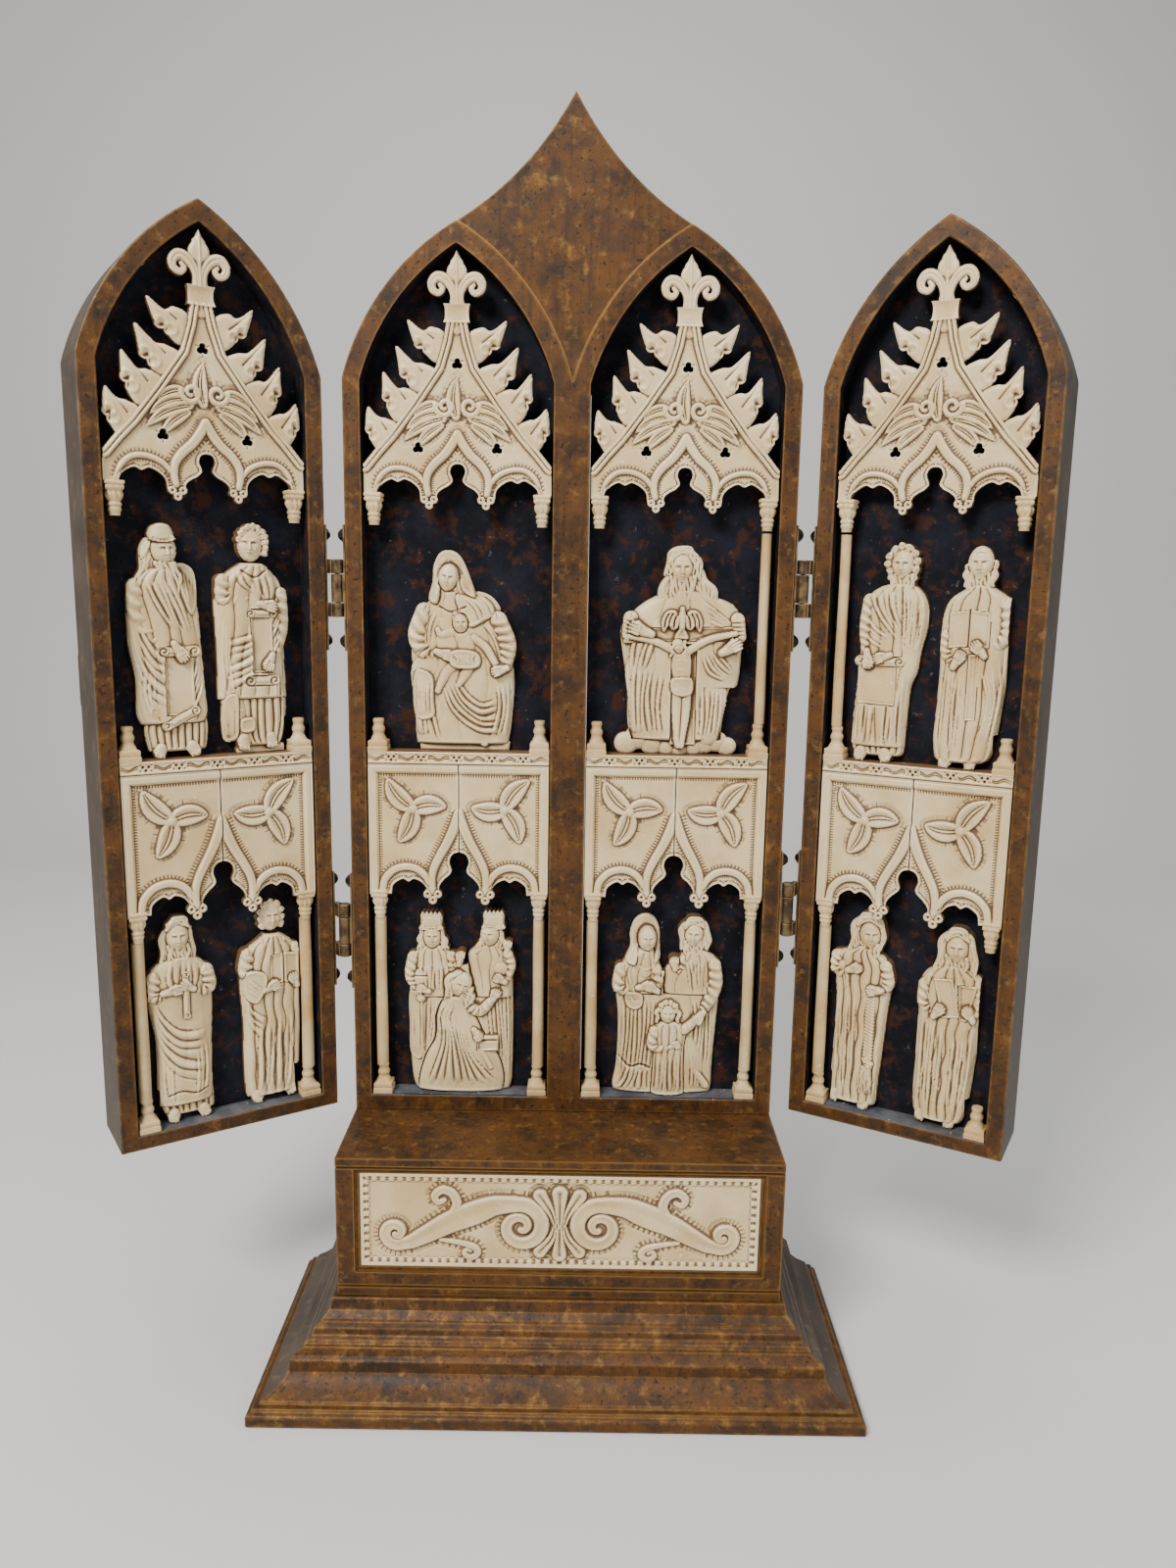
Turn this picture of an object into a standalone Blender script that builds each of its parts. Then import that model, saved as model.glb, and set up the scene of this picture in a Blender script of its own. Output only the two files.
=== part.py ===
# Folding altarpiece: a pedestal and plinth carry a case of two pointed bays, and two hinged
# wings of one bay each. Carved tracery and relief figures stand in the bays.
# Units are metres, +Z is up, the front faces -Y. The origin is the underside centre of the plinth.

import math

import bmesh
import bpy
import numpy as np
from mathutils import Matrix, Vector

# Case and wings
CASE_HALF_WIDTH = 0.140
CASE_DEPTH = 0.0465
BAR = 0.01075
MULLION_HALF = 0.01125
CASE_RAIL = 0.010
RECESS_DEPTH = 0.017
ARCH_SPRING = 0.4732
ARCH_RISE = 0.0903
ARCH_RADIUS = 0.150
OGEE_RISE = 0.0721
OGEE_RADIUS = 0.190
ARCH_STEPS = 6
GROOVE = 0.0009
WING_LIFT = 0.0009
FIT = 0.0003

# Base
PLINTH_HEIGHT = 0.0578
PEDESTAL_HEIGHT = 0.0927
PEDESTAL_STEP = 0.068
POCKET_SIDE = 0.0145
POCKET_LOW = 0.0185
POCKET_HIGH = 0.0105
POCKET_DEPTH = 0.007
PANEL_THICKNESS = 0.0035
PANEL_RELIEF = 0.0016

# The plinth's moulding: how far it stands out from the pedestal, and its height
PLINTH_PROFILE = (
    (0.0030, 0.0578), (0.0046, 0.0506), (0.0058, 0.0492), (0.0084, 0.0466), (0.0086, 0.0450),
    (0.0122, 0.0430), (0.0130, 0.0416), (0.0134, 0.0390), (0.0162, 0.0376), (0.0176, 0.0356),
    (0.0178, 0.0336), (0.0228, 0.0316), (0.0252, 0.0296), (0.0254, 0.0276), (0.0259, 0.0226),
    (0.0282, 0.0190), (0.0332, 0.0154), (0.0396, 0.0125), (0.0400, 0.0110), (0.0438, 0.0104),
    (0.0440, 0.0088), (0.0462, 0.0080), (0.0470, 0.0069), (0.0470, 0.0012), (0.0462, 0.0),
)

# Hinges: the axis lies in the gap beside the case, behind its front plane
AXIS_OUT = 0.0060
AXIS_BACK = 0.00415
WING_FROM_AXIS = 0.0056
WING_BEHIND_AXIS = 0.00515
LEFT_ANGLE = 33.2
RIGHT_ANGLE = 29.4
KNUCKLE_RADIUS = 0.0039
PIN_RADIUS = 0.0016
PIN_CLEARANCE = 0.0004
KNUCKLE_MIDDLE = 0.0175
KNUCKLE_END = 0.0087
LEAF_THICKNESS = 0.0010
LEAF_HEIGHT = 0.078
LEAF_DEPTH = 0.014
NAIL_RADIUS = 0.0050
NAIL_HEIGHT = 0.0042
NAIL_SPACING = 0.066
LEFT_HINGE_HEIGHTS = (0.1242, 0.3472)
RIGHT_HINGE_HEIGHTS = (0.1432, 0.3512)
CLASP_HEIGHT = 0.0304
CLASP_WIDTH = 0.0100
CLASP_Z = 0.2800
CLASP_KNOB_SPACING = 0.0194

# Carved fittings of a bay, with heights from the floor of the bay
FITTING_GAP = 0.0006
LEDGE_TOP = 0.2343
LEDGE_THICKNESS = 0.0077
CARVING_DEPTH = 0.0022
CARVING_THICKNESS = 0.0043
MOULDING_RAISE = 0.0012
GABLE_FOOT = 0.4116
ARCADE_FOOT = 0.1429
CAPITAL_HEIGHT = 0.0199
CAPITAL_WIDTH = 0.0140
CAPITAL_DEPTH = 0.0105
BASE_HEIGHT = 0.0200
BASE_WIDTH = 0.0144
BASE_DEPTH = 0.0130
NECK_RADIUS = 0.0056
COLUMN_FROM_SIDE = 0.0058
UPPER_BASE_HEIGHT = 0.0212
SHAFT_RADIUS = 0.0039
UPPER_SHAFT_RADIUS = 0.0033
COLUMN_DEPTH = 0.0076
SHAFT_SIDES = 8

# Relief figures
CELL_WIDTH = 0.0068
CELL_HEIGHT = 0.0094
GROUP_CELL = 0.0079
RELIEF_EDGE = 0.38
FIGURE_CLEARANCE = 0.0006
PLEAT = 0.0013

BAY_WIDTH = CASE_HALF_WIDTH - BAR - MULLION_HALF
BAY_HALF = BAY_WIDTH / 2.0
BAY_CENTRE = MULLION_HALF + BAY_HALF
WING_WIDTH = BAY_WIDTH + 2.0 * BAR
PLINTH_STEP = max(out for out, up in PLINTH_PROFILE)
PLINTH_DEPTH = PLINTH_STEP + PEDESTAL_STEP + CASE_DEPTH
BACK_Y = PLINTH_DEPTH / 2.0
FRONT_Y = BACK_Y - CASE_DEPTH
PEDESTAL_FRONT_Y = FRONT_Y - PEDESTAL_STEP
PEDESTAL_TOP = PLINTH_HEIGHT + FIT + PEDESTAL_HEIGHT
CASE_BOTTOM = PEDESTAL_TOP + FIT
FLOOR = CASE_BOTTOM + CASE_RAIL
LEDGE_Z = FLOOR + LEDGE_TOP
GABLE_Z = FLOOR + GABLE_FOOT
ARCADE_Z = FLOOR + ARCADE_FOOT
FITTING_HALF = BAY_HALF - FITTING_GAP
AXIS_X = CASE_HALF_WIDTH + AXIS_OUT
AXIS_Y = FRONT_Y + AXIS_BACK
COLUMN_X = FITTING_HALF - COLUMN_FROM_SIDE

WOOD = ("gilt_wood", (0.155, 0.070, 0.022), 0.5, 0.15)
BOARD = ("dark_board", (0.012, 0.013, 0.018), 0.6, 0.0)
BONE = ("carved_cream", (0.71, 0.60, 0.43), 0.45, 0.0)
BRASS = ("old_brass", (0.20, 0.12, 0.06), 0.45, 0.8)


def clear_scene():
    for item in list(bpy.data.objects):
        bpy.data.objects.remove(item)


def material(look):
    name, colour, roughness, metallic = look
    made = bpy.data.materials.get(name)
    if made is None:
        made = bpy.data.materials.new(name)
        made.use_nodes = True
        shader = made.node_tree.nodes["Principled BSDF"]
        shader.inputs["Base Color"].default_value = (*colour, 1.0)
        shader.inputs["Roughness"].default_value = roughness
        shader.inputs["Metallic"].default_value = metallic
    return made


def collection(name):
    made = bpy.data.collections.new(name)
    bpy.context.scene.collection.children.link(made)
    return made


def add(name, mesh, look, parent=None):
    """Put a mesh in the model as one named sub-part."""
    item = bpy.data.objects.new(name, mesh)
    PARTS.objects.link(item)
    if not mesh.materials:
        mesh.materials.append(material(look))
    if parent is not None:
        item.parent = parent
    return item


def empty(name, location, turn=0.0, parent=None):
    item = bpy.data.objects.new(name, None)
    PARTS.objects.link(item)
    item.location = location
    item.rotation_euler = (0.0, 0.0, turn)
    item.parent = parent
    return item


def finished(bm, name):
    bmesh.ops.recalc_face_normals(bm, faces=bm.faces)
    mesh = bpy.data.meshes.new(name)
    bm.to_mesh(mesh)
    bm.free()
    return mesh


def box(name, low, high):
    """A block between two corners."""
    bm = bmesh.new()
    size = [b - a for a, b in zip(low, high)]
    middle = Vector([(a + b) / 2.0 for a, b in zip(low, high)])
    bmesh.ops.create_cube(bm, size=1.0, matrix=Matrix.Translation(middle) @ Matrix.Diagonal((*size, 1.0)))
    return finished(bm, name)


def plate(name, loops, front, thickness):
    """A flat outline in X and Z, with holes, between the depths front and front + thickness."""
    curve = bpy.data.curves.new(name, "CURVE")
    curve.dimensions = "2D"
    curve.fill_mode = "BOTH"
    curve.extrude = thickness / 2.0
    for loop in loops:
        spline = curve.splines.new("POLY")
        spline.points.add(len(loop) - 1)
        for point, (x, z) in zip(spline.points, loop):
            point.co = (x, z, 0.0, 1.0)
        spline.use_cyclic_u = True
    stand_up = Matrix.Translation((0.0, front + thickness / 2.0, 0.0)) @ Matrix.Rotation(math.pi / 2.0, 4, "X")
    return mesh_of_curve(name, curve, stand_up)


def mesh_of_curve(name, curve, matrix):
    item = bpy.data.objects.new(name, curve)
    bpy.context.scene.collection.objects.link(item)
    bpy.context.view_layer.update()
    seen = item.evaluated_get(bpy.context.evaluated_depsgraph_get())
    mesh = bpy.data.meshes.new_from_object(seen)
    bpy.data.objects.remove(item)
    bpy.data.curves.remove(curve)
    bm = bmesh.new()
    bm.from_mesh(mesh)
    bpy.data.meshes.remove(mesh)
    bmesh.ops.remove_doubles(bm, verts=bm.verts, dist=0.00001)
    bmesh.ops.transform(bm, matrix=matrix, verts=bm.verts)
    bmesh.ops.dissolve_degenerate(bm, dist=0.00001, edges=bm.edges)
    join_flat_faces(bm)
    return finished(bm, name)


def turned(name, profile, sides):
    """A body turned about Z from a profile of (radius, height) that starts and ends on the axis."""
    mesh = bpy.data.meshes.new(name)
    corners = [(radius, 0.0, height) for radius, height in profile]
    mesh.from_pydata(corners, [(i, i + 1) for i in range(len(corners) - 1)], [])
    item = bpy.data.objects.new(name, mesh)
    bpy.context.scene.collection.objects.link(item)
    screw = item.modifiers.new("turn", "SCREW")
    screw.steps = sides
    screw.render_steps = sides
    screw.use_merge_vertices = True
    screw.merge_threshold = 0.00001
    return applied(item)


def applied(item):
    """Return the mesh of an object with its modifiers done, and remove the object."""
    bpy.context.view_layer.update()
    seen = item.evaluated_get(bpy.context.evaluated_depsgraph_get())
    mesh = bpy.data.meshes.new_from_object(seen)
    bpy.data.objects.remove(item)
    bm = bmesh.new()
    bm.from_mesh(mesh)
    bmesh.ops.remove_doubles(bm, verts=bm.verts, dist=0.000002)
    join_flat_faces(bm)
    return finished(bm, mesh.name)


def join_flat_faces(bm):
    """Join faces that lie in one plane, so that flat fronts aren't cut into slivers."""
    bmesh.ops.dissolve_limit(bm, angle_limit=0.002, verts=bm.verts, edges=bm.edges)


def moved(mesh, offset, turn=None):
    matrix = Matrix.Translation(offset)
    if turn is not None:
        matrix = matrix @ turn
    copy = mesh.copy()
    copy.transform(matrix)
    return copy


def combined(mesh, others, operation="UNION"):
    """Join other bodies to a mesh, or cut them out of it."""
    for other in others:
        body = bpy.data.objects.new(mesh.name, mesh)
        tool = bpy.data.objects.new("cutter", other)
        bpy.context.scene.collection.objects.link(body)
        CUTTERS.objects.link(tool)
        tool.hide_render = True
        tool.display_type = "WIRE"
        step = body.modifiers.new("combine", "BOOLEAN")
        step.operation = operation
        step.solver = "EXACT"
        step.object = tool
        mesh = applied(body)
        bpy.data.objects.remove(tool)
    return mesh


def mirrored(half):
    """A closed outline from its right half, which runs from the top of the axis to its foot."""
    left = [(-x, z) for x, z in reversed(half) if x > 1e-6]
    return half + left


def arc(start, end, radius, steps, side=1.0):
    """Points on a circle of the given radius from start to end, without the start."""
    a = Vector(start)
    b = Vector(end)
    along = b - a
    length = along.length
    radius = max(radius, length / 2.0)
    across = Vector((-along.y, along.x)) / length
    centre = (a + b) / 2.0 + across * side * math.sqrt(radius * radius - length * length / 4.0)
    first = math.atan2(a.y - centre.y, a.x - centre.x)
    last = math.atan2(b.y - centre.y, b.x - centre.x)
    sweep = (last - first + math.pi) % (2.0 * math.pi) - math.pi
    turns = [first + sweep * (i + 1) / steps for i in range(steps)]
    return [(centre.x + radius * math.cos(t), centre.y + radius * math.sin(t)) for t in turns]


def band(line, width):
    """The closed outline of a strip of the given width along a line."""
    path = [Vector(p) for p in line]
    left = []
    right = []
    for i, spot in enumerate(path):
        before = path[max(i - 1, 0)]
        after = path[min(i + 1, len(path) - 1)]
        along = (after - before).normalized()
        across = Vector((-along.y, along.x)) * width / 2.0
        left.append(tuple(spot + across))
        right.append(tuple(spot - across))
    return left + right[::-1]


# Case, wings and boards

def arch_centre(outer_half, spring):
    """Centre of the circle that the right-hand side of an outer arch lies on."""
    a = Vector((outer_half, spring))
    b = Vector((0.0, spring + ARCH_RISE))
    along = b - a
    across = Vector((-along.y, along.x)).normalized()
    reach = math.sqrt(max(ARCH_RADIUS ** 2 - along.length_squared / 4.0, 0.0))
    return (a + b) / 2.0 + across * reach


def pointed_opening(middle, inset, floor):
    """Outline of a pointed bay, inset from the opening of a frame."""
    outer_half = BAY_HALF + BAR
    centre = arch_centre(outer_half, CASE_BOTTOM + ARCH_SPRING)
    radius = ARCH_RADIUS - BAR - inset
    half = BAY_HALF - inset
    spring = centre.y + math.sqrt(radius ** 2 - (half - centre.x) ** 2)
    apex = centre.y + math.sqrt(radius ** 2 - centre.x ** 2)
    right = [(half, floor + inset), (half, spring)] + arc((half, spring), (0.0, apex), radius, ARCH_STEPS)
    left = [(-x, z) for x, z in reversed(right[:-1])]
    return [(middle + x, z) for x, z in right + left]


def centre_frame():
    spring = CASE_BOTTOM + ARCH_SPRING
    apex = spring + ARCH_RISE
    top = apex + OGEE_RISE
    foot = (CASE_HALF_WIDTH, CASE_BOTTOM)
    shoulder = (CASE_HALF_WIDTH, spring)
    right = [foot, shoulder]
    right += arc(shoulder, (BAY_CENTRE, apex), ARCH_RADIUS, ARCH_STEPS)
    right += arc((BAY_CENTRE, apex), (0.0, top), OGEE_RADIUS, ARCH_STEPS, -1.0)
    outline = right + [(-x, z) for x, z in reversed(right[:-1])]
    bays = [pointed_opening(side * BAY_CENTRE, 0.0, FLOOR) for side in (-1.0, 1.0)]
    mesh = plate("centre_frame", [outline] + bays, FRONT_Y, CASE_DEPTH)
    return combined(mesh, [spandrel_groove(side) for side in (-1.0, 1.0)], "DIFFERENCE")


def spandrel_groove(side):
    """A thin cut that follows the inner side of an arch across the face of the case."""
    spring = CASE_BOTTOM + ARCH_SPRING
    outer = arc((CASE_HALF_WIDTH, spring), (BAY_CENTRE, spring + ARCH_RISE), ARCH_RADIUS, 5)
    line = [(side * (2.0 * BAY_CENTRE - x), z) for x, z in outer if 2.0 * BAY_CENTRE - x > GROOVE]
    shape = band(line, 2.0 * GROOVE)
    return plate("groove", [shape], FRONT_Y - GROOVE, 2.0 * GROOVE)


def wing_frame():
    """A wing's frame in its bay's own coordinates."""
    half = WING_WIDTH / 2.0
    spring = CASE_BOTTOM + ARCH_SPRING
    right = [(half, CASE_BOTTOM + WING_LIFT), (half, spring)]
    right += arc((half, spring), (0.0, spring + ARCH_RISE), ARCH_RADIUS, ARCH_STEPS)
    outline = right + [(-x, z) for x, z in reversed(right[:-1])]
    return plate("wing_frame", [outline, pointed_opening(0.0, 0.0, FLOOR)], 0.0, CASE_DEPTH)


def back_board():
    """The board that closes a bay behind its figures."""
    return plate("back_board", [pointed_opening(0.0, FIT, FLOOR)], RECESS_DEPTH, CASE_DEPTH - RECESS_DEPTH)


# Plinth, pedestal and predella

def plinth():
    """The moulding runs round the front and both sides and stops flush at the back."""
    bm = bmesh.new()
    rings = []
    for out, up in PLINTH_PROFILE:
        side = CASE_HALF_WIDTH + out
        front = PEDESTAL_FRONT_Y - out
        corners = ((-side, BACK_Y), (-side, front), (side, front), (side, BACK_Y))
        rings.append([bm.verts.new((x, y, up)) for x, y in corners])
    for upper, lower in zip(rings, rings[1:]):
        for i in range(4):
            bm.faces.new((upper[i], lower[i], lower[(i + 1) % 4], upper[(i + 1) % 4]))
    bm.faces.new(rings[0])
    bm.faces.new(rings[-1][::-1])
    return finished(bm, "plinth")


def pedestal():
    low = PLINTH_HEIGHT + FIT
    body = box("pedestal", (-CASE_HALF_WIDTH, PEDESTAL_FRONT_Y, low), (CASE_HALF_WIDTH, BACK_Y, PEDESTAL_TOP))
    pocket = plate("pocket", [pocket_outline(0.0)], PEDESTAL_FRONT_Y - POCKET_DEPTH, 2.0 * POCKET_DEPTH)
    splay = plate("splay", [pocket_outline(-0.0030)], PEDESTAL_FRONT_Y - POCKET_DEPTH, 1.3 * POCKET_DEPTH)
    bead = pedestal_bead(low)
    return combined(combined(body, [splay, pocket], "DIFFERENCE"), bead, "DIFFERENCE")


def pedestal_bead(low):
    """Two shallow steps that mark the pedestal's top slab and its foot."""
    step = 0.0016
    cuts = []
    for height in (PEDESTAL_TOP - 0.0062, low + 0.0060):
        cuts.append(box("step", (-1.0, PEDESTAL_FRONT_Y - step, height - 0.0008),
                        (1.0, PEDESTAL_FRONT_Y + step, height + 0.0008)))
    return cuts


def pocket_outline(inset):
    side = CASE_HALF_WIDTH - POCKET_SIDE - inset
    low = PLINTH_HEIGHT + FIT + POCKET_LOW + inset
    high = PEDESTAL_TOP - POCKET_HIGH - inset
    return [(-side, low), (side, low), (side, high), (-side, high)]


def volute(centre, start, end, first, last, steps):
    """A spiral line from radius start to end, between two angles in degrees."""
    line = []
    for i in range(steps + 1):
        t = i / steps
        radius = start + (end - start) * t
        turn = math.radians(first + (last - first) * t)
        line.append((centre[0] + radius * math.cos(turn), centre[1] + radius * math.sin(turn)))
    return line


def predella_panel():
    """A panel with a palmette between two pairs of scrolling leaves."""
    outline = pocket_outline(FIT)
    side = outline[1][0]
    low = outline[0][1]
    high = outline[2][1]
    middle = (low + high) / 2.0
    tall = high - low
    front = PEDESTAL_FRONT_Y + POCKET_DEPTH - FIT - PANEL_THICKNESS
    mesh = plate("predella_panel", [outline], front, PANEL_THICKNESS)
    lines = []
    for s in (-1.0, 1.0):
        scroll = volute((0.215 * side, middle), 0.10 * tall, 0.25 * tall, 390.0, 70.0, 6)
        scroll += [(0.38 * side, middle + 0.20 * tall), (0.52 * side, middle + 0.02 * tall),
                   (0.66 * side, middle - 0.26 * tall), (0.80 * side, middle - 0.36 * tall)]
        scroll += volute((0.82 * side, middle - 0.10 * tall), 0.26 * tall, 0.10 * tall, -50.0, 230.0, 5)
        upper = volute((0.58 * side, middle + 0.28 * tall), 0.11 * tall, 0.06 * tall, -100.0, 200.0, 4)
        for line, width in ((scroll, 0.0042), (upper, 0.0034)):
            lines.append(band([(s * x, z) for x, z in line], width))
    mesh = combined(mesh, [plate("scroll", [line], front - PANEL_RELIEF, 2.0 * PANEL_RELIEF) for line in lines])
    fan = [(0.0, low + 0.07 * tall)]
    for i in range(9):
        turn = math.radians(20.0 + 140.0 * i / 8.0)
        reach = 0.44 * tall * (1.0 if i % 2 == 0 else 0.84) * (0.62 + 0.38 * math.sin(turn))
        fan.append((0.85 * reach * math.cos(turn), middle + reach * math.sin(turn)))
    leaf = plate("palmette", [fan], front - PANEL_RELIEF, 2.0 * PANEL_RELIEF)
    return combined(mesh, [leaf])


# Carved fittings of a bay

def capital_side(z, foot):
    """Inner profile of a capital from its top down: dentil band, leaf and rings."""
    inner = FITTING_HALF - CAPITAL_WIDTH
    tall = CAPITAL_HEIGHT
    return [(inner, z - foot), (inner, z - foot - 0.26 * tall), (inner + 0.0036, z - foot - 0.40 * tall),
            (inner + 0.0030, z - foot - tall)]


def crocket(root_top, root_low, tip):
    """A leaf on the raking edge: a hooked tip with a lobe under it."""
    top = np.array(root_top)
    end = np.array(tip)
    out = end - top
    across = np.array(root_low) - top
    shape = [top, end, top + 0.64 * out + 0.72 * across, top + 0.20 * out + 0.84 * across]
    return [(float(x), float(z)) for x, z in shape]


CROCKETS = (
    (0.0780, 0.0620, 0.0300, 0.0857), (0.0520, 0.0380, 0.0372, 0.0705),
    (0.0330, 0.0206, 0.0452, 0.0545), (0.0166, 0.0056, 0.0543, 0.0344),
)
GABLE_HALF = 0.0584
GABLE_SPREAD = FITTING_HALF / GABLE_HALF
RAKE = ((0.0060, 0.0862), (0.0084, 0.0740), (0.0128, 0.0586), (0.0274, 0.0376), (0.0419, 0.0186), (0.0579, 0.0011))
COLLAR_HALF = 0.0078
COLLAR_LOW = 0.0867
COLLAR_TOP = 0.0968
SCROLL_CENTRE = (0.0112, 0.1066)
SCROLL_RADIUS = 0.0058
FLEUR_TIP = 0.1258
PENDANT_X = 0.0170


def rake_at(z):
    heights = [p[1] for p in reversed(RAKE)]
    outs = [p[0] for p in reversed(RAKE)]
    return float(np.interp(z, heights, outs))


def gable_outline():
    half = [(0.0, FLEUR_TIP), (0.0044, FLEUR_TIP - 0.0115), (0.0034, FLEUR_TIP - 0.0185)]
    half += volute(SCROLL_CENTRE, SCROLL_RADIUS, SCROLL_RADIUS, 130.0, -110.0, 3)
    half += [(0.0042, COLLAR_TOP), (COLLAR_HALF, COLLAR_TOP), (COLLAR_HALF, COLLAR_LOW)]
    half.append(RAKE[0])
    for top, low, tip_x, tip_z in CROCKETS:
        half += crocket((rake_at(top), top), (rake_at(low), low), (tip_x, tip_z))
    half = [(x * GABLE_SPREAD, z) for x, z in half]
    half += [(FITTING_HALF, 0.0011)]
    half += [(FITTING_HALF, -0.0164 - CAPITAL_HEIGHT)]
    half += capital_side(0.0, 0.0164)[::-1]
    half += arc((FITTING_HALF - CAPITAL_WIDTH, -0.0164), (PENDANT_X + 0.0034, -0.0170), 0.0180, 3)
    half += pendant(-0.0170)
    half += [(0.0100, -0.0122), (0.0042, -0.0086), (0.0050, -0.0030), (0.0, 0.0029)]
    return [(x, GABLE_Z + z) for x, z in mirrored(half)]


def pendant(z):
    """A small drop of three rings, from its outer side round to its inner side."""
    shape = ((0.0044, -0.0050), (0.0, -0.0100), (-0.0044, -0.0050), (-0.0036, 0.0))
    return [(PENDANT_X + x, z + up) for x, up in shape]


def trefoil(x, z):
    radius = 0.0019
    return [(x + radius * math.cos(math.radians(90.0 + 60.0 * i)) * (1.35 if i % 2 == 0 else 0.6),
             z + radius * math.sin(math.radians(90.0 + 60.0 * i)) * (1.35 if i % 2 == 0 else 0.6)) for i in range(6)]


def gable():
    holes = [trefoil(0.0, GABLE_Z + 0.0618)]
    mesh = plate("gable", [gable_outline()] + holes, CARVING_DEPTH, CARVING_THICKNESS)
    rake = [((x - 0.0034) * GABLE_SPREAD, GABLE_Z + z - 0.0020) for x, z in RAKE[1::2]]
    raised = CARVING_DEPTH - MOULDING_RAISE
    thick = 2.0 * MOULDING_RAISE
    strips = [band(rake, 0.0042), band([(-x, z) for x, z in rake[::-1]], 0.0042)]
    for s in (-1.0, 1.0):
        side = [(0.0480, -0.0110), (0.0380, -0.0020), (0.0260, -0.0030), (0.0180, -0.0100)]
        strips.append(band([(s * x * GABLE_SPREAD, GABLE_Z + z) for x, z in side][::int(s)], 0.0036))
    mesh = combined(mesh, [plate("strip", [strip], raised, thick) for strip in strips])
    return combined(mesh, capital_blocks(GABLE_Z - 0.0164))


def capital_blocks(top, sides=(-1.0, 1.0)):
    """Square bodies behind the face of each capital, which reach back towards the board."""
    blocks = []
    for s in sides:
        inner = FITTING_HALF - CAPITAL_WIDTH + 0.0038
        x = sorted((s * inner, s * (FITTING_HALF - 0.0006)))
        low = top - CAPITAL_HEIGHT + 0.0004
        blocks.append(box("capital", (x[0], CARVING_DEPTH + 0.0006, low), (x[1], CAPITAL_DEPTH, top - 0.0010)))
    return blocks


def arcade_half(side):
    """One half of a lower arcade: a panel over a side arch and half of a keyhole arch."""
    top = LEDGE_Z - LEDGE_THICKNESS - FIT
    low = ARCADE_Z
    half = [(FIT / 2.0, top), (FITTING_HALF, top), (FITTING_HALF, low - CAPITAL_HEIGHT)]
    half += [(x, z + low) for x, z in capital_side(0.0, 0.0)[::-1]]
    half += arc((FITTING_HALF - CAPITAL_WIDTH, low), (PENDANT_X + 0.0034, low), 0.0170, 3)
    half += pendant(low)
    half += [(0.0078, low + 0.0094), (0.0050, low + 0.0130), (0.0061, low + 0.0190), (0.0040, low + 0.0246),
             (FIT / 2.0, low + 0.0261)]
    mesh = plate("arcade_half", [[(side * x, z) for x, z in half]], CARVING_DEPTH, CARVING_THICKNESS)
    raised = CARVING_DEPTH - MOULDING_RAISE
    thick = 2.0 * MOULDING_RAISE
    lines = [
        ([(0.0470, low + 0.0050), (0.0350, low + 0.0180), (0.0190, low + 0.0030)], 0.0036),
        ([(0.0160, low + 0.0030), (0.0110, low + 0.0250), (0.0030, low + 0.0450)], 0.0044),
        ([(0.0012, top - 0.0040), (FITTING_HALF - 0.0040, top - 0.0040),
          (FITTING_HALF - 0.0040, low + 0.0020)], 0.0062),
    ]
    strips = [plate("strip", [band([(side * x, z) for x, z in line], width)], raised, thick) for line, width in lines]
    strips.append(plate("leaf", [three_petals(side, top)], raised, thick))
    mesh = combined(mesh, strips)
    return combined(mesh, capital_blocks(low, (side,)))


def three_petals(side, top):
    """Three pointed petals round one spot of an arcade panel."""
    out = []
    for i in range(6):
        reach = 0.0140 if i % 2 == 0 else 0.0034
        turn = math.radians(10.0 + 60.0 * i)
        out.append((side * (0.0292 + reach * math.cos(turn)), top - 0.0270 + reach * math.sin(turn)))
    return out


def base_body(side, z, height, shaft_radius):
    """A column base: a square block under a turned neck."""
    block = 0.34 * height
    ends = sorted((side * (FITTING_HALF - BASE_WIDTH), side * FITTING_HALF))
    depth = COLUMN_DEPTH - BASE_DEPTH / 2.0
    body = box("base", (ends[0], depth, z), (ends[1], depth + BASE_DEPTH, z + block))
    neck = turned("neck", [(0.0, z + height), (shaft_radius + 0.0010, z + height),
                           (NECK_RADIUS, z + 0.5 * block), (0.0, z + 0.5 * block)], SHAFT_SIDES)
    return combined(body, [moved(neck, (side * COLUMN_X, COLUMN_DEPTH, 0.0))])


def ledge():
    """The shelf under the upper figures, with the bases of the upper columns."""
    mesh = box("ledge", (-FITTING_HALF, CARVING_DEPTH - 0.0014, LEDGE_Z - LEDGE_THICKNESS),
               (FITTING_HALF, RECESS_DEPTH - FIT, LEDGE_Z))
    bases = [base_body(s, LEDGE_Z - 0.0004, UPPER_BASE_HEIGHT, UPPER_SHAFT_RADIUS) for s in (-1.0, 1.0)]
    return combined(mesh, bases)


def lower_column(side, with_shaft):
    body = base_body(side, FLOOR + FIT, BASE_HEIGHT, SHAFT_RADIUS)
    if not with_shaft:
        return body
    top = ARCADE_Z - CAPITAL_HEIGHT - FIT
    low = FLOOR + FIT + BASE_HEIGHT - 0.0010
    shaft = turned("shaft", [(0.0, top), (SHAFT_RADIUS, top), (SHAFT_RADIUS, low), (0.0, low)], SHAFT_SIDES)
    return combined(body, [moved(shaft, (side * COLUMN_X, COLUMN_DEPTH, 0.0))])


def upper_shaft(side):
    top = GABLE_Z - 0.0164 - CAPITAL_HEIGHT - FIT
    low = LEDGE_Z - 0.0004 + UPPER_BASE_HEIGHT + FIT
    shaft = turned("shaft", [(0.0, top), (UPPER_SHAFT_RADIUS, top), (UPPER_SHAFT_RADIUS, low), (0.0, low)],
                   SHAFT_SIDES)
    return moved(shaft, (side * COLUMN_X, COLUMN_DEPTH, 0.0))


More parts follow.
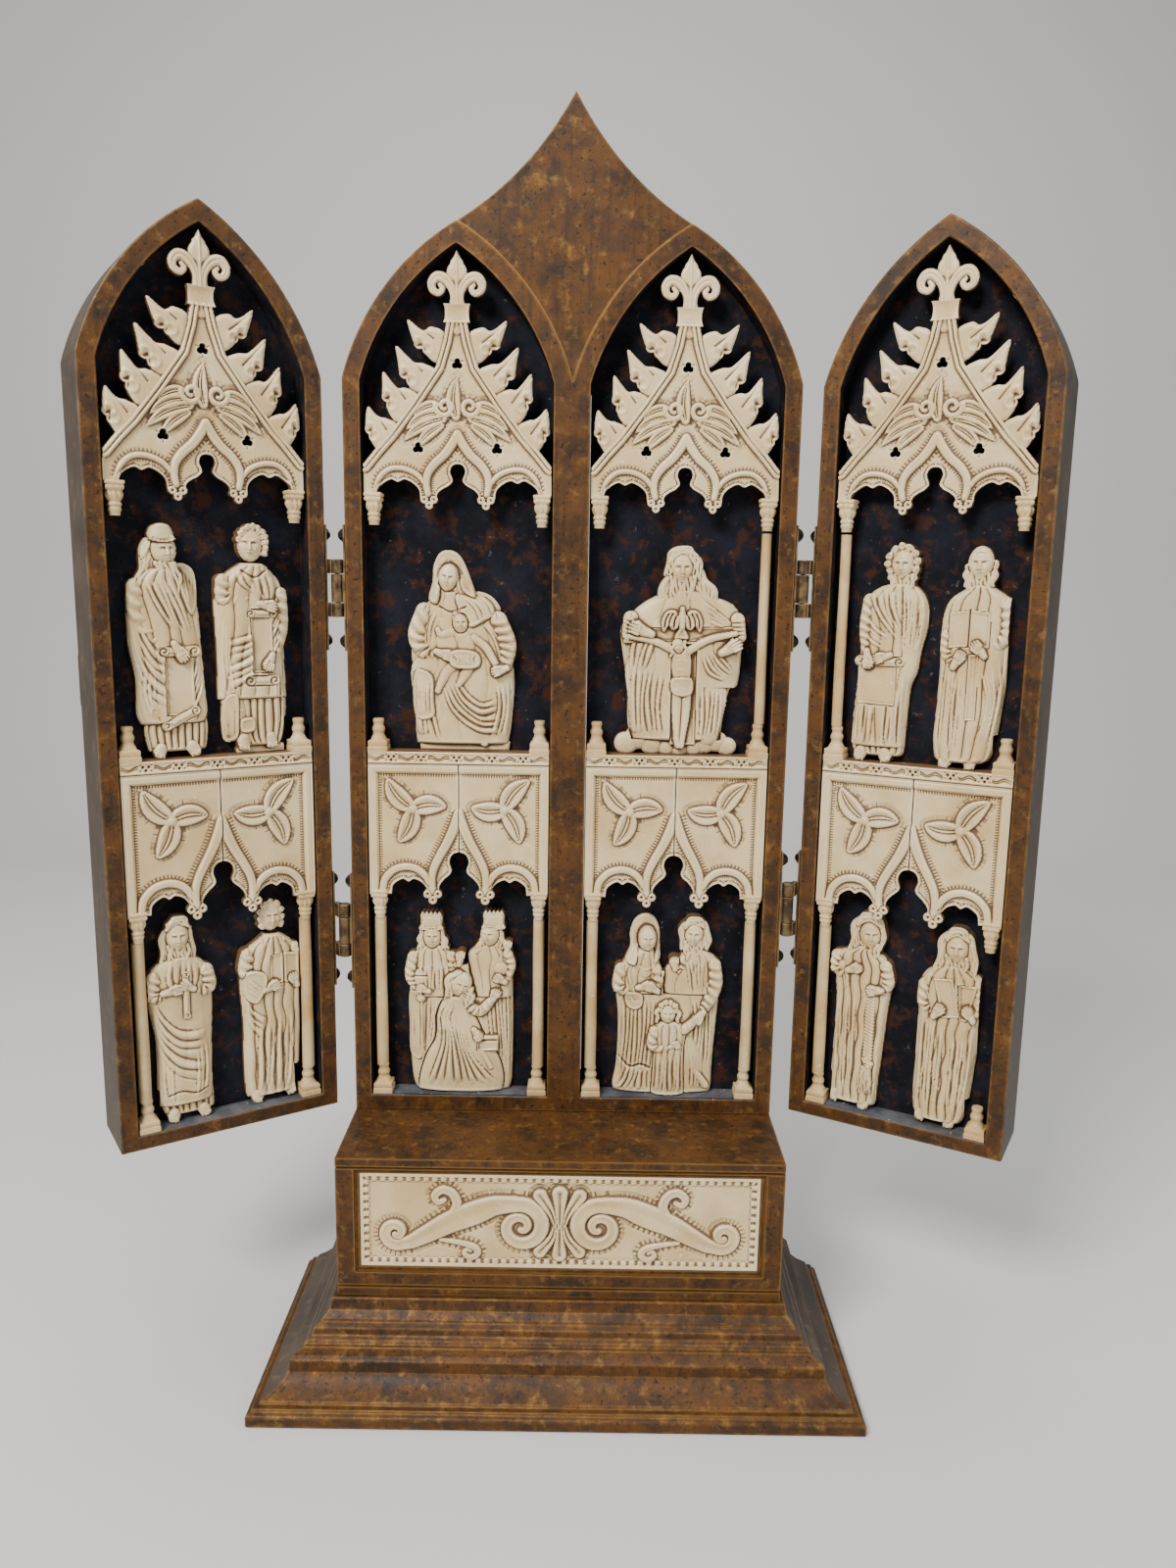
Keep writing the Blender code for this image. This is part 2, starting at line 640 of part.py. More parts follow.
# Relief figures. Every length is a share of the figure's height. A robe is a row of
# (height, left edge, right edge). A ball is (x, z, half width, half height, lift), a limb is
# (x, z, x, z, radius, radius, lift) and a slab is (x, z, half width, half height, turn, lift).

FIGURES = {
    "elder_with_scroll": dict(
        wing="left", x=-0.0267, level="ledge", height=0.1375, thick=0.074,
        robes=[((0.85, -0.05, 0.10), (0.80, -0.13, 0.145), (0.74, -0.155, 0.15), (0.60, -0.155, 0.14),
                (0.45, -0.135, 0.15), (0.33, -0.125, 0.155), (0.17, -0.115, 0.17), (0.15, -0.10, 0.15),
                (0.05, -0.10, 0.14), (0.0, -0.09, 0.145))],
        balls=[(0.01, 0.893, 0.060, 0.078, 0.030), (0.0, 0.955, 0.068, 0.045, 0.032),
               (-0.07, 0.83, 0.035, 0.07, 0.03)],
        limbs=[(0.034, 0.84, 0.045, 0.69, 0.042, 0.018, 0.045), (-0.11, 0.66, -0.07, 0.50, 0.05, 0.05, 0.02),
               (-0.06, 0.50, 0.06, 0.47, 0.038, 0.026, 0.045), (0.11, 0.83, 0.12, 0.68, 0.03, 0.03, 0.03)],
        slabs=[(0.055, 0.32, 0.062, 0.13, 0.0, 0.066)]),
    "youth_with_scroll": dict(
        wing="left", x=0.0258, level="ledge", height=0.1395, thick=0.074,
        robes=[((0.85, -0.05, 0.06), (0.815, -0.11, 0.105), (0.75, -0.148, 0.135), (0.67, -0.163, 0.142),
                (0.44, -0.155, 0.14), (0.27, -0.16, 0.148), (0.25, -0.14, 0.148), (0.12, -0.142, 0.15),
                (0.06, -0.138, 0.08), (0.05, -0.07, 0.09), (0.0, -0.11, 0.125))],
        balls=[(0.008, 0.915, 0.070, 0.084, 0.030)],
        limbs=[(-0.12, 0.70, -0.03, 0.64, 0.05, 0.045, 0.03), (-0.02, 0.67, 0.07, 0.65, 0.03, 0.026, 0.05),
               (-0.03, 0.24, -0.02, 0.12, 0.05, 0.04, 0.03), (0.10, 0.42, 0.05, 0.36, 0.03, 0.024, 0.045)],
        slabs=[(0.03, 0.49, 0.048, 0.15, 0.0, 0.064)]),
    "curly_elder_with_scroll": dict(
        wing="right", x=-0.0225, level="ledge", height=0.1355, thick=0.074,
        robes=[((0.85, -0.02, 0.10), (0.81, -0.075, 0.135), (0.75, -0.12, 0.155), (0.66, -0.132, 0.16),
                (0.56, -0.135, 0.155), (0.42, -0.14, 0.13), (0.37, -0.145, 0.115), (0.26, -0.155, 0.10),
                (0.09, -0.158, 0.093), (0.06, -0.14, 0.07), (0.0, -0.15, 0.078))],
        balls=[(0.05, 0.925, 0.068, 0.078, 0.030), (-0.03, 0.90, 0.035, 0.04, 0.028)],
        limbs=[(0.045, 0.85, 0.035, 0.73, 0.045, 0.02, 0.045), (-0.11, 0.62, -0.08, 0.50, 0.035, 0.03, 0.04),
               (0.04, 0.56, -0.03, 0.47, 0.035, 0.028, 0.045), (0.12, 0.76, 0.10, 0.55, 0.04, 0.04, 0.02)],
        slabs=[(-0.05, 0.36, 0.09, 0.10, 0.0, 0.066)]),
    "bald_elder_with_book": dict(
        wing="right", x=0.0292, level="ledge", height=0.1345, thick=0.074,
        robes=[((0.85, -0.04, 0.085), (0.81, -0.10, 0.135), (0.75, -0.125, 0.16), (0.64, -0.145, 0.16),
                (0.50, -0.142, 0.14), (0.45, -0.12, 0.132), (0.36, -0.145, 0.115), (0.25, -0.157, 0.103),
                (0.15, -0.16, 0.09), (0.05, -0.158, 0.09), (0.0, -0.155, 0.073))],
        balls=[(0.007, 0.922, 0.074, 0.080, 0.030)],
        limbs=[(0.01, 0.84, 0.012, 0.74, 0.05, 0.022, 0.045), (-0.11, 0.56, -0.04, 0.46, 0.035, 0.028, 0.045),
               (0.12, 0.72, 0.09, 0.50, 0.045, 0.045, 0.02)],
        slabs=[(-0.03, 0.625, 0.095, 0.085, 0.0, 0.068)]),
    "bearded_man_with_small_roll": dict(
        wing="left", x=-0.0274, level="floor", height=0.1335, thick=0.074,
        robes=[((0.85, -0.07, 0.05), (0.81, -0.13, 0.10), (0.75, -0.16, 0.14), (0.67, -0.165, 0.152),
                (0.58, -0.155, 0.16), (0.42, -0.145, 0.155), (0.24, -0.13, 0.145), (0.10, -0.12, 0.14),
                (0.05, -0.10, 0.12), (0.0, -0.10, 0.13))],
        balls=[(-0.02, 0.915, 0.070, 0.082, 0.030), (-0.015, 0.82, 0.045, 0.045, 0.045)],
        limbs=[(-0.13, 0.72, -0.08, 0.63, 0.04, 0.035, 0.03), (0.10, 0.72, 0.03, 0.66, 0.045, 0.035, 0.03),
               (-0.07, 0.63, 0.02, 0.70, 0.028, 0.026, 0.05)],
        slabs=[(0.0, 0.60, 0.022, 0.11, 0.0, 0.070)]),
    "beardless_man_with_book": dict(
        wing="left", x=0.0305, level="floor", height=0.1375, thick=0.074,
        robes=[((0.86, -0.05, 0.07), (0.825, -0.12, 0.115), (0.75, -0.15, 0.125), (0.63, -0.155, 0.125),
                (0.56, -0.12, 0.125), (0.33, -0.11, 0.125), (0.24, -0.105, 0.13), (0.07, -0.11, 0.12),
                (0.0, -0.11, 0.11))],
        balls=[(0.0, 0.924, 0.070, 0.076, 0.030)],
        limbs=[(-0.11, 0.74, -0.12, 0.62, 0.04, 0.04, 0.03), (-0.11, 0.60, 0.0, 0.56, 0.034, 0.026, 0.045)],
        slabs=[(0.068, 0.66, 0.080, 0.070, 4.0, 0.068)]),
    "man_with_cord": dict(
        wing="right", x=-0.0274, level="floor", height=0.1335, thick=0.074,
        robes=[((0.86, -0.08, 0.05), (0.83, -0.13, 0.09), (0.78, -0.145, 0.125), (0.70, -0.148, 0.145),
                (0.58, -0.145, 0.145), (0.52, -0.125, 0.14), (0.38, -0.13, 0.13), (0.22, -0.143, 0.12),
                (0.09, -0.145, 0.11), (0.03, -0.13, 0.105), (0.0, -0.12, 0.10))],
        balls=[(0.028, 0.915, 0.075, 0.083, 0.030)],
        limbs=[(-0.10, 0.76, -0.10, 0.58, 0.045, 0.035, 0.03), (0.10, 0.70, 0.06, 0.63, 0.035, 0.028, 0.04),
               (0.045, 0.60, 0.03, 0.22, 0.024, 0.024, 0.05), (-0.06, 0.72, -0.05, 0.64, 0.025, 0.025, 0.05)],
        slabs=[]),
    "man_with_two_tablets": dict(
        wing="right", x=0.0302, level="floor", height=0.1325, thick=0.074,
        robes=[((0.86, -0.06, 0.10), (0.81, -0.11, 0.15), (0.76, -0.145, 0.17), (0.68, -0.16, 0.175),
                (0.52, -0.168, 0.165), (0.37, -0.17, 0.15), (0.21, -0.165, 0.135), (0.10, -0.155, 0.10),
                (0.05, -0.165, 0.08), (0.0, -0.16, 0.07))],
        balls=[(0.016, 0.912, 0.072, 0.086, 0.030), (-0.07, 0.83, 0.04, 0.06, 0.03), (0.10, 0.83, 0.04, 0.06, 0.03)],
        limbs=[(0.02, 0.84, 0.022, 0.75, 0.045, 0.022, 0.045)],
        slabs=[(-0.03, 0.64, 0.048, 0.095, 10.0, 0.066), (0.07, 0.65, 0.045, 0.09, -14.0, 0.064)]),
    "seated_mother_and_child": dict(
        wing="centre_left", x=0.0019, level="ledge", height=0.1280, thick=0.082,
        robes=[((0.80, -0.12, 0.05), (0.76, -0.175, 0.15), (0.70, -0.205, 0.185), (0.63, -0.235, 0.21),
                (0.56, -0.25, 0.235), (0.49, -0.262, 0.24), (0.38, -0.255, 0.26), (0.32, -0.24, 0.257),
                (0.21, -0.24, 0.245), (0.10, -0.222, 0.235), (0.0, -0.225, 0.24))],
        balls=[(-0.06, 0.895, 0.090, 0.104, 0.028), (-0.004, 0.64, 0.052, 0.060, 0.058),
               (0.007, 0.53, 0.070, 0.065, 0.050)],
        limbs=[(0.05, 0.57, 0.14, 0.47, 0.034, 0.028, 0.055), (-0.07, 0.40, -0.116, 0.30, 0.036, 0.028, 0.058),
               (0.02, 0.40, -0.01, 0.34, 0.034, 0.028, 0.058), (-0.17, 0.56, -0.08, 0.49, 0.04, 0.03, 0.045),
               (-0.20, 0.38, -0.19, 0.20, 0.05, 0.05, 0.035), (0.13, 0.34, 0.10, 0.14, 0.09, 0.07, 0.022),
               (0.18, 0.46, 0.20, 0.37, 0.035, 0.025, 0.045)],
        slabs=[]),
    "enthroned_elder_with_cross": dict(
        wing="centre_right", x=0.0002, level="ledge", height=0.1320, thick=0.076,
        robes=[((0.83, -0.06, 0.15), (0.77, -0.12, 0.235), (0.72, -0.18, 0.27), (0.67, -0.245, 0.285),
                (0.62, -0.285, 0.31), (0.53, -0.28, 0.305), (0.35, -0.26, 0.295), (0.33, -0.245, 0.265),
                (0.21, -0.235, 0.25), (0.15, -0.245, 0.24), (0.10, -0.28, 0.27), (0.05, -0.295, 0.28),
                (0.0, -0.30, 0.28))],
        balls=[(0.003, 0.918, 0.066, 0.082, 0.030), (0.10, 0.83, 0.05, 0.07, 0.028), (0.01, 0.66, 0.06, 0.045, 0.055)],
        limbs=[(0.0, 0.84, 0.03, 0.72, 0.055, 0.07, 0.035), (-0.20, 0.45, -0.19, 0.24, 0.065, 0.06, 0.025),
               (0.16, 0.30, 0.17, 0.18, 0.06, 0.055, 0.03), (-0.24, 0.57, -0.05, 0.51, 0.024, 0.028, 0.060),
               (0.07, 0.52, 0.26, 0.59, 0.028, 0.024, 0.060), (0.02, 0.50, 0.015, 0.36, 0.055, 0.042, 0.055),
               (0.01, 0.34, 0.01, 0.06, 0.048, 0.038, 0.050)],
        slabs=[(0.017, 0.571, 0.285, 0.045, 0.0, 0.056)]),
    "crowned_visitors": dict(
        wing="centre_left", x=0.0002, level="floor", height=0.1265, thick=0.080,
        robes=[((0.81, -0.22, -0.09), (0.77, -0.26, -0.04), (0.70, -0.285, -0.01), (0.56, -0.30, 0.02),
                (0.19, -0.285, 0.02), (0.17, -0.245, 0.02), (0.0, -0.255, 0.02)),
               ((0.81, 0.08, 0.22), (0.77, 0.03, 0.26), (0.72, 0.0, 0.285), (0.63, -0.02, 0.29),
                (0.42, -0.02, 0.28), (0.21, -0.02, 0.27), (0.0, -0.02, 0.25))],
        balls=[(-0.16, 0.855, 0.062, 0.078, 0.030), (0.165, 0.88, 0.062, 0.070, 0.030), (-0.005, 0.61, 0.080, 0.080, 0.052)],
        limbs=[(-0.05, 0.44, -0.04, 0.26, 0.12, 0.12, 0.018), (-0.02, 0.10, 0.10, 0.10, 0.10, 0.10, 0.02),
               (0.21, 0.72, 0.265, 0.79, 0.028, 0.024, 0.04), (0.04, 0.52, 0.19, 0.54, 0.045, 0.028, 0.045),
               (0.0, 0.72, 0.005, 0.78, 0.03, 0.026, 0.03), (-0.24, 0.56, -0.20, 0.52, 0.04, 0.03, 0.04)],
        slabs=[(-0.167, 0.948, 0.058, 0.032, 0.0, 0.045), (0.205, 0.955, 0.058, 0.030, -16.0, 0.045)]),
    "family_group": dict(
        wing="centre_right", x=-0.0018, level="floor", height=0.1250, thick=0.080,
        robes=[((0.94, -0.17, -0.09), (0.90, -0.215, -0.07), (0.83, -0.26, -0.085), (0.76, -0.285, -0.05),
                (0.70, -0.297, -0.02), (0.60, -0.295, 0.02), (0.48, -0.27, 0.02), (0.18, -0.27, 0.02),
                (0.05, -0.295, 0.02), (0.0, -0.28, 0.02)),
               ((0.82, 0.10, 0.24), (0.78, 0.07, 0.275), (0.71, 0.0, 0.30), (0.64, -0.02, 0.305),
                (0.53, -0.02, 0.29), (0.39, -0.02, 0.265), (0.28, -0.02, 0.265), (0.04, -0.02, 0.293),
                (0.0, -0.02, 0.28))],
        balls=[(-0.12, 0.90, 0.070, 0.094, 0.030), (0.148, 0.905, 0.074, 0.092, 0.030), (0.014, 0.45, 0.052, 0.062, 0.055)],
        limbs=[(0.015, 0.34, 0.03, 0.06, 0.07, 0.08, 0.035), (0.03, 0.37, 0.13, 0.40, 0.034, 0.026, 0.05),
               (-0.04, 0.70, 0.05, 0.74, 0.03, 0.035, 0.035), (-0.22, 0.62, -0.09, 0.60, 0.045, 0.03, 0.045),
               (0.27, 0.62, 0.20, 0.44, 0.045, 0.03, 0.03)],
        slabs=[]),
}


def ball_height(spec, x, z):
    cx, cz, wide, tall, lift = spec
    off = ((x - cx) / wide) ** 2 + ((z - cz) / tall) ** 2
    return (1.0 - np.sqrt(off)) * min(wide, tall), lift + 0.75 * wide * np.sqrt(np.clip(1.0 - off, 0.0, 1.0))


def limb_height(spec, x, z):
    ax, az, bx, bz, near, far, lift = spec
    long = (bx - ax) ** 2 + (bz - az) ** 2
    t = np.clip(((x - ax) * (bx - ax) + (z - az) * (bz - az)) / long, 0.0, 1.0)
    radius = near + (far - near) * t
    away = np.hypot(x - ax - t * (bx - ax), z - az - t * (bz - az))
    return radius - away, lift + 0.9 * np.sqrt(np.clip(radius ** 2 - away ** 2, 0.0, None))


def slab_height(spec, x, z):
    cx, cz, wide, tall, turn, lift = spec
    spin = math.radians(turn)
    u = (x - cx) * math.cos(spin) + (z - cz) * math.sin(spin)
    v = (z - cz) * math.cos(spin) - (x - cx) * math.sin(spin)
    inside = np.minimum(wide - np.abs(u), tall - np.abs(v))
    return inside, lift + 0.0 * inside


def robe_height(stations, thick, x, z):
    heights = [row[0] for row in reversed(stations)]
    left = np.interp(z, heights, [row[1] for row in reversed(stations)])
    right = np.interp(z, heights, [row[2] for row in reversed(stations)])
    inside = np.minimum(np.minimum(x - left, right - x), heights[-1] - z)
    across = np.clip(2.0 * (x - left) / np.maximum(right - left, 0.001) - 1.0, -1.0, 1.0)
    round_top = np.clip((heights[-1] - z) / 0.06, 0.0, 1.0) ** 0.5
    crown = np.sqrt(np.clip(1.0 - np.abs(across) ** 2.6, 0.0, 1.0)) * (0.6 + 0.4 * round_top)
    return inside, thick * (RELIEF_EDGE + (1.0 - RELIEF_EDGE) * crown)


def figure_height(figure, x, z):
    """How far inside the outline each spot is, and its height above the board, as shares."""
    inside = np.full(x.shape, -1.0)
    height = np.zeros(x.shape)
    thick = figure["thick"]
    found = [robe_height(robe, thick, x, z) for robe in figure["robes"]]
    found += [ball_height(ball, x, z) for ball in figure["balls"]]
    found += [limb_height(limb, x, z) for limb in figure["limbs"]]
    found += [slab_height(slab, x, z) for slab in figure["slabs"]]
    for within, up in found:
        height = np.where(within > 0.0, np.maximum(height, up), height)
        inside = np.maximum(inside, within)
    return inside, np.clip(height, 0.3 * thick, thick * 1.08)


def relief(name, figure, cell_x, cell_z):
    """A carved figure: a grid cut to the outline, raised to the carving, with a flat back."""
    size = figure["height"]
    reach = 0.33 * size
    columns = 2 * round(reach / cell_x)
    rows = round(1.02 * size / cell_z)
    bm = bmesh.new()
    bmesh.ops.create_grid(bm, x_segments=columns, y_segments=rows, size=0.5)
    bm.verts.ensure_lookup_table()
    spots = np.array([tuple(v.co) for v in bm.verts])
    x = spots[:, 0] * columns * cell_x / size
    z = (spots[:, 1] + 0.5) * rows * cell_z / size
    inside, height = figure_height(figure, x, z)
    beside = np.where(z * size < UPPER_BASE_HEIGHT + cell_z, FITTING_HALF - BASE_WIDTH, COLUMN_X - SHAFT_RADIUS)
    room = beside - FIGURE_CLEARANCE - np.abs(figure["x"] + x * size)
    inside = np.minimum(inside, room / size)
    snapped = set()
    for vert in bm.verts:
        if inside[vert.index] > 0.0:
            continue
        near = [edge.other_vert(vert).index for edge in vert.link_edges]
        best = max(near, key=lambda i: inside[i])
        if inside[best] > 0.0:
            t = inside[best] / (inside[best] - inside[vert.index])
            snapped.add((vert.index, best, t))
    moved_x = x.copy()
    moved_z = z.copy()
    keep = set(np.nonzero(inside > 0.0)[0])
    for here, best, t in snapped:
        moved_x[here] = x[best] + t * (x[here] - x[best])
        moved_z[here] = z[best] + t * (z[here] - z[best])
        height[here] = min(height[best], 0.5 * figure["thick"])
        keep.add(here)
    pleat = np.cos(math.pi * spots[:, 0] * columns) * PLEAT / size
    draped = np.clip((0.62 - moved_z) / 0.2, 0.0, 1.0) * (inside > 0.02)
    height = height + pleat * draped
    doomed = [f for f in bm.faces if any(v.index not in keep for v in f.verts)
              or all(inside[v.index] <= 0.0 for v in f.verts)]
    for vert in bm.verts:
        i = vert.index
        vert.co = (moved_x[i] * size, -height[i] * size, max(moved_z[i], 0.0) * size)
    bmesh.ops.delete(bm, geom=doomed, context="FACES")
    drop_pinches(bm)
    rim = [edge for edge in bm.edges if edge.is_boundary]
    grown = bmesh.ops.extrude_edge_only(bm, edges=rim)["geom"]
    for vert in [item for item in grown if isinstance(item, bmesh.types.BMVert)]:
        vert.co.y = 0.0
    bmesh.ops.edgeloop_fill(bm, edges=[item for item in grown if isinstance(item, bmesh.types.BMEdge)])
    bmesh.ops.transform(bm, matrix=Matrix.Translation((0.0, RECESS_DEPTH - FIT, 0.0)), verts=bm.verts)
    return finished(bm, name)


def drop_pinches(bm):
    """Remove faces that touch the rest of the sheet only at a corner."""
    found = True
    while found:
        found = [v for v in bm.verts if sum(edge.is_boundary for edge in v.link_edges) > 2]
        for vert in found[:1]:
            face = min(vert.link_faces, key=lambda f: sum(not e.is_boundary for e in f.edges))
            bmesh.ops.delete(bm, geom=[face], context="FACES")


# Hinges and clasp

def nail(x, y, z, direction):
    """A faceted nail head: a hexagon that narrows to a flat tip, pointing in a direction."""
    bm = bmesh.new()
    out = Vector(direction)
    turn = Vector((0.0, 0.0, 1.0)).rotation_difference(out).to_matrix().to_4x4()
    spot = Matrix.Translation(Vector((x, y, z)) + out * NAIL_HEIGHT / 2.0)
    bmesh.ops.create_cone(bm, cap_ends=True, segments=6, radius1=NAIL_RADIUS, radius2=0.42 * NAIL_RADIUS,
                          depth=NAIL_HEIGHT + 0.0004, matrix=spot @ turn)
    return finished(bm, "nail")


def drum(z, height, radius):
    bm = bmesh.new()
    bmesh.ops.create_cone(bm, cap_ends=True, segments=8, radius1=radius, radius2=radius, depth=height,
                          matrix=Matrix.Translation((0.0, 0.0, z)))
    return finished(bm, "drum")


def leaf_strip(x, outward, front):
    low = min(x, x + outward * LEAF_THICKNESS)
    return box("leaf", (low, front, -LEAF_HEIGHT / 2.0), (low + LEAF_THICKNESS, front + LEAF_DEPTH, LEAF_HEIGHT / 2.0))


def centre_leaf(side):
    """The leaf on the case, with the middle knuckle round the pin. X runs from the hinge axis."""
    x = side * -(AXIS_OUT - FIT)
    mesh = leaf_strip(x, side, -AXIS_BACK + FIT)
    web = sorted((x + side * 0.5 * LEAF_THICKNESS, side * -PIN_RADIUS * 2.0))
    reach = box("web", (web[0], -0.0016, -KNUCKLE_MIDDLE / 2.0), (web[1], 0.0016, KNUCKLE_MIDDLE / 2.0))
    mesh = combined(mesh, [reach, drum(0.0, KNUCKLE_MIDDLE, KNUCKLE_RADIUS)])
    mesh = combined(mesh, [drum(0.0, 2.0 * KNUCKLE_MIDDLE, PIN_RADIUS + PIN_CLEARANCE)], "DIFFERENCE")
    face = x + side * LEAF_THICKNESS
    nails = [nail(face, -AXIS_BACK + NAIL_RADIUS + 0.0012, s * NAIL_SPACING / 2.0, (side, 0.0, 0.0))
             for s in (-1.0, 1.0)]
    return combined(mesh, nails)


def wing_leaf(side):
    """The leaf on a wing, with the outer knuckles and the pin through them."""
    x = side * (WING_FROM_AXIS - FIT)
    front = WING_BEHIND_AXIS + FIT
    mesh = leaf_strip(x, -side, front)
    middle = KNUCKLE_MIDDLE / 2.0 + 0.0004 + KNUCKLE_END / 2.0
    bodies = []
    for s in (-1.0, 1.0):
        web = sorted((x - side * 0.8 * LEAF_THICKNESS, side * 0.0010))
        bodies.append(box("web", (web[0], 0.0, s * middle - KNUCKLE_END / 2.0),
                          (web[1], front + 0.0020, s * middle + KNUCKLE_END / 2.0)))
        bodies.append(drum(s * middle, KNUCKLE_END, KNUCKLE_RADIUS))
    bodies.append(drum(0.0, 2.0 * middle, PIN_RADIUS))
    face = x - side * LEAF_THICKNESS
    bodies += [nail(face, front + NAIL_RADIUS + 0.0008, s * NAIL_SPACING / 2.0, (-side, 0.0, 0.0))
               for s in (-1.0, 1.0)]
    return combined(mesh, bodies)


def clasp():
    """The plate with two faceted knobs on the back of the left wing, at its outer edge."""
    x = -WING_WIDTH / 2.0
    back = CASE_DEPTH + FIT
    middle = FLOOR + CLASP_Z
    mesh = box("clasp", (x, back, middle - CLASP_HEIGHT / 2.0),
               (x + CLASP_WIDTH, back + LEAF_THICKNESS, middle + CLASP_HEIGHT / 2.0))
    knobs = [nail(x + 0.0036, back + LEAF_THICKNESS, middle + s * CLASP_KNOB_SPACING / 2.0, (0.0, 1.0, 0.0))
             for s in (-1.0, 1.0)]
    return combined(mesh, knobs)


def place_figures(wing, parent):
    for name, figure in FIGURES.items():
        if figure["wing"] != wing:
            continue
        crowd = wing.startswith("centre")
        cells = (GROUP_CELL, GROUP_CELL) if crowd else (CELL_WIDTH, CELL_HEIGHT)
        item = add(name, relief(name, figure, *cells), BONE, parent)
        level = LEDGE_Z if figure["level"] == "ledge" else FLOOR
        item.location = (figure["x"], 0.0, level + FIT)


def furnish(bay, label, shared):
    """Put the carving that every bay has into it."""
    add(label + "_back_board", shared["board"], BOARD, bay)
    add(label + "_gable", shared["gable"], BONE, bay)
    add(label + "_ledge", shared["ledge"], BONE, bay)
    add(label + "_arcade_left_half", shared["arcade_left"], BONE, bay)
    add(label + "_arcade_right_half", shared["arcade_right"], BONE, bay)


def build():
    shared = {
        "board": back_board(),
        "gable": gable(),
        "ledge": ledge(),
        "arcade_left": arcade_half(-1.0),
        "arcade_right": arcade_half(1.0),
    }
    column = {side: lower_column(side, True) for side in (-1.0, 1.0)}

    add("plinth", plinth(), WOOD)
    add("pedestal", pedestal(), WOOD)
    add("predella_panel", predella_panel(), BONE)
    add("centre_frame", centre_frame(), WOOD)
    for side, label in ((-1.0, "centre_left"), (1.0, "centre_right")):
        bay = empty(label + "_bay", (side * BAY_CENTRE, FRONT_Y, 0.0))
        furnish(bay, label, shared)
        for s, word in ((-1.0, "left"), (1.0, "right")):
            add(label + "_lower_column_" + word, column[s], BONE, bay)
        place_figures(label, bay)
        if side > 0.0:
            add("centre_right_upper_shaft", upper_shaft(1.0), BONE, bay)
        hinge = empty(label + "_hinge_side", (side * AXIS_X, AXIS_Y, 0.0))
        leaf = centre_leaf(side)
        heights = LEFT_HINGE_HEIGHTS if side < 0.0 else RIGHT_HINGE_HEIGHTS
        for height, word in zip(heights, ("lower", "upper")):
            item = add(label + "_hinge_leaf_" + word, leaf, BRASS, hinge)
            item.location.z = CASE_BOTTOM + height

    for side, label, angle in ((-1.0, "left_wing", LEFT_ANGLE), (1.0, "right_wing", RIGHT_ANGLE)):
        hinge = empty(label + "_hinge", (side * AXIS_X, AXIS_Y, 0.0), -side * math.radians(angle))
        middle = side * (WING_FROM_AXIS + WING_WIDTH / 2.0)
        bay = empty(label + "_bay", (middle, WING_BEHIND_AXIS, 0.0), parent=hinge)
        add(label + "_frame", wing_frame(), WOOD, bay)
        furnish(bay, label, shared)
        place_figures(label.split("_")[0], bay)
        leaf = wing_leaf(side)
        heights = LEFT_HINGE_HEIGHTS if side < 0.0 else RIGHT_HINGE_HEIGHTS
        for height, word in zip(heights, ("lower", "upper")):
            item = add(label + "_hinge_leaf_" + word, leaf, BRASS, hinge)
            item.location.z = CASE_BOTTOM + height
        add(label + "_lower_column_left", column[-1.0], BONE, bay)
        if side < 0.0:
            add(label + "_lower_column_right", column[1.0], BONE, bay)
            add(label + "_clasp", clasp(), BRASS, bay)
        else:
            add(label + "_lower_base_right", lower_column(1.0, False), BONE, bay)
            add(label + "_upper_shaft", upper_shaft(-1.0), BONE, bay)


clear_scene()
PARTS = collection("triptych_altarpiece")
CUTTERS = collection("cutters")
build()
bpy.context.view_layer.update()
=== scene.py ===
import math

import bmesh
import bpy
import numpy as np
from mathutils import Matrix


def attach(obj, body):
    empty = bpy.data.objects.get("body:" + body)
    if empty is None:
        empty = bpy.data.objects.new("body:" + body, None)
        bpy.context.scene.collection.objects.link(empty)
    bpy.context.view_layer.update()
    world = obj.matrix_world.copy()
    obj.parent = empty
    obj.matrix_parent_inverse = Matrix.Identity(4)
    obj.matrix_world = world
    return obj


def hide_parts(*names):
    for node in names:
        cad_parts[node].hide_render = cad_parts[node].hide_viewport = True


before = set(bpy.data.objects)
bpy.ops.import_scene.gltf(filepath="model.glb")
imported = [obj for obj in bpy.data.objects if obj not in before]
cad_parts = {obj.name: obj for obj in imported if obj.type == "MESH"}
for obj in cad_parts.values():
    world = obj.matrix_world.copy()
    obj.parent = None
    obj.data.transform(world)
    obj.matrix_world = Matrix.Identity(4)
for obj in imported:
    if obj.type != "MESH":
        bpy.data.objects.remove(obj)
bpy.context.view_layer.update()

# Lengths are millimetres until a mesh is made. In a bay, x runs to the right, depth runs back
# from the front of its frame, and z is the height above the table.
case = {
    "halfWidth": 140.0, "depth": 46.5, "frontY": 34.25, "backY": 80.75, "bar": 10.75,
    "mullionHalf": 11.25, "bayHalf": 59.0, "bottom": 151.1, "floor": 161.1, "recess": 17.0,
    "spring": 624.3, "rise": 90.3, "archRadius": 150.0, "ogeeRise": 72.1, "ogeeRadius": 190.0,
    "archSteps": 36, "gap": 0.3, "wingLift": 0.9, "bandStep": 1.0,
}
heights = {"ledge": 395.4, "ledgeThick": 7.7, "gable": 572.7, "arcade": 304.0}
hingeAxis = {"x": 146.0, "y": 38.4, "out": 5.6, "behind": 5.15}
wingAngle = {"left": 33.2, "right": 29.4}
fitting = {"half": 58.4, "front": 2.2, "back": 6.5, "boardFront": 16.7}
bayCentre = case["mullionHalf"] + case["bayHalf"]
wingHalf = case["bayHalf"] + case["bar"]


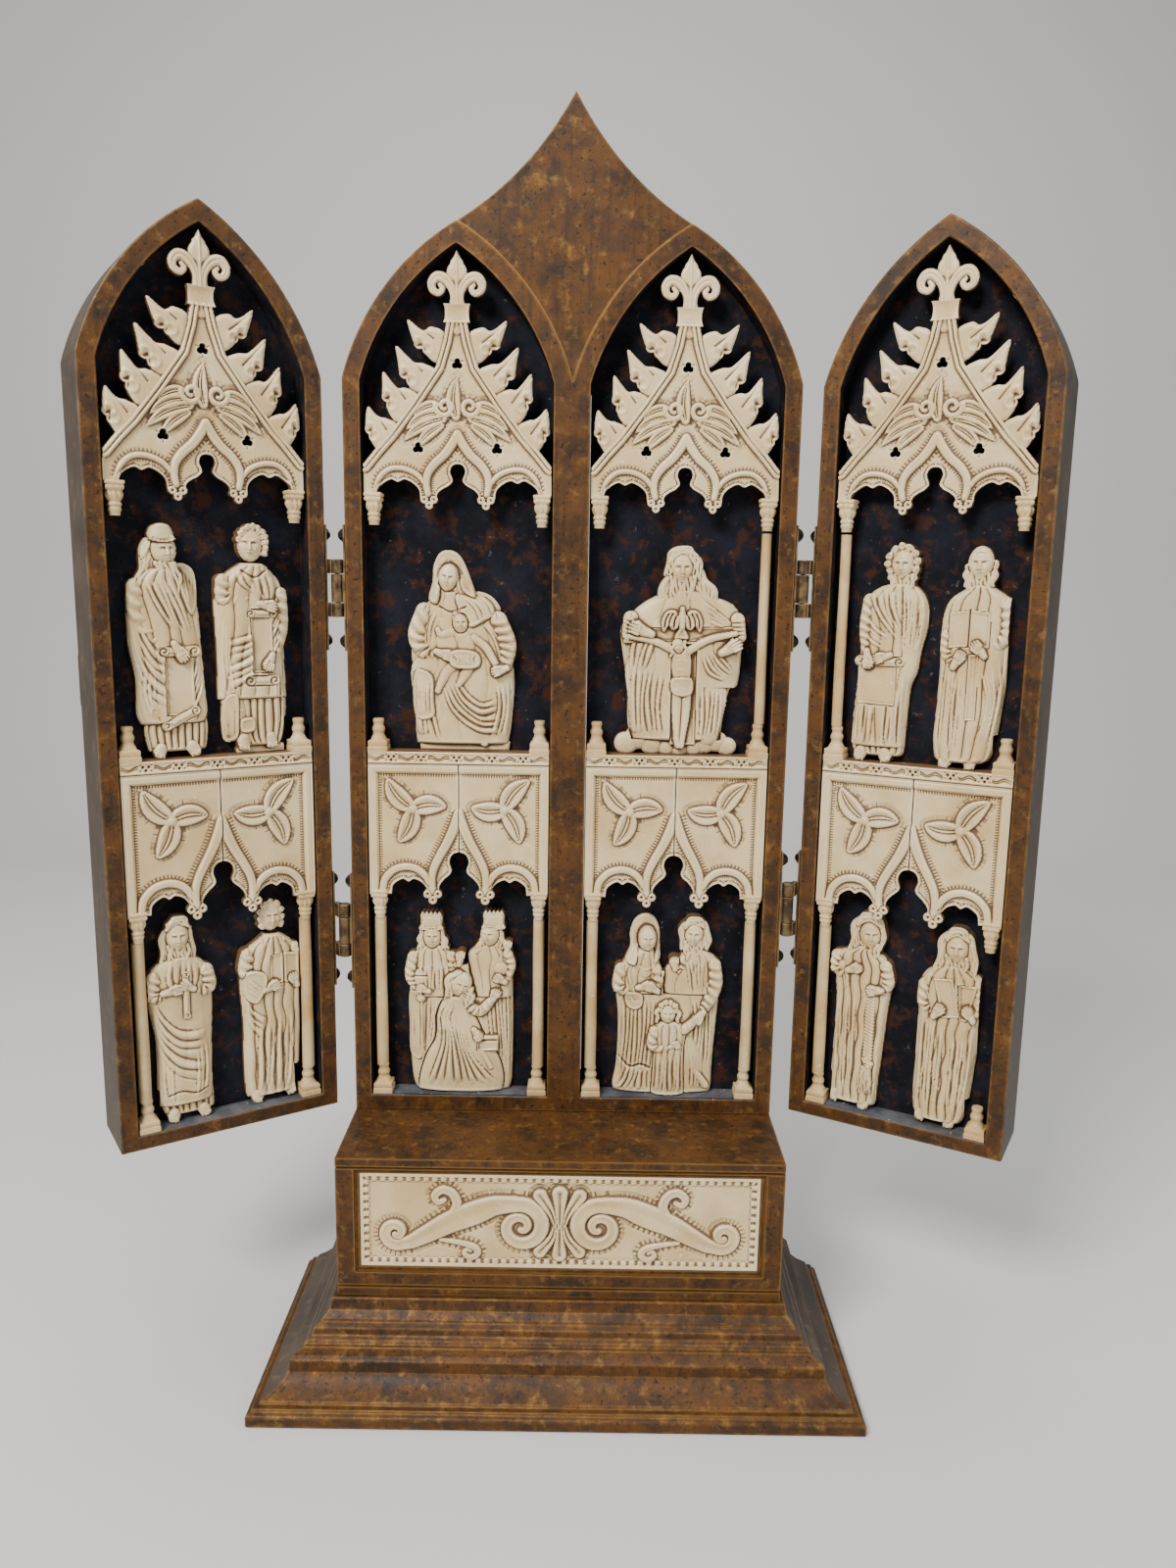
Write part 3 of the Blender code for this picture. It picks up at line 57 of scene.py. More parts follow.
def centreBay(side):
    place = np.eye(4)
    place[:3, 3] = (side * bayCentre, case["frontY"], 0.0)
    return place


def hingePlace(side, angle):
    turn = -side * math.radians(angle)
    place = np.eye(4)
    place[:2, :2] = ((math.cos(turn), -math.sin(turn)), (math.sin(turn), math.cos(turn)))
    place[:3, 3] = (side * hingeAxis["x"], hingeAxis["y"], 0.0)
    return place


def wingBay(side, angle):
    offset = np.eye(4)
    offset[:3, 3] = (side * (hingeAxis["out"] + wingHalf), hingeAxis["behind"], 0.0)
    return hingePlace(side, angle) @ offset


bays = {
    "centre_left": {"place": centreBay(-1.0), "body": "centre", "seed": 1},
    "centre_right": {"place": centreBay(1.0), "body": "centre", "seed": 2},
    "left_wing": {"place": wingBay(-1.0, wingAngle["left"]), "body": "left_wing", "seed": 3},
    "right_wing": {"place": wingBay(1.0, wingAngle["right"]), "body": "right_wing", "seed": 4},
}
finishes = {}


# Shapes

def finishPiece(item, body, nodes, look):
    item.data.materials.clear()
    item.data.materials.append(finishes[look])
    bpy.context.scene.collection.objects.link(item)
    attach(item, body)
    if nodes:
        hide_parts(*nodes)
    return item


def placed(points, place):
    # world = place . (x, depth, z, 1), from millimetres to metres
    spots = np.asarray(points, float)
    return (spots @ place[:3, :3].T + place[:3, 3]) / 1000.0


def surface(name, points, closed=True):
    # a grid of points (rings, sides, 3): ring i joins ring i + 1, and each ring closes on itself
    rings, sides = points.shape[:2]
    index = np.arange(rings * sides).reshape(rings, sides)
    nextSide = np.roll(index, -1, axis=1)
    faces = np.stack((index[:-1], nextSide[:-1], nextSide[1:], index[1:]), axis=-1).reshape(-1, 4)
    rims = [tuple(index[0][::-1]), tuple(index[-1])] if closed else []
    mesh = bpy.data.meshes.new(name)
    mesh.from_pydata(points.reshape(-1, 3).tolist(), [], faces.tolist() + [list(map(int, r)) for r in rims])
    return mesh


def turnedMesh(name, centre, profile, sides, place, square=None, twist=0.0, lobes=0, lobeDepth=0.0):
    # radius(height, angle) = profile radius / max(|cos|, |sin|) ** squareness
    # . (1 + lobeDepth . cos(lobes . angle))
    rows = np.asarray(profile, float)
    angle = np.linspace(0.0, 2.0 * math.pi, sides, endpoint=False)
    squareness = np.zeros(len(rows)) if square is None else np.asarray(square, float)
    swell = np.maximum(np.abs(np.cos(angle)), np.abs(np.sin(angle)))[None, :] ** squareness[:, None]
    wave = 1.0 + lobeDepth * np.cos(lobes * (angle[None, :] + twist * rows[:, 1:2]))
    carved = rows[:, 2:3] if rows.shape[1] > 2 else 0.0
    radius = rows[:, 0:1] / swell * (1.0 + (wave - 1.0) * carved)
    points = np.stack((centre[0] + radius * np.cos(angle), centre[1] + radius * np.sin(angle),
                       np.repeat(rows[:, 1:2], sides, axis=1)), axis=-1)
    return surface(name, placed(points, place))


def joined(name, meshes):
    bm = bmesh.new()
    for mesh in meshes:
        bm.from_mesh(mesh)
        bpy.data.meshes.remove(mesh)
    whole = bpy.data.meshes.new(name)
    bm.to_mesh(whole)
    bm.free()
    return whole


def outward(mesh, sharp=40.0):
    bm = bmesh.new()
    bm.from_mesh(mesh)
    bmesh.ops.recalc_face_normals(bm, faces=bm.faces)
    bm.to_mesh(mesh)
    bm.free()
    mesh.shade_smooth()
    mesh.set_sharp_from_angle(angle=math.radians(sharp))
    return mesh


def addBevel(item, width, segments=2):
    bevel = item.modifiers.new("worn edges", "BEVEL")
    bevel.width = width / 1000.0
    bevel.segments = segments
    bevel.limit_method = "ANGLE"
    bevel.angle_limit = math.radians(32.0)
    bevel.harden_normals = False
    return item


def arcLine(start, end, radius, steps, side=1.0):
    # points on a circle of the radius through both ends, its centre to the left of the way
    a = np.array(start, float)
    b = np.array(end, float)
    along = b - a
    length = np.hypot(*along)
    across = np.array((-along[1], along[0])) / length
    centre = (a + b) / 2.0 + across * side * math.sqrt(max(radius ** 2 - length ** 2 / 4.0, 0.0))
    first = math.atan2(a[1] - centre[1], a[0] - centre[0])
    last = math.atan2(b[1] - centre[1], b[0] - centre[0])
    sweep = (last - first + math.pi) % (2.0 * math.pi) - math.pi
    turns = first + sweep * np.linspace(0.0, 1.0, steps + 1)[1:]
    return [(centre[0] + radius * math.cos(t), centre[1] + radius * math.sin(t)) for t in turns]


def plateMesh(name, loops, front, thickness, place):
    # flat outlines in x and z, filled between the depths front and front + thickness
    curve = bpy.data.curves.new(name, "CURVE")
    curve.dimensions = "2D"
    curve.fill_mode = "BOTH"
    curve.extrude = thickness / 2.0
    for loop in loops:
        spline = curve.splines.new("POLY")
        spline.points.add(len(loop) - 1)
        spline.points.foreach_set("co", np.array([(x, z, 0.0, 1.0) for x, z in loop]).ravel())
        spline.use_cyclic_u = True
    item = bpy.data.objects.new(name, curve)
    bpy.context.scene.collection.objects.link(item)
    bpy.context.view_layer.update()
    mesh = bpy.data.meshes.new_from_object(item.evaluated_get(bpy.context.evaluated_depsgraph_get()))
    bpy.data.objects.remove(item)
    bpy.data.curves.remove(curve)
    stand = Matrix.Translation((0.0, front + thickness / 2.0, 0.0)) @ Matrix.Rotation(math.pi / 2.0, 4, "X")
    toWorld = Matrix.Diagonal((0.001, 0.001, 0.001, 1.0)) @ Matrix(place.tolist())
    bm = bmesh.new()
    bm.from_mesh(mesh)
    bpy.data.meshes.remove(mesh)
    bmesh.ops.remove_doubles(bm, verts=bm.verts, dist=0.01)
    bmesh.ops.transform(bm, matrix=toWorld @ stand, verts=bm.verts)
    bmesh.ops.dissolve_limit(bm, angle_limit=0.002, verts=bm.verts, edges=bm.edges)
    whole = bpy.data.meshes.new(name)
    bm.to_mesh(whole)
    bm.free()
    return outward(whole)


def boxMesh(name, low, high, place):
    corners = [(x, y, z) for x in (low[0], high[0]) for y in (low[1], high[1]) for z in (low[2], high[2])]
    faces = ((0, 1, 3, 2), (4, 6, 7, 5), (0, 4, 5, 1), (2, 3, 7, 6), (0, 2, 6, 4), (1, 5, 7, 3))
    mesh = bpy.data.meshes.new(name)
    mesh.from_pydata(placed(corners, place).tolist(), [], faces)
    return mesh


def softPath(points, steps=5, closed=False):
    # Catmull-Rom curve through the points
    line = np.asarray(points, float)
    before, after = 2 * line[:1] - line[1:2], 2 * line[-1:] - line[-2:-1]
    ends = (line[-1:], line, line[:2]) if closed else (before, line, after)
    ends = np.vstack(ends)
    p0, p1, p2, p3 = ends[:-3, None], ends[1:-2, None], ends[2:-1, None], ends[3:, None]
    t = (np.arange(steps) / steps)[None, :, None]
    soft = 0.5 * (2 * p1 + (p2 - p0) * t + (2 * p0 - 5 * p1 + 4 * p2 - p3) * t ** 2
                  + (3 * p1 - p0 - 3 * p2 + p3) * t ** 3)
    soft = soft.reshape(-1, line.shape[1])
    return soft if closed else np.vstack((soft, line[-1:]))


# Carving: a field of heights over x and z, in front of a flat back

class Carving:
    def __init__(self, left, right, foot, top, cell):
        self.cell = cell
        self.left = left - 2.0 * cell
        self.foot = foot - 2.0 * cell
        columns = int((right - left) / cell) + 5
        rows = int((top - foot) / cell) + 5
        self.x, self.z = np.meshgrid(self.left + cell * np.arange(columns), self.foot + cell
                                     * np.arange(rows))
        self.inside = np.full(self.x.shape, -9.0)  # far outside
        self.height = np.zeros(self.x.shape)

    def near(self, points, reach):
        # the cells within reach of some points
        spots = np.asarray(points, float)
        low = ((spots.min(axis=0)[:2] - reach - (self.left, self.foot)) / self.cell).astype(int)
        high = ((spots.max(axis=0)[:2] + reach - (self.left, self.foot)) / self.cell).astype(int) + 2
        low = np.maximum(low, 0)
        high = np.maximum(high, low + 1)
        return slice(low[1], high[1]), slice(low[0], high[0])

    def lay(self, w, field, height):
        # add a shape: the higher surface shows
        self.inside[w] = np.maximum(self.inside[w], field)
        self.height[w] = np.where(field > 0.0, np.maximum(self.height[w], height), self.height[w])

    def cover(self, w, field, height):
        # add a shape that hides what is under it
        self.inside[w] = np.maximum(self.inside[w], field)
        self.height[w] = np.where(field > 0.0, height, self.height[w])

    def cut(self, w, field):
        # cut through where the field is positive
        self.inside[w] = np.minimum(self.inside[w], -field)


def lineField(x, z, points):
    # (radius - distance) to a line of (x, z, radius), the share of the way along it, and the signed distance
    line = np.asarray(points, float)
    best = np.full(x.shape, -1e9)
    along = np.zeros(x.shape)
    offset = np.zeros(x.shape)
    for i in range(len(line) - 1):
        a = line[i]
        b = line[i + 1]
        dx = b[0] - a[0]
        dz = b[1] - a[1]
        t = np.clip(((x - a[0]) * dx + (z - a[1]) * dz) / max(dx * dx + dz * dz, 1e-9), 0.0, 1.0)
        ex = x - a[0] - t * dx
        ez = z - a[1] - t * dz
        distance = np.hypot(ex, ez)
        field = a[2] + (b[2] - a[2]) * t - distance
        closer = field > best
        best = np.where(closer, field, best)
        along = np.where(closer, (i + t) / (len(line) - 1), along)
        offset = np.where(closer, distance * np.sign(ex * dz - ez * dx), offset)
    return best, along, offset


def areaField(x, z, outline):
    # distance to a closed outline, positive where a level ray crosses it an odd number of times
    ring = np.asarray(outline, float)
    distance = np.full(x.shape, 1e9)
    crossings = np.zeros(x.shape, bool)
    for a, b in zip(ring, np.roll(ring, -1, axis=0)):
        dx = b[0] - a[0]
        dz = b[1] - a[1]
        t = np.clip(((x - a[0]) * dx + (z - a[1]) * dz) / max(dx * dx + dz * dz, 1e-9), 0.0, 1.0)
        distance = np.minimum(distance, np.hypot(x - a[0] - t * dx, z - a[1] - t * dz))
        if abs(dz) > 1e-9:
            crossings ^= ((a[1] > z) != (b[1] > z)) & (x < a[0] + dx * (z - a[1]) / dz)
    return np.where(crossings, distance, -distance)


def ballField(x, z, centre, halfWidth, halfHeight, turn=0.0):
    # (1 - |(u, v)|) . the smaller half axis, with u and v along the turned axes
    c = math.cos(turn)
    s = math.sin(turn)
    u = ((x - centre[0]) * c + (z - centre[1]) * s) / halfWidth
    v = (-(x - centre[0]) * s + (z - centre[1]) * c) / halfHeight
    return (1.0 - np.hypot(u, v)) * min(halfWidth, halfHeight), u, v


def rounded(field, radius):
    # quarter circle: 0 at the edge, 1 from radius inwards
    t = np.clip(field / radius, 0.0, 1.0)
    return np.sqrt(1.0 - (1.0 - t) ** 2)


def roll(field, halfWidth):
    # half circle across a strip whose field is halfWidth in its middle
    t = np.clip(1.0 - field / halfWidth, 0.0, 1.0)
    return np.sqrt(1.0 - t ** 2)


def blurred(values, sigma):
    # Gaussian blur by the fast Fourier transform, with mirrored edges
    pad = int(3 * sigma) + 1
    wide = np.pad(values, pad, mode="reflect")
    fz = np.fft.fftfreq(wide.shape[0])[:, None]
    fx = np.fft.rfftfreq(wide.shape[1])[None, :]
    soft = np.fft.irfft2(np.fft.rfft2(wide) * np.exp(-2.0 * (math.pi * sigma) ** 2 * (fx ** 2 + fz ** 2)),
                         wide.shape)
    return soft[pad:-pad, pad:-pad]


def noiseField(x, z, size, seed):
    # mean of a few plane waves whose angles, lengths and phases the seed draws
    draw = np.random.default_rng(seed)
    total = np.zeros(x.shape)
    waves = 5
    for _ in range(waves):
        turn = draw.uniform(0.0, 2.0 * math.pi)
        wave = 2.0 * math.pi / (size * draw.uniform(0.7, 1.6))
        total += np.sin(wave * (x * math.cos(turn) + z * math.sin(turn)) + draw.uniform(0.0, 6.28))
    return total / waves


# wallPatinaAndShade: how far the side walls of a carving are painted dark brown, partly as patina and partly
# as painted shade
carvedLook = {"broad": 2.4, "fine": 0.7, "thinnest": 0.25, "outside": -9.0, "sharpAngle": 62.0,
              "wallPatinaAndShade": 0.75}


def carvedMesh(name, carving, backDepth, place, wornBy=0.05, seed=0):
    # depth = backDepth - height; cells at the edge move to where the field is 0
    c = carving
    c.height = c.height + wornBy * noiseField(c.x, c.z, 3.1, seed) * (c.height > 0.0)
    s = c.inside.copy()
    s[0, :] = s[-1, :] = s[:, 0] = s[:, -1] = carvedLook["outside"]
    for _ in range(3):
        inner = s > 0.0
        q = (inner[:-1, :-1] | inner[1:, :-1] | inner[:-1, 1:] | inner[1:, 1:]).astype(int)
        total = np.zeros(s.shape, int)
        diagonal = np.zeros(s.shape, int)
        total[1:-1, 1:-1] = q[:-1, :-1] + q[1:, 1:] + q[1:, :-1] + q[:-1, 1:]
        diagonal[1:-1, 1:-1] = q[:-1, :-1] + q[1:, 1:] - q[1:, :-1] - q[:-1, 1:]
        pinched = (np.abs(diagonal) == 2) & (total == 2)
        if not pinched.any():
            break
        s[pinched] = 0.3 * c.cell
    shift = np.zeros(s.shape + (2,))
    best = np.full(s.shape, -1.0)
    lifted = c.height.copy()
    for rowStep in (-1, 0, 1):
        for columnStep in (-1, 0, 1):
            if rowStep == 0 and columnStep == 0:
                continue
            beside = np.roll(s, (-rowStep, -columnStep), axis=(0, 1))
            besideHeight = np.roll(c.height, (-rowStep, -columnStep), axis=(0, 1))
            share = np.where((s <= 0.0) & (beside > 0.0), beside / np.maximum(beside - s, 1e-6), -1.0)
            better = share > best
            best = np.where(better, share, best)
            shift[..., 0] = np.where(better, columnStep * (1.0 - share) * c.cell, shift[..., 0])
            shift[..., 1] = np.where(better, rowStep * (1.0 - share) * c.cell, shift[..., 1])
            lifted = np.where(better, besideHeight, lifted)
    quads = (s > 0.0)[:-1, :-1] | (s > 0.0)[1:, :-1] | (s > 0.0)[:-1, 1:] | (s > 0.0)[1:, 1:]
    used = np.zeros(s.shape, bool)
    used[:-1, :-1] |= quads
    used[1:, :-1] |= quads
    used[:-1, 1:] |= quads
    used[1:, 1:] |= quads
    number = np.full(s.shape, -1)
    number[used] = np.arange(used.sum())
    lifted = np.maximum(lifted, carvedLook["thinnest"])
    solid = np.where(s > 0.0, c.height, 0.0)
    wide = solid - blurred(solid, carvedLook["broad"] / c.cell)
    fine = solid - blurred(solid, carvedLook["fine"] / c.cell)
    # hollow: concave places, which the cream materials paint dark brown, partly as patina and partly as
    # painted shade; ridge: convex places, rubbed pale
    hollow = np.clip(-0.42 * wide - 1.5 * fine, 0.0, 1.0)
    ridge = np.clip(0.30 * wide + 1.3 * fine, 0.0, 1.0)
    front = np.stack((c.x + shift[..., 0], backDepth - lifted, c.z + shift[..., 1]), axis=-1)[used]
    a, b = number[:-1, :-1][quads], number[:-1, 1:][quads]
    d, e = number[1:, 1:][quads], number[1:, :-1][quads]
    faces = np.stack((a, b, d, e), axis=-1)
    edges = np.concatenate((np.stack((a, b), -1), np.stack((b, d), -1), np.stack((d, e), -1),
                            np.stack((e, a), -1)))
    size = len(front)
    forward = edges[:, 0].astype(np.int64) * size + edges[:, 1]
    backward = edges[:, 1].astype(np.int64) * size + edges[:, 0]
    rim = edges[~np.isin(forward, backward)]
    rimPoints = np.unique(rim)
    behind = np.full(size, -1)
    behind[rimPoints] = size + np.arange(len(rimPoints))
    backPoints = front[rimPoints].copy()
    backPoints[:, 1] = backDepth
    walls = np.stack((rim[:, 1], rim[:, 0], behind[rim[:, 0]], behind[rim[:, 1]]), axis=-1)
    points = placed(np.vstack((front, backPoints)), place)
    mesh = bpy.data.meshes.new(name)
    fillGrid(mesh, points, np.vstack((faces, walls)))
    bm = bmesh.new()
    bm.from_mesh(mesh)
    openEdges = [edge for edge in bm.edges if len(edge.link_faces) == 1]
    bmesh.ops.triangle_fill(bm, edges=openEdges, use_beauty=False)
    bm.normal_update()
    behindDirection = place[:3, 1]
    bm.faces.ensure_lookup_table()
    wrong = [f for f in bm.faces[len(faces) + len(walls):] if f.normal.dot(behindDirection.tolist()) < 0.0]
    bmesh.ops.reverse_faces(bm, faces=wrong)
    bm.to_mesh(mesh)
    bm.free()
    total = len(mesh.vertices)
    # the walls get the fixed wall value, so they are painted dark brown as patina and painted shade
    for title, values, wall in (("hollow", hollow, carvedLook["wallPatinaAndShade"]), ("ridge", ridge, 0.0)):
        data = np.full(total, wall)
        data[:size] = values[used]
        mesh.attributes.new(title, "FLOAT", "POINT").data.foreach_set("value", data.astype(np.float32))
    mesh.shade_smooth()
    mesh.set_sharp_from_angle(angle=math.radians(carvedLook["sharpAngle"]))
    return mesh


def fillGrid(mesh, points, faces):
    mesh.vertices.add(len(points))
    mesh.vertices.foreach_set("co", points.astype(np.float32).ravel())
    mesh.loops.add(faces.size)
    mesh.loops.foreach_set("vertex_index", faces.astype(np.int32).ravel())
    mesh.polygons.add(len(faces))
    mesh.polygons.foreach_set("loop_start", np.arange(0, faces.size, 4, dtype=np.int32))
    mesh.update(calc_edges=True)
    mesh.validate()


# Materials

def group(name, inputs, outputs):
    tree = bpy.data.node_groups.new(name, "ShaderNodeTree")
    for title, kind, value in inputs:
        socket = tree.interface.new_socket(title, in_out="INPUT", socket_type="NodeSocket" + kind)
        if value is not None:
            socket.default_value = value
    for title, kind in outputs:
        tree.interface.new_socket(title, in_out="OUTPUT", socket_type="NodeSocket" + kind)
    start = tree.nodes.new("NodeGroupInput")
    end = tree.nodes.new("NodeGroupOutput")
    return tree, start.outputs, end.inputs


def node(tree, kind, links=(), **values):
    made = tree.nodes.new("ShaderNode" + kind)
    for title, value in values.items():
        setattr(made, title, value)
    for socket, source in dict(links).items():
        if hasattr(source, "is_output"):
            tree.links.new(source, made.inputs[socket])
        else:
            made.inputs[socket].default_value = source
    return made


def math2(tree, operation, a, b=0.0, clamp=False):
    return node(tree, "Math", {0: a, 1: b}, operation=operation, use_clamp=clamp).outputs[0]


def times(tree, a, b, clamp=False):
    return math2(tree, "MULTIPLY", a, b, clamp)


def plus(tree, a, b, clamp=False):
    return math2(tree, "ADD", a, b, clamp)


def ramp(tree, value, low, high):
    # share = (value - low) / (high - low), kept between 0 and 1 and smoothed
    made = node(tree, "MapRange", {0: value, 1: low, 2: high}, interpolation_type="SMOOTHSTEP")
    return made.outputs[0]


def mixColour(tree, share, a, b, blend="MIX"):
    made = node(tree, "Mix", {0: share, 6: a, 7: b}, data_type="RGBA", blend_type=blend)
    return made.outputs[2]


def noise(tree, scale, detail=4.0, roughness=0.55, vector=None):
    links = {"Scale": scale, "Detail": detail, "Roughness": roughness}
    if vector is None:
        vector = node(tree, "TexCoord").outputs["Object"]
    links["Vector"] = vector
    return node(tree, "TexNoise", links).outputs[0]


def makePatinaAndShadeGroup():
    # dark brown in hollows and on the walls, partly patina and partly painted shade; brown stains, bare on
    # ridges; masks come from the carving's own attributes
    tree, start, end = group("carving patina and painted shade", [("Amount", "Float", 0.7), ("Stain Scale", "Float", 60.0)],
                             [("Hollow", "Float"), ("Rubbed", "Float"), ("Stain", "Float"),
                              ("Height", "Float")])
    hollow = node(tree, "Attribute", attribute_name="hollow").outputs["Fac"]
    ridge = node(tree, "Attribute", attribute_name="ridge").outputs["Fac"]
    broad = noise(tree, start["Stain Scale"], 5.0)
    small = noise(tree, 900.0, 4.0)
    stained = times(tree, ramp(tree, broad, 0.42, 0.66), start["Amount"])
    # Hollow: where patina and painted shade darken the carving
    deep = plus(tree, hollow, times(tree, math2(tree, "SUBTRACT", small, 0.5), 0.35))
    tree.links.new(ramp(tree, deep, 0.05, 0.62), end["Hollow"])
    tree.links.new(ramp(tree, plus(tree, ridge, times(tree, small, 0.2)), 0.15, 0.7), end["Rubbed"])
    tree.links.new(stained, end["Stain"])
    tree.links.new(small, end["Height"])
    return tree


def makeEdgeGroup():
    # convex edges from the bevelled normal: 1 where the surface turns sharply, broken by noise
    tree, start, end = group("edge wear", [("Radius", "Float", 0.002), ("Break", "Float", 120.0)],
                             [("Edge", "Float")])
    soft = node(tree, "Bevel", {"Radius": start["Radius"]}, samples=4).outputs[0]
    plain = node(tree, "NewGeometry").outputs["Normal"]
    dot = node(tree, "VectorMath", {0: soft, 1: plain}, operation="DOT_PRODUCT").outputs["Value"]
    turned = math2(tree, "SUBTRACT", 1.0, dot)
    broken = times(tree, math2(tree, "SUBTRACT", noise(tree, start["Break"], 5.0, 0.7), 0.42), 0.30)
    tree.links.new(ramp(tree, plus(tree, turned, broken), 0.03, 0.12), end["Edge"])
    return tree


def makeGrainGroup():
    # long fibres along z: the noise is read at Stretch times the place
    tree, start, end = group("wood grain", [("Stretch", "Vector", (1.0, 1.0, 0.06)),
                                            ("Scale", "Float", 260.0)],
                             [("Fibre", "Float"), ("Speck", "Float"), ("Cloud", "Float")])
    spot = node(tree, "TexCoord").outputs["Object"]
    long = node(tree, "VectorMath", {0: spot, 1: start["Stretch"]}, operation="MULTIPLY").outputs[0]
    tree.links.new(noise(tree, start["Scale"], 6.0, 0.6, long), end["Fibre"])
    tree.links.new(ramp(tree, noise(tree, 420.0, 3.0), 0.60, 0.68), end["Speck"])
    tree.links.new(noise(tree, 28.0, 5.0, 0.6), end["Cloud"])
    return tree


def newMaterial(name):
    made = bpy.data.materials.new(name)
    made.use_nodes = True
    return made, made.node_tree, made.node_tree.nodes["Principled BSDF"]


def addGroup(tree, shared, **values):
    made = tree.nodes.new("ShaderNodeGroup")
    made.node_tree = shared
    for title, value in values.items():
        made.inputs[title.replace("_", " ")].default_value = value
    return made.outputs


def setRoughness(tree, shader, value, low, high):
    spread = node(tree, "MapRange", {0: value, 3: low, 4: high})
    tree.links.new(spread.outputs[0], shader.inputs["Roughness"])


def addBump(tree, shader, height, strength, distance=0.0004):
    bump = node(tree, "Bump", {"Height": height, "Strength": strength, "Distance": distance})
    tree.links.new(bump.outputs[0], shader.inputs["Normal"])


shared = {"patinaAndShade": makePatinaAndShadeGroup(), "edge": makeEdgeGroup(), "grain": makeGrainGroup()}


def makeBone(name, base, shade, patinaAndShadeDark, stainColour, amount):
    # cream face, warm shade in broad clouds, dark brown in the hollows and on the walls as patina and painted
    # shade, and pale rubbed ridges
    made, tree, shader = newMaterial(name)
    p = addGroup(tree, shared["patinaAndShade"], Amount=amount, Stain_Scale=34.0)
    cloud = ramp(tree, noise(tree, 22.0, 5.0), 0.35, 0.68)
    colour = mixColour(tree, cloud, base, shade)
    colour = mixColour(tree, times(tree, p["Stain"], 0.55), colour, stainColour)
    # patina and painted shade: dark brown in the hollows and on the walls
    colour = mixColour(tree, times(tree, p["Hollow"], 0.92), colour, patinaAndShadeDark)
    colour = mixColour(tree, times(tree, p["Rubbed"], 0.45), colour, (0.90, 0.76, 0.50, 1.0))
    chips = ramp(tree, noise(tree, 330.0, 2.0), 0.70, 0.74)
    colour = mixColour(tree, times(tree, chips, 0.5), colour, (0.93, 0.90, 0.82, 1.0))
    tree.links.new(colour, shader.inputs["Base Color"])
    setRoughness(tree, shader, p["Rubbed"], 0.52, 0.36)
    addBump(tree, shader, p["Height"], 0.25)
    return made


def makeGilt(name):
    # brown wood under mottled bronze and rust, dark specks, rubbed gold edges
    made, tree, shader = newMaterial(name)
    g = addGroup(tree, shared["grain"])
    edge = addGroup(tree, shared["edge"], Radius=0.002)["Edge"]
    rust = ramp(tree, noise(tree, 75.0, 6.0, 0.7), 0.40, 0.62)
    colour = mixColour(tree, ramp(tree, g["Cloud"], 0.35, 0.65), (0.026, 0.013, 0.006, 1.0),
                       (0.072, 0.031, 0.009, 1.0))
    colour = mixColour(tree, times(tree, rust, 0.5), colour, (0.150, 0.060, 0.013, 1.0))
    colour = mixColour(tree, times(tree, ramp(tree, g["Fibre"], 0.5, 0.72), 0.45), colour,
                       (0.016, 0.009, 0.005, 1.0))
    colour = mixColour(tree, times(tree, g["Speck"], 0.8), colour, (0.008, 0.006, 0.005, 1.0))
    colour = mixColour(tree, times(tree, edge, 0.6), colour, (0.40, 0.21, 0.055, 1.0))
    tree.links.new(colour, shader.inputs["Base Color"])
    shine = times(tree, plus(tree, times(tree, rust, 0.3), times(tree, edge, 0.5)), 0.8)
    tree.links.new(shine, shader.inputs["Metallic"])
    setRoughness(tree, shader, g["Cloud"], 0.42, 0.62)
    shader.inputs["Specular IOR Level"].default_value = 0.25
    addBump(tree, shader, plus(tree, g["Fibre"], times(tree, g["Speck"], -0.8)), 0.35)
    return made


def makePlain(name):
    # dull grey-brown sides with faint grain and dark scuffs
    made, tree, shader = newMaterial(name)
    g = addGroup(tree, shared["grain"], Scale=180.0)
    edge = addGroup(tree, shared["edge"], Radius=0.0015)["Edge"]
    colour = mixColour(tree, ramp(tree, g["Cloud"], 0.3, 0.7), (0.042, 0.029, 0.020, 1.0),
                       (0.078, 0.054, 0.036, 1.0))
    colour = mixColour(tree, times(tree, ramp(tree, g["Fibre"], 0.5, 0.75), 0.5), colour,
                       (0.055, 0.043, 0.034, 1.0))
    colour = mixColour(tree, times(tree, g["Speck"], 0.6), colour, (0.03, 0.025, 0.02, 1.0))
    colour = mixColour(tree, times(tree, edge, 0.4), colour, (0.30, 0.23, 0.14, 1.0))
    tree.links.new(colour, shader.inputs["Base Color"])
    setRoughness(tree, shader, g["Cloud"], 0.55, 0.75)
    addBump(tree, shader, g["Fibre"], 0.3)
    return made


def makeBoard(name, low, high, rustColour, rustShare, chipShare):
    # blue-black paint, mottled, with rust-red rubbed patches and pale chips
    made, tree, shader = newMaterial(name)
    broad = ramp(tree, noise(tree, 48.0, 6.0, 0.68), 0.36, 0.66)
    small = noise(tree, 240.0, 5.0, 0.6)
    colour = mixColour(tree, broad, low, high)
    patches = plus(tree, noise(tree, 90.0, 5.0, 0.7), times(tree, small, 0.2))
    rust = times(tree, ramp(tree, patches, 0.60, 0.74), rustShare)
    colour = mixColour(tree, rust, colour, rustColour)
    chips = times(tree, ramp(tree, small, 0.66, 0.70), chipShare)
    colour = mixColour(tree, chips, colour, (0.45, 0.44, 0.40, 1.0))
    tree.links.new(colour, shader.inputs["Base Color"])
    setRoughness(tree, shader, broad, 0.78, 0.92)
    shader.inputs["Specular IOR Level"].default_value = 0.12
    addBump(tree, shader, small, 0.4)
    return made


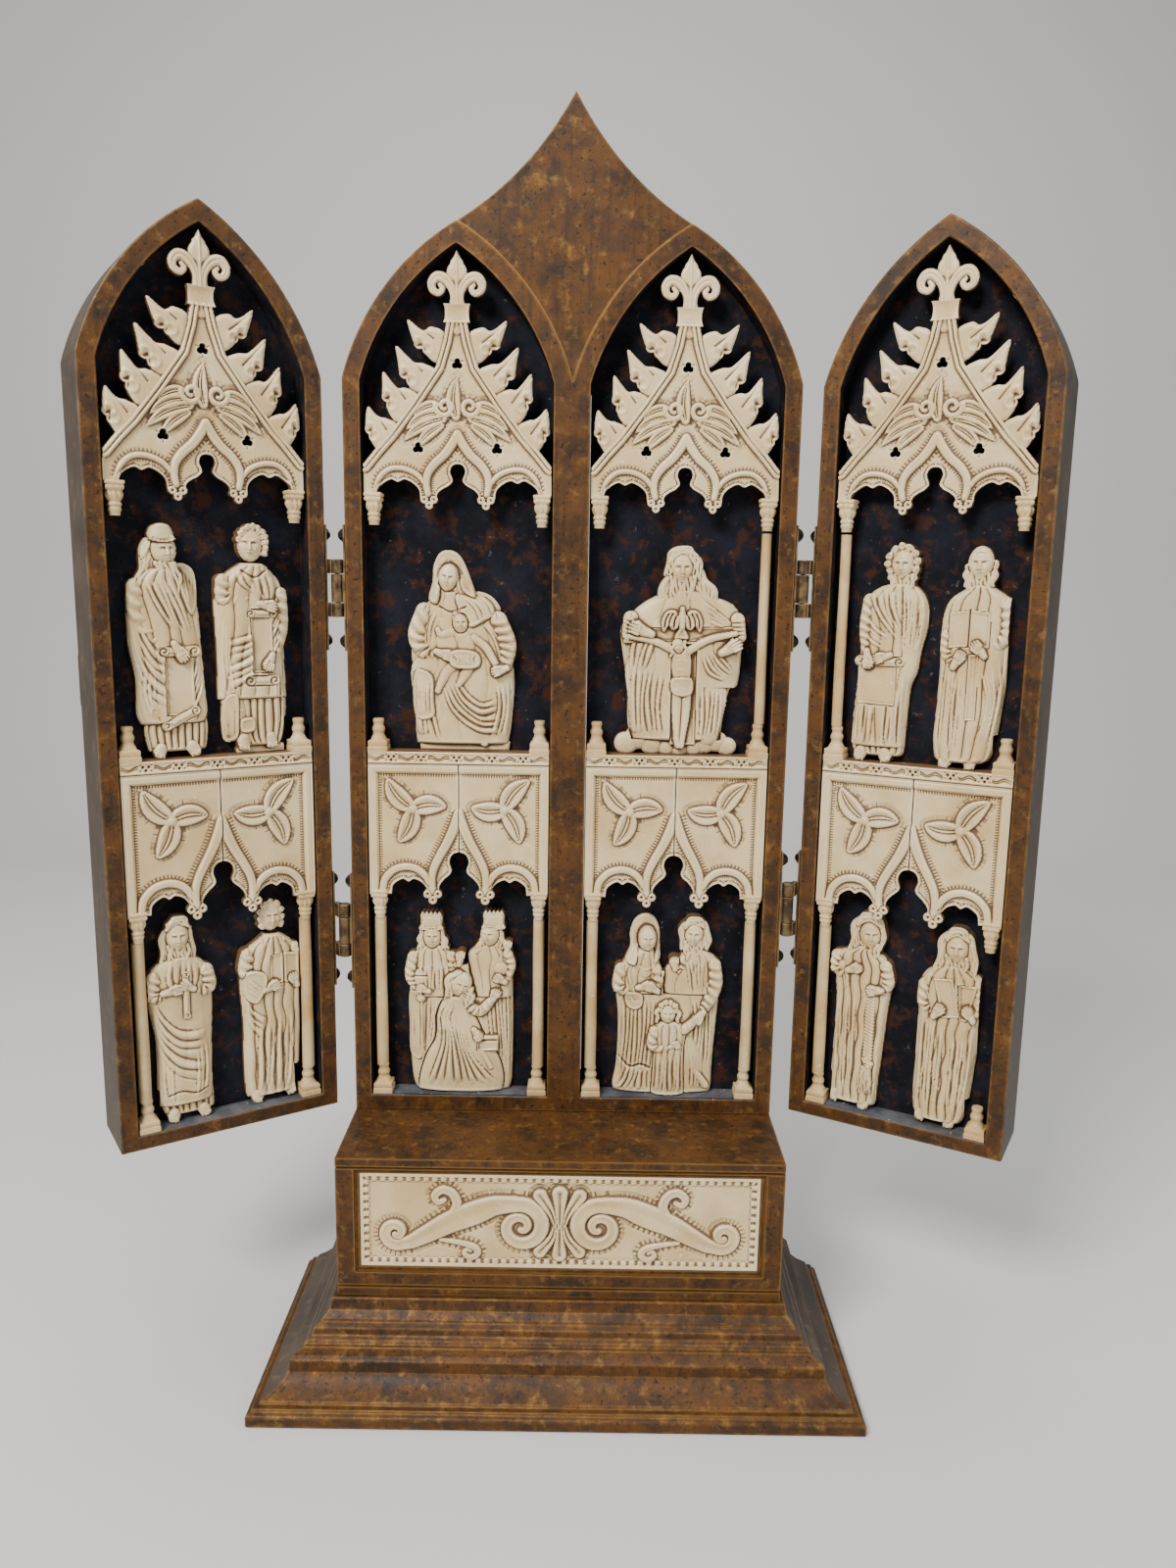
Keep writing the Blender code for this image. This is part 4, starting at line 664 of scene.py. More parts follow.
def makeMetal(name, low, high, metallic, rough):
    # dull metal in two clouded tones, brighter at the edges
    made, tree, shader = newMaterial(name)
    edge = addGroup(tree, shared["edge"], Radius=0.001, Break=300.0)["Edge"]
    cloud = ramp(tree, noise(tree, 160.0, 5.0), 0.35, 0.65)
    colour = mixColour(tree, cloud, low, high)
    bright = tuple(min(1.0, 2.2 * v) for v in high[:3]) + (1.0,)
    colour = mixColour(tree, times(tree, edge, 0.5), colour, bright)
    tree.links.new(colour, shader.inputs["Base Color"])
    setRoughness(tree, shader, cloud, rough, rough + 0.18)
    shader.inputs["Metallic"].default_value = metallic
    addBump(tree, shader, noise(tree, 700.0, 3.0), 0.2)
    return made


# the fourth argument is the dark brown of patina and painted shade in the hollows and on the walls
finishes["bone"] = makeBone("carved cream", (0.74, 0.575, 0.315, 1.0), (0.64, 0.455, 0.210, 1.0),
                            (0.100, 0.045, 0.015, 1.0), (0.44, 0.245, 0.080, 1.0), 0.6)
finishes["amber"] = makeBone("amber cream", (0.66, 0.50, 0.27, 1.0), (0.56, 0.37, 0.155, 1.0),
                             (0.12, 0.055, 0.018, 1.0), (0.42, 0.21, 0.055, 1.0), 0.9)
finishes["gilt"] = makeGilt("gilt wood")
finishes["plain"] = makePlain("plain brown wood")
finishes["board"] = makeBoard("dark board", (0.004, 0.0045, 0.007, 1.0), (0.012, 0.013, 0.020, 1.0),
                              (0.050, 0.018, 0.008, 1.0), 0.7, 0.12)
finishes["recess"] = makeBoard("recess floor", (0.045, 0.050, 0.062, 1.0), (0.11, 0.115, 0.125, 1.0),
                               (0.10, 0.05, 0.03, 1.0), 0.4, 0.9)
finishes["brass"] = makeMetal("old brass", (0.060, 0.040, 0.022, 1.0), (0.19, 0.125, 0.060, 1.0), 0.75, 0.38)
finishes["nail"] = makeMetal("black nail", (0.012, 0.011, 0.011, 1.0), (0.035, 0.030, 0.026, 1.0), 0.6, 0.32)


# Frames, boards, plinth and pedestal

def archCentre(half):
    # centre of the circle through (half, spring) and (0, spring + rise)
    a = np.array((half, case["spring"]))
    b = np.array((0, case["spring"] + case["rise"]))
    along = b - a
    across = np.array((-along[1], along[0])) / np.hypot(*along)
    return (a + b) / 2 + across * math.sqrt(case["archRadius"] ** 2 - np.dot(along, along) / 4)


def pointedOpening(middle, inset):
    centre = archCentre(wingHalf)
    radius = case["archRadius"] - case["bar"] - inset
    half = case["bayHalf"] - inset
    spring = centre[1] + math.sqrt(radius ** 2 - (half - centre[0]) ** 2)
    apex = centre[1] + math.sqrt(radius ** 2 - centre[0] ** 2)
    right = [(half, case["floor"] + inset), (half, spring)]
    right += arcLine((half, spring), (0, apex), radius, case["archSteps"])
    return [(middle + x, z) for x, z in right + [(-x, z) for x, z in reversed(right[:-1])]]


def makeFrames():
    spring = case["spring"]
    apex = spring + case["rise"]
    steps = case["archSteps"]
    half = case["halfWidth"]
    right = [(half, case["bottom"]), (half, spring)]
    right += arcLine((half, spring), (bayCentre, apex), case["archRadius"], steps)
    right += arcLine((bayCentre, apex), (0, apex + case["ogeeRise"]), case["ogeeRadius"], steps, -1)
    outline = right + [(-x, z) for x, z in reversed(right[:-1])]
    level = np.eye(4)
    loops = [outline] + [pointedOpening(side * bayCentre, 0) for side in (-1, 1)]
    step = case["bandStep"]
    parts = [plateMesh("centreFrame", loops, case["frontY"] + step, case["depth"] - step, level)]
    rise = [(wingHalf, spring)] + arcLine((wingHalf, spring), (0, apex), case["archRadius"], steps)
    arch = [(-x, z) for x, z in rise[:-1]] + rise[::-1]  # from the left foot over the apex to the right foot
    twin = [(side * bayCentre + x, z) for side in (-1, 1) for x, z in arch]
    outer = bayCentre + wingHalf
    twin = [(-outer, case["bottom"])] + twin + [(outer, case["bottom"])]
    parts.append(plateMesh("bands", [twin] + loops[1:], case["frontY"], 3, level))
    mesh = outward(joined("centreFrame", parts))
    item = finishPiece(bpy.data.objects.new("centreFrame", mesh), "centre", ["centre_frame"],
                       "gilt")
    paintSides(item, [bays["centre_left"]["place"], bays["centre_right"]["place"]])
    addBevel(item, 0.9, 3)
    for side, name in ((-1, "left_wing"), (1, "right_wing")):
        right = [(wingHalf, case["bottom"] + case["wingLift"]), (wingHalf, spring)]
        right += arcLine((wingHalf, spring), (0, apex), case["archRadius"], steps)
        outline = right + [(-x, z) for x, z in reversed(right[:-1])]
        mesh = plateMesh(name + "Frame", [outline, pointedOpening(0, 0)], 0, case["depth"],
                         bays[name]["place"])
        item = finishPiece(bpy.data.objects.new(name + "Frame", mesh), name, [name + "_frame"],
                           "gilt")
        paintSides(item, [bays[name]["place"]])
        addBevel(item, 0.9, 3)
    for name, bay in bays.items():
        mesh = plateMesh(name + "Board", [pointedOpening(0, case["gap"])], case["recess"],
                         case["depth"] - case["recess"], bay["place"])
        item = bpy.data.objects.new(name + "Board", mesh)
        finishPiece(item, bay["body"], [name + "_back_board"], "board")
        item.data.materials.append(finishes["plain"])
        for face in item.data.polygons:
            face.material_index = int(np.dot(face.normal, bay["place"][:3, 1]) > 0.7)


def paintSides(item, places):
    # sides and back are plain wood; the walls of a recess are dark, and its floor is blue-grey
    for look in ("plain", "board", "recess"):
        item.data.materials.append(finishes[look])
    centre = archCentre(wingHalf)
    for face in item.data.polygons:
        for place in places:
            spot = (np.array(face.center) * 1000 - place[:3, 3]) @ place[:3, :3]
            facing = np.array(face.normal) @ place[:3, :3]
            away = abs(spot[0])
            within = away < case["bayHalf"] + 0.6 and case["floor"] - 1 < spot[2]
            if spot[2] > case["spring"]:
                within = math.hypot(away - centre[0], spot[2] - centre[1]) < case["archRadius"] - 5
            if facing[1] > 0.7 or (abs(facing[1]) < 0.3 and not within and face.material_index == 0):
                face.material_index = 1
            elif abs(facing[1]) < 0.3 and within:
                face.material_index = 3 if facing[2] > 0.9 else 2


plinthProfile = (
    (3, 57.8), (4.6, 50.6), (5.8, 49.2), (8.4, 46.6), (8.6, 45), (12.2, 43), (13, 41.6), (13.4, 39),
    (16.2, 37.6), (17.6, 35.6), (17.8, 33.6), (22.8, 31.6), (25.2, 29.6), (25.4, 27.6), (25.9, 22.6),
                 (28.2, 19),
    (33.2, 15.4), (39.6, 12.5), (40, 11), (43.8, 10.4), (44, 8.8), (46.2, 8), (47, 6.9), (47, 1.2),
    (46.2, 0),
)
pedestalFront = -33.75
pedestalTop = 150.8
pocket = {
    "side": 125.5, "low": 76.6, "high": 140.3, "depth": 7, "gap": 0.3,
    "stem": ((32, 120, 5.8), (42, 118.6, 6.8), (54, 113.6, 8), (70, 106.6, 7.2), (84, 98.6, 6),
             (93, 93.6, 4.9)),
    "upperCurl": ((76, 106, 1.6), (69, 111.5, 2.5), (64.6, 119, 3), (67.2, 126.6, 3), (73.4, 129.2, 2.8),
                  (78.4, 125.2, 2.5), (76.6, 120.8, 2.1), (72.6, 122, 1.6)),
    "lowerCurl": ((75, 95, 1.2), (62, 93, 1.9), (53.6, 90.2, 2.3), (51.8, 85.8, 2.3), (55.8, 83.2, 2.1),
                  (59.8, 85.8, 1.8), (58.4, 88.8, 1.4), (56, 87.6, 1.1)),
}


def makePlinth():
    rings = []
    for out, up in plinthProfile:
        side = case["halfWidth"] + out
        front = pedestalFront - out
        rings.append(((-side, case["backY"], up), (-side, front, up), (side, front, up),
                      (side, case["backY"], up)))
    mesh = outward(surface("plinthMoulding", placed(np.array(rings), np.eye(4))), 24)
    item = bpy.data.objects.new("plinthMoulding", mesh)
    finishPiece(item, "centre", ["plinth"], "gilt")
    mesh.materials.append(finishes["plain"])
    for face in mesh.polygons:
        if abs(face.normal.x) > 0.35 or face.normal.y > 0.7:
            face.material_index = 1
    addBevel(item, 0.45)
    kept = bpy.data.objects["pedestal"]
    mesh = kept.data.copy()
    mesh.transform(kept.matrix_world)
    item = bpy.data.objects.new("pedestalBlock", mesh)
    finishPiece(item, "centre", ["pedestal"], "gilt")
    mesh.materials.append(finishes["plain"])
    for face in mesh.polygons:
        outerSide = abs(face.normal.x) > 0.8 and abs(face.center.x) > 0.1395
        face.material_index = 1 if outerSide or face.normal.y > 0.7 else 0
    addBevel(item, 0.5)


makeFrames()
makePlinth()
print("scene: frames, boards, plinth and pedestal")

# Carved ornament

def volute(centre, radii, turns, widths, steps=26):
    # spiral: radius and half width change evenly while the angle turns, in degrees
    t = np.linspace(0, 1, steps)
    radius = radii[0] + (radii[1] - radii[0]) * t
    angle = np.radians(turns[0] + (turns[1] - turns[0]) * t)
    return np.stack((centre[0] + radius * np.cos(angle), centre[1] + radius * np.sin(angle),
                     widths[0] + (widths[1] - widths[0]) * t), axis=-1)


def lineLength(line):
    steps = np.diff(np.asarray(line, float)[:, :2], axis=0)
    return float(np.hypot(steps[:, 0], steps[:, 1]).sum())


def ribbon(c, line, ground, lift, channel=0, hatch=0, reach=4, both=True):
    # height = ground + lift . quarter round - channel in the middle; strokes of depth hatch beside it
    line = np.asarray(line, float)
    widest = line[:, 2].max()
    length = lineLength(line)
    sides = (1, -1) if both else (1,)
    for side in sides:
        spots = line * (side, 1, 1)
        w = c.near(spots, widest + reach + 1)
        if c.x[w].size == 0:
            continue
        field, along, offset = lineField(c.x[w], c.z[w], spots)
        half = np.maximum(field + np.abs(offset), 0.3)
        shape = ground + lift * rounded(field, np.minimum(half, 1.6))
        shape = shape - channel * np.exp(-(offset / np.maximum(0.42 * half, 0.3)) ** 2)
        if hatch:
            strokes = np.abs(np.sin(math.pi * along * length / 1.9)) ** 3
            edge = np.clip(-field / 0.7, 0, 1) * np.clip((reach + field) / 1.2, 0, 1)
            low = c.height[w] < ground + 0.35 * lift
            c.height[w] = c.height[w] - np.where(low, hatch * edge * (0.35 + 0.65 * strokes), 0)
        solid = (field > 0) & (c.inside[w] > 0)
        c.height[w] = np.where(solid, np.maximum(c.height[w], shape), c.height[w])


def button(c, x, z, radius, ground, lift, both=True):
    for side in ((1, -1) if both and abs(x) > 0.01 else (1,)):
        w = c.near([(side * x, z)], radius + 0.5)
        field, u, v = ballField(c.x[w], c.z[w], (side * x, z), radius, radius)
        dome = ground + lift * np.sqrt(np.clip(1 - u ** 2 - v ** 2, 0, 1))
        c.height[w] = np.where(field > 0, np.maximum(c.height[w], dome), c.height[w])


def petal(c, root, tip, halfWidth, ground, lift, hatch=0.5, both=True):
    # pointed leaf with a raised rim, a scooped face and a middle rib
    t = np.linspace(0, 1, 12)
    width = halfWidth * np.sin(math.pi * np.clip(t, 0, 1) ** 0.8) ** 0.8 + 0.25
    bend = 0.10 * math.hypot(tip[0] - root[0], tip[1] - root[1]) * np.sin(math.pi * t)
    dx, dz = tip[0] - root[0], tip[1] - root[1]
    size = max(math.hypot(dx, dz), 1e-6)
    line = np.stack((root[0] + dx * t - dz / size * bend, root[1] + dz * t + dx / size * bend, width),
                    axis=-1)
    ribbon(c, line, ground, lift, channel=0.9 * lift, hatch=hatch, both=both)
    thin = line.copy()
    thin[:, 2] = 0.10 * width + 0.22
    ribbon(c, thin, ground - 0.1, 0.75 * lift, both=both)


def ring(c, x, z, radius, ground, lift):
    for side in (1, -1):
        w = c.near([(side * x, z)], radius + 1)
        away = np.hypot(c.x[w] - side * x, c.z[w] - z)
        solid = radius - away
        shape = ground + lift * np.clip(1 - ((away - 0.66 * radius) / (0.42 * radius)) ** 2, -0.6, 1)
        c.cover(w, solid, shape)


def pattern(c, w, outline, inward, pitch, depth, width):
    # dashes of one pitch along an outline, at a distance inward from it
    closed = np.vstack((outline, outline[:1])) if len(outline) > 2 else np.asarray(outline)
    spots = np.column_stack((closed, np.zeros(len(closed))))
    field, along, offset = lineField(c.x[w], c.z[w], spots)
    band = np.exp(-((-field - inward) / width) ** 2)
    dashes = np.clip(1.6 * np.sin(math.pi * along * lineLength(spots) / pitch) ** 2 - 0.3, 0, 1)
    c.height[w] = c.height[w] - depth * band * dashes * (c.inside[w] > 0)


gable = {
    "rake": ((6, 86.2), (8.4, 74), (12.8, 59.6), (27.4, 38.6), (41.9, 19.6), (50.6, 10.2), (57.9, 1.4)),
    "crockets": (
        ((7.2, 77.9), (15.2, 82.4), (19.5, 80.4), (23.6, 81.9), (30, 86.4), (28.4, 79), (25.4, 71.8),
         (22, 72.4), (19.6, 69.8), (18.4, 65.6), (11.5, 62)),
        ((12.5, 56), (20, 61), (25.5, 61.6), (30, 65), (37.1, 71.2), (36.2, 63), (34.6, 54.4),
         (31, 55.2), (29.4, 51.5), (28.6, 46.6), (20.5, 43)),
        ((22.5, 41.5), (31, 46.6), (36, 46.6), (40, 50.4), (45.1, 56), (45.6, 48), (45.4, 40.6),
         (41.8, 41.4), (41.6, 37), (42, 32), (33.5, 25)),
        ((35, 23), (43, 28.6), (47, 29.2), (50.6, 31.6), (54.6, 35.6), (56.2, 28.5), (55.8, 21.4),
         (52.8, 22), (52.6, 18.4), (52.8, 14.6), (46, 9)),
    ),
    "sideOpening": ((50.2, -18), (49.2, -13), (45.6, -9.6), (41, -7.4), (37, -9), (33, -7.4),
                    (28.4, -9.2), (24.4, -12.8), (23.2, -18), (23.2, -34), (50.2, -34)),
    "keyhole": ((0, 2.4), (3.3, 1.2), (4.7, -2.4), (3.4, -6.2), (3.2, -8.2), (5.6, -10.8), (9.6, -13),
                (12.8, -16.4), (13.2, -24), (13.2, -34), (0, -34)),
    "ogee": ((0, 19.6, 2.8), (3.2, 14, 2.8), (8.2, 7.4, 2.7), (14, 2.2, 2.6), (18.2, -3.8, 2.4),
             (19.2, -10, 2.2), (18.2, -16, 1.9)),
    "sideArch": ((51, -14.5, 1.6), (48.4, -7, 1.6), (43.4, -2.2, 1.6), (37.4, -0.6, 1.6), (30.4, -1.8, 1.6),
                 (24.6, -4.8, 1.6), (20.8, -9, 1.5)),
    "curl": ((1.6, 95.5, 2), (2.4, 103, 2.4), (6.2, 109, 2.9), (11.4, 111, 3), (15, 107.6, 2.6),
             (14.4, 103.2, 2.2), (10.8, 101.6, 1.9), (8.6, 104, 1.6), (10.2, 106.2, 1.2)),
    "cell": 0.45, "ground": 3.15, "raised": 1.9,
}


def makeGable(name, bay):
    g = gable
    foot = heights["gable"]
    c = Carving(-fitting["half"], fitting["half"], foot - 26, foot + 126, g["cell"])
    everywhere = (slice(None), slice(None))
    up = (0, foot)
    rake = np.array(g["rake"]) + up
    half = np.vstack((rake, [(58.2, foot - 19), (0, foot - 19)]))
    body = areaField(np.abs(c.x), c.z, np.vstack(([(0, rake[0, 1])], half)))
    body = np.where(np.abs(c.x) < 3, np.maximum(body, np.minimum(rake[0, 1] - c.z, c.z - foot + 19)), body)
    c.lay(everywhere, body, g["ground"] + 0 * c.x)
    for outline in g["crockets"]:
        for side in (1, -1):
            spots = softPath(np.array(outline) * (side, 1) + up, 4, True)
            w = c.near(spots, 1.5)
            field = areaField(c.x[w], c.z[w], spots)
            root = (np.array(outline[0]) + np.array(outline[-1])) / 2 * (side, 1) + up
            tip = np.array(outline[4]) * (side, 1) + up
            along, offset = lineField(c.x[w], c.z[w], [(*root, 0), (*tip, 0)])[1:]
            crease = 0.9 * np.exp(-((offset - 1.2) / 0.7) ** 2) * (along > 0.25)
            shape = 2.2 + 2.4 * rounded(field, 2.8) - crease
            for k in (6, 8):
                cup = 0.72 * np.array(outline[k]) + 0.28 * np.array(outline[k + 1]) + (-1.6, 0.9)
                lobe, u, v = ballField(c.x[w], c.z[w], cup * (side, 1) + up, 3.9, 3.9)
                away = np.hypot(u, v)
                dish = 0.6 * np.exp(-((away - 0.75) / 0.3) ** 2) - 0.25 * np.exp(-(away / 0.55) ** 2)
                shape = shape + dish * (away < 1.2)
                field = np.maximum(field, lobe - 0.5)
            c.lay(w, field, shape)
    # stem, collar, scrolls and the leaf at the top
    for line, lift in (([(0, foot + 84, 6.4), (0, foot + 101, 3.6), (0, foot + 110, 2.2)], 1.5),
                       ([(0, foot + 107, 1.6), (0, foot + 113.6, 6), (0, foot + 118, 4),
                         (0, foot + 125.3, 0.3)], 2)):
        w = c.near(line, 8)
        field, along, offset = lineField(c.x[w], c.z[w], line)
        c.lay(w, field, 2.6 + lift * rounded(field, 2.4) + 0.8 * np.exp(-(offset / 0.7) ** 2))
    for side in (1, -1):
        curl = np.array(g["curl"]) * (side, 1, 1) + (0, foot, 0)
        scroll = softPath(curl, 6)
        w = c.near(scroll, 3.2)
        field, along, offset = lineField(c.x[w], c.z[w], scroll)
        c.lay(w, field, 2.5 + 2.2 * rounded(field, 1.8) - 0.5 * np.exp(-(offset / 0.5) ** 2))
    w = c.near([(-8.4, foot + 84.6), (8.4, foot + 95.4)], 0.6)
    band = np.abs(c.z[w] - foot - 90) / 5.4
    field = np.minimum(7.2 + band ** 3 - np.abs(c.x[w]), 5.4 - np.abs(c.z[w] - foot - 90))
    c.cover(w, field, 3.6 + 1.9 * np.abs(band) ** 3 * (band < 1))
    # double raking moulding
    for side in (1, -1):
        edge = np.column_stack((rake * (side, 1), np.zeros(len(rake))))
        field, along, offset = lineField(c.x, c.z, edge)
        deep = -field
        over = (body > 0) & (deep < 5.2)
        twin = np.maximum(np.clip(1 - ((deep - 1.3) / 1.25) ** 2, 0, 1),
                          np.clip(1 - ((deep - 3.9) / 1.25) ** 2, 0, 1))
        c.height = np.where(over, np.maximum(c.height, 3 + 2.2 * np.sqrt(twin)), c.height)
    ground, raised = g["ground"], g["raised"]
    # leaf ornament of the face
    petal(c, (0, foot + 28), (0, foot + 53), 4.2, ground, raised, both=False)
    for s in (1, -1):
        ribbon(c, volute((s * 7.6, foot + 36), (6, 1.4), (170, 640) if s < 0 else (10, -460), (1.9, 1.2)),
               ground, raised, hatch=0.5, both=False)
    feathers = (((6, 29), (33, 15.6), 3.6), ((8, 25.5), (25, 10.6), 3.2), ((10, 32), (31, 22.6), 3.6),
                ((11, 37), (26.5, 30.6), 3.2))
    for root, tip, width in feathers:
        petal(c, (root[0], foot + root[1]), (tip[0], foot + tip[1]), width, ground, raised, hatch=0.45)
    for x, z in ((0, 61), (-24.3, 11.4), (24.3, 11.4)):
        w = c.near([(x, foot + z)], 5)
        for turn in (90, 210, 330):
            dx, dz = math.cos(math.radians(turn)), math.sin(math.radians(turn))
            lobe, u, v = ballField(c.x[w], c.z[w], (x + 1.7 * dx, foot + z + 1.7 * dz), 1.75, 1.75)
            c.cut(w, lobe)
            line = [(x - 1.6 * dx, foot + z - 1.6 * dz, 0), (x - 4.2 * dx, foot + z - 4.2 * dz, 0)]
            field, along, offset = lineField(c.x[w], c.z[w], line)
            c.height[w] = c.height[w] - 0.9 * np.exp(-(field / 0.32) ** 2)
    ogee = softPath(np.array(g["ogee"]) + (0, foot, 0))
    arch = softPath(np.array(g["sideArch"]) + (0, foot, 0))
    ribbon(c, arch, ground, raised, hatch=0.5, reach=3)
    ribbon(c, ogee, ground, raised + 0.3, hatch=0.6, reach=3.4)
    for key, pitch in (("sideOpening", 1.7), ("keyhole", 2.1)):
        outline = softPath(np.array(g[key]) + up, 4)
        for side in (1, -1):
            spots = outline * (side, 1)
            w = c.near(spots, 6)
            opening = areaField(c.x[w], c.z[w], spots)
            c.cut(w, np.where(c.z[w] < foot - 30, np.maximum(opening, 1), opening))
            pattern(c, w, spots[:-3], 1.7, pitch, 1.5, 0.55)
    c.cut(everywhere, foot - 20 - c.z)
    for x, z in ((20.6, -19.4), (14.6, -19.4), (17.6, -22.9)):
        ring(c, x, foot + z, 2.35, 3.4, 1.3)
    keep = (np.abs(c.x) > 44.4) & (c.z < foot - 14)
    c.inside = np.where(keep & (c.z < foot - 16), np.minimum(c.inside, c.z - foot + 16), c.inside)
    meshes = [carvedMesh(name, c, fitting["back"], bay["place"], seed=bay["seed"])]
    for side in (-1, 1):
        meshes.append(capitalMesh(name, side, foot - 15.6, bay["place"]))
    item = bpy.data.objects.new(name + "Gable", joined(name + "Gable", meshes))
    item.data.shade_smooth()
    item.data.set_sharp_from_angle(angle=math.radians(58))
    return finishPiece(item, bay["body"], [name + "_gable"], "bone")


def capitalMesh(name, side, top, place):
    # dentil bands, a twisted leaf drum and two rings, from the top down; (radius, height, share of the twist)
    rows = [(0.4, 0, 0), (6.4, 0, 0), (6.9, -0.4, 0.3), (6.9, -1.9, 0.3), (6.1, -2.3, 0), (6.1, -2.8, 0),
            (6.6, -3.1, 0.3), (6.5, -4.6, 0.3), (5.6, -5.2, 0), (5.2, -5.8, 1), (5.6, -7.2, 1),
            (5.4, -8.6, 1), (4.8, -10, 1), (4.2, -11, 1), (3.9, -11.8, 0.2), (4.6, -12.4, 0), (4.9, -13.2, 0),
            (4.6, -14, 0), (3.9, -14.5, 0), (4.4, -15.1, 0), (4.6, -15.9, 0), (4.3, -16.8, 0),
            (3.7, -17.5, 0), (3.7, -19.4, 0), (0.4, -19.4, 0)]
    rows = np.array(rows, float)
    squareness = np.interp(-rows[:, 1], (0, 5, 7, 20), (0.95, 0.95, 0.35, 0.1))
    rows[:, 0] *= 0.78 + 0.06 * (squareness < 0.5)
    rows[:, 1] += top
    x = side * (fitting["half"] - 6)
    return turnedMesh(name, (x, 6), rows, 64, place, squareness, 0.5, 10, 0.10)


baseRows = ((0.3, 1, 0), (0.72, 1, 0), (0.80, 0.95, 0), (0.78, 0.90, 0), (0.70, 0.87, 0), (0.70, 0.80, 0),
            (0.86, 0.74, 0), (0.92, 0.68, 0), (0.86, 0.62, 0), (0.76, 0.58, 0), (0.84, 0.50, 0),
            (1.02, 0.44, 0), (1.10, 0.38, 0), (1.12, 0.36, 0), (1.30, 0.34, 0), (1.34, 0.32, 0),
            (1.34, 0.20, 0), (1.28, 0.18, 0), (1.40, 0.16, 0), (1.42, 0.14, 0), (1.42, 0, 0), (0.3, 0, 0))
column = {"fromSide": 5.8, "depth": 7.6, "lowerBase": 20, "upperBase": 21.2, "lowerRadius": 3.9,
          "upperRadius": 3.3, "baseHalf": 6.15, "capital": 19.9, "gableDrop": 16.4}


def baseMesh(name, side, foot, tall, place):
    rows = np.array(baseRows, float)
    squareness = np.interp(rows[:, 1], (0, 0.34, 0.40, 1), (1, 1, 0.1, 0))
    rows[:, 0] *= 4.45
    rows[:, 1] = foot + rows[:, 1] * tall
    x = side * (fitting["half"] - 6.45)
    return turnedMesh(name, (x, column["depth"]), rows, 56, place, squareness)


def shaftMesh(name, side, foot, top, radius, place):
    t = np.linspace(0, 1, 30)
    swell = radius * (1 - 0.05 * t + 0.02 * np.sin(9 * t + side))
    rows = np.stack((swell, foot + (top - foot) * t, 0 * t + 1), axis=-1)
    rows = np.vstack(([(0.2, foot, 0)], rows, [(0.2, top, 0)]))
    x = side * (fitting["half"] - column["fromSide"])
    return turnedMesh(name, (x, column["depth"]), rows, 40, place, None, 0.02, 3, 0.02)


def makeColumns(name, bay, lowerShafts, upperShafts):
    place = bay["place"]
    floor = case["floor"] + case["gap"]
    arcadeTop = heights["arcade"] - column["capital"] - case["gap"]
    for side, label in ((-1, "left"), (1, "right")):
        meshes = [baseMesh(name, side, floor, column["lowerBase"], place)]
        cad = name + "_lower_base_" + label
        if side in lowerShafts:
            cad = name + "_lower_column_" + label
            meshes.append(shaftMesh(name, side, floor + column["lowerBase"] - 1, arcadeTop,
                                    column["lowerRadius"], place))
        item = bpy.data.objects.new(name + "Lower" + label.title(), outward(joined(name, meshes)))
        finishPiece(item, bay["body"], [cad], "amber")
    for side in upperShafts:
        low = heights["ledge"] - 0.4 + column["upperBase"] + case["gap"]
        top = heights["gable"] - column["gableDrop"] - column["capital"] - case["gap"]
        mesh = outward(shaftMesh(name, side, low, top, column["upperRadius"], place))
        item = bpy.data.objects.new(name + "UpperShaft", mesh)
        finishPiece(item, bay["body"], [name + "_upper_shaft"], "amber")


def makeLedge(name, bay):
    # wavy strokes and flowers of three dots, sunk into the front of a shelf
    top = heights["ledge"]
    c = Carving(-fitting["half"], fitting["half"], top - heights["ledgeThick"], top, 0.4)
    field = np.minimum(58.3 - np.abs(c.x), np.minimum(top - c.z, c.z - top + heights["ledgeThick"]))
    middle = top - heights["ledgeThick"] / 2
    rims = 0.75 * np.exp(-((np.abs(c.z - middle) - 3.1) / 0.55) ** 2)
    wave = np.sin(c.x * 0.62)
    second = c.z - middle + 1.2 - 0.8 * wave
    stroke = np.exp(-((c.z - middle - wave) / 0.55) ** 2) + np.exp(-(second / 0.4) ** 2)
    c.lay((slice(None), slice(None)), field, 14.7 + rims + 0 * c.x)
    flowers = (-43.3, -24, -1.2, 21.6, 41.7)
    clear = np.min([np.abs(c.x - x) for x in flowers], axis=0)
    c.height = c.height - 1.5 * stroke * (clear > 4.5) * (field > 0.6)
    for x in flowers:
        for dx, dz in ((-1.7, 0.5), (1.7, 0.5), (0, -1.6)):
            w = c.near([(x + dx, middle + dz)], 2)
            away = np.hypot(c.x[w] - x - dx, c.z[w] - middle - dz)
            c.height[w] = c.height[w] - 2.2 * np.exp(-(away / 0.85) ** 4)
        w = c.near([(x, middle)], 5)
        away = np.hypot(c.x[w] - x, c.z[w] - middle)
        spokes = np.abs(np.sin(3 * np.arctan2(c.z[w] - middle, c.x[w] - x))) ** 6
        band = (away > 2.9) * (away < 4.2) * (np.abs(c.z[w] - middle) < 2.8)
        c.height[w] = c.height[w] - 0.8 * spokes * band
    meshes = [carvedMesh(name, c, fitting["boardFront"], bay["place"], seed=bay["seed"] + 20)]
    for side in (-1, 1):
        meshes.append(baseMesh(name, side, top - 0.4, column["upperBase"], bay["place"]))
    item = bpy.data.objects.new(name + "Ledge", joined(name + "Ledge", meshes))
    item.data.shade_smooth()
    item.data.set_sharp_from_angle(angle=math.radians(50))
    finishPiece(item, bay["body"], [name + "_ledge"], "amber")


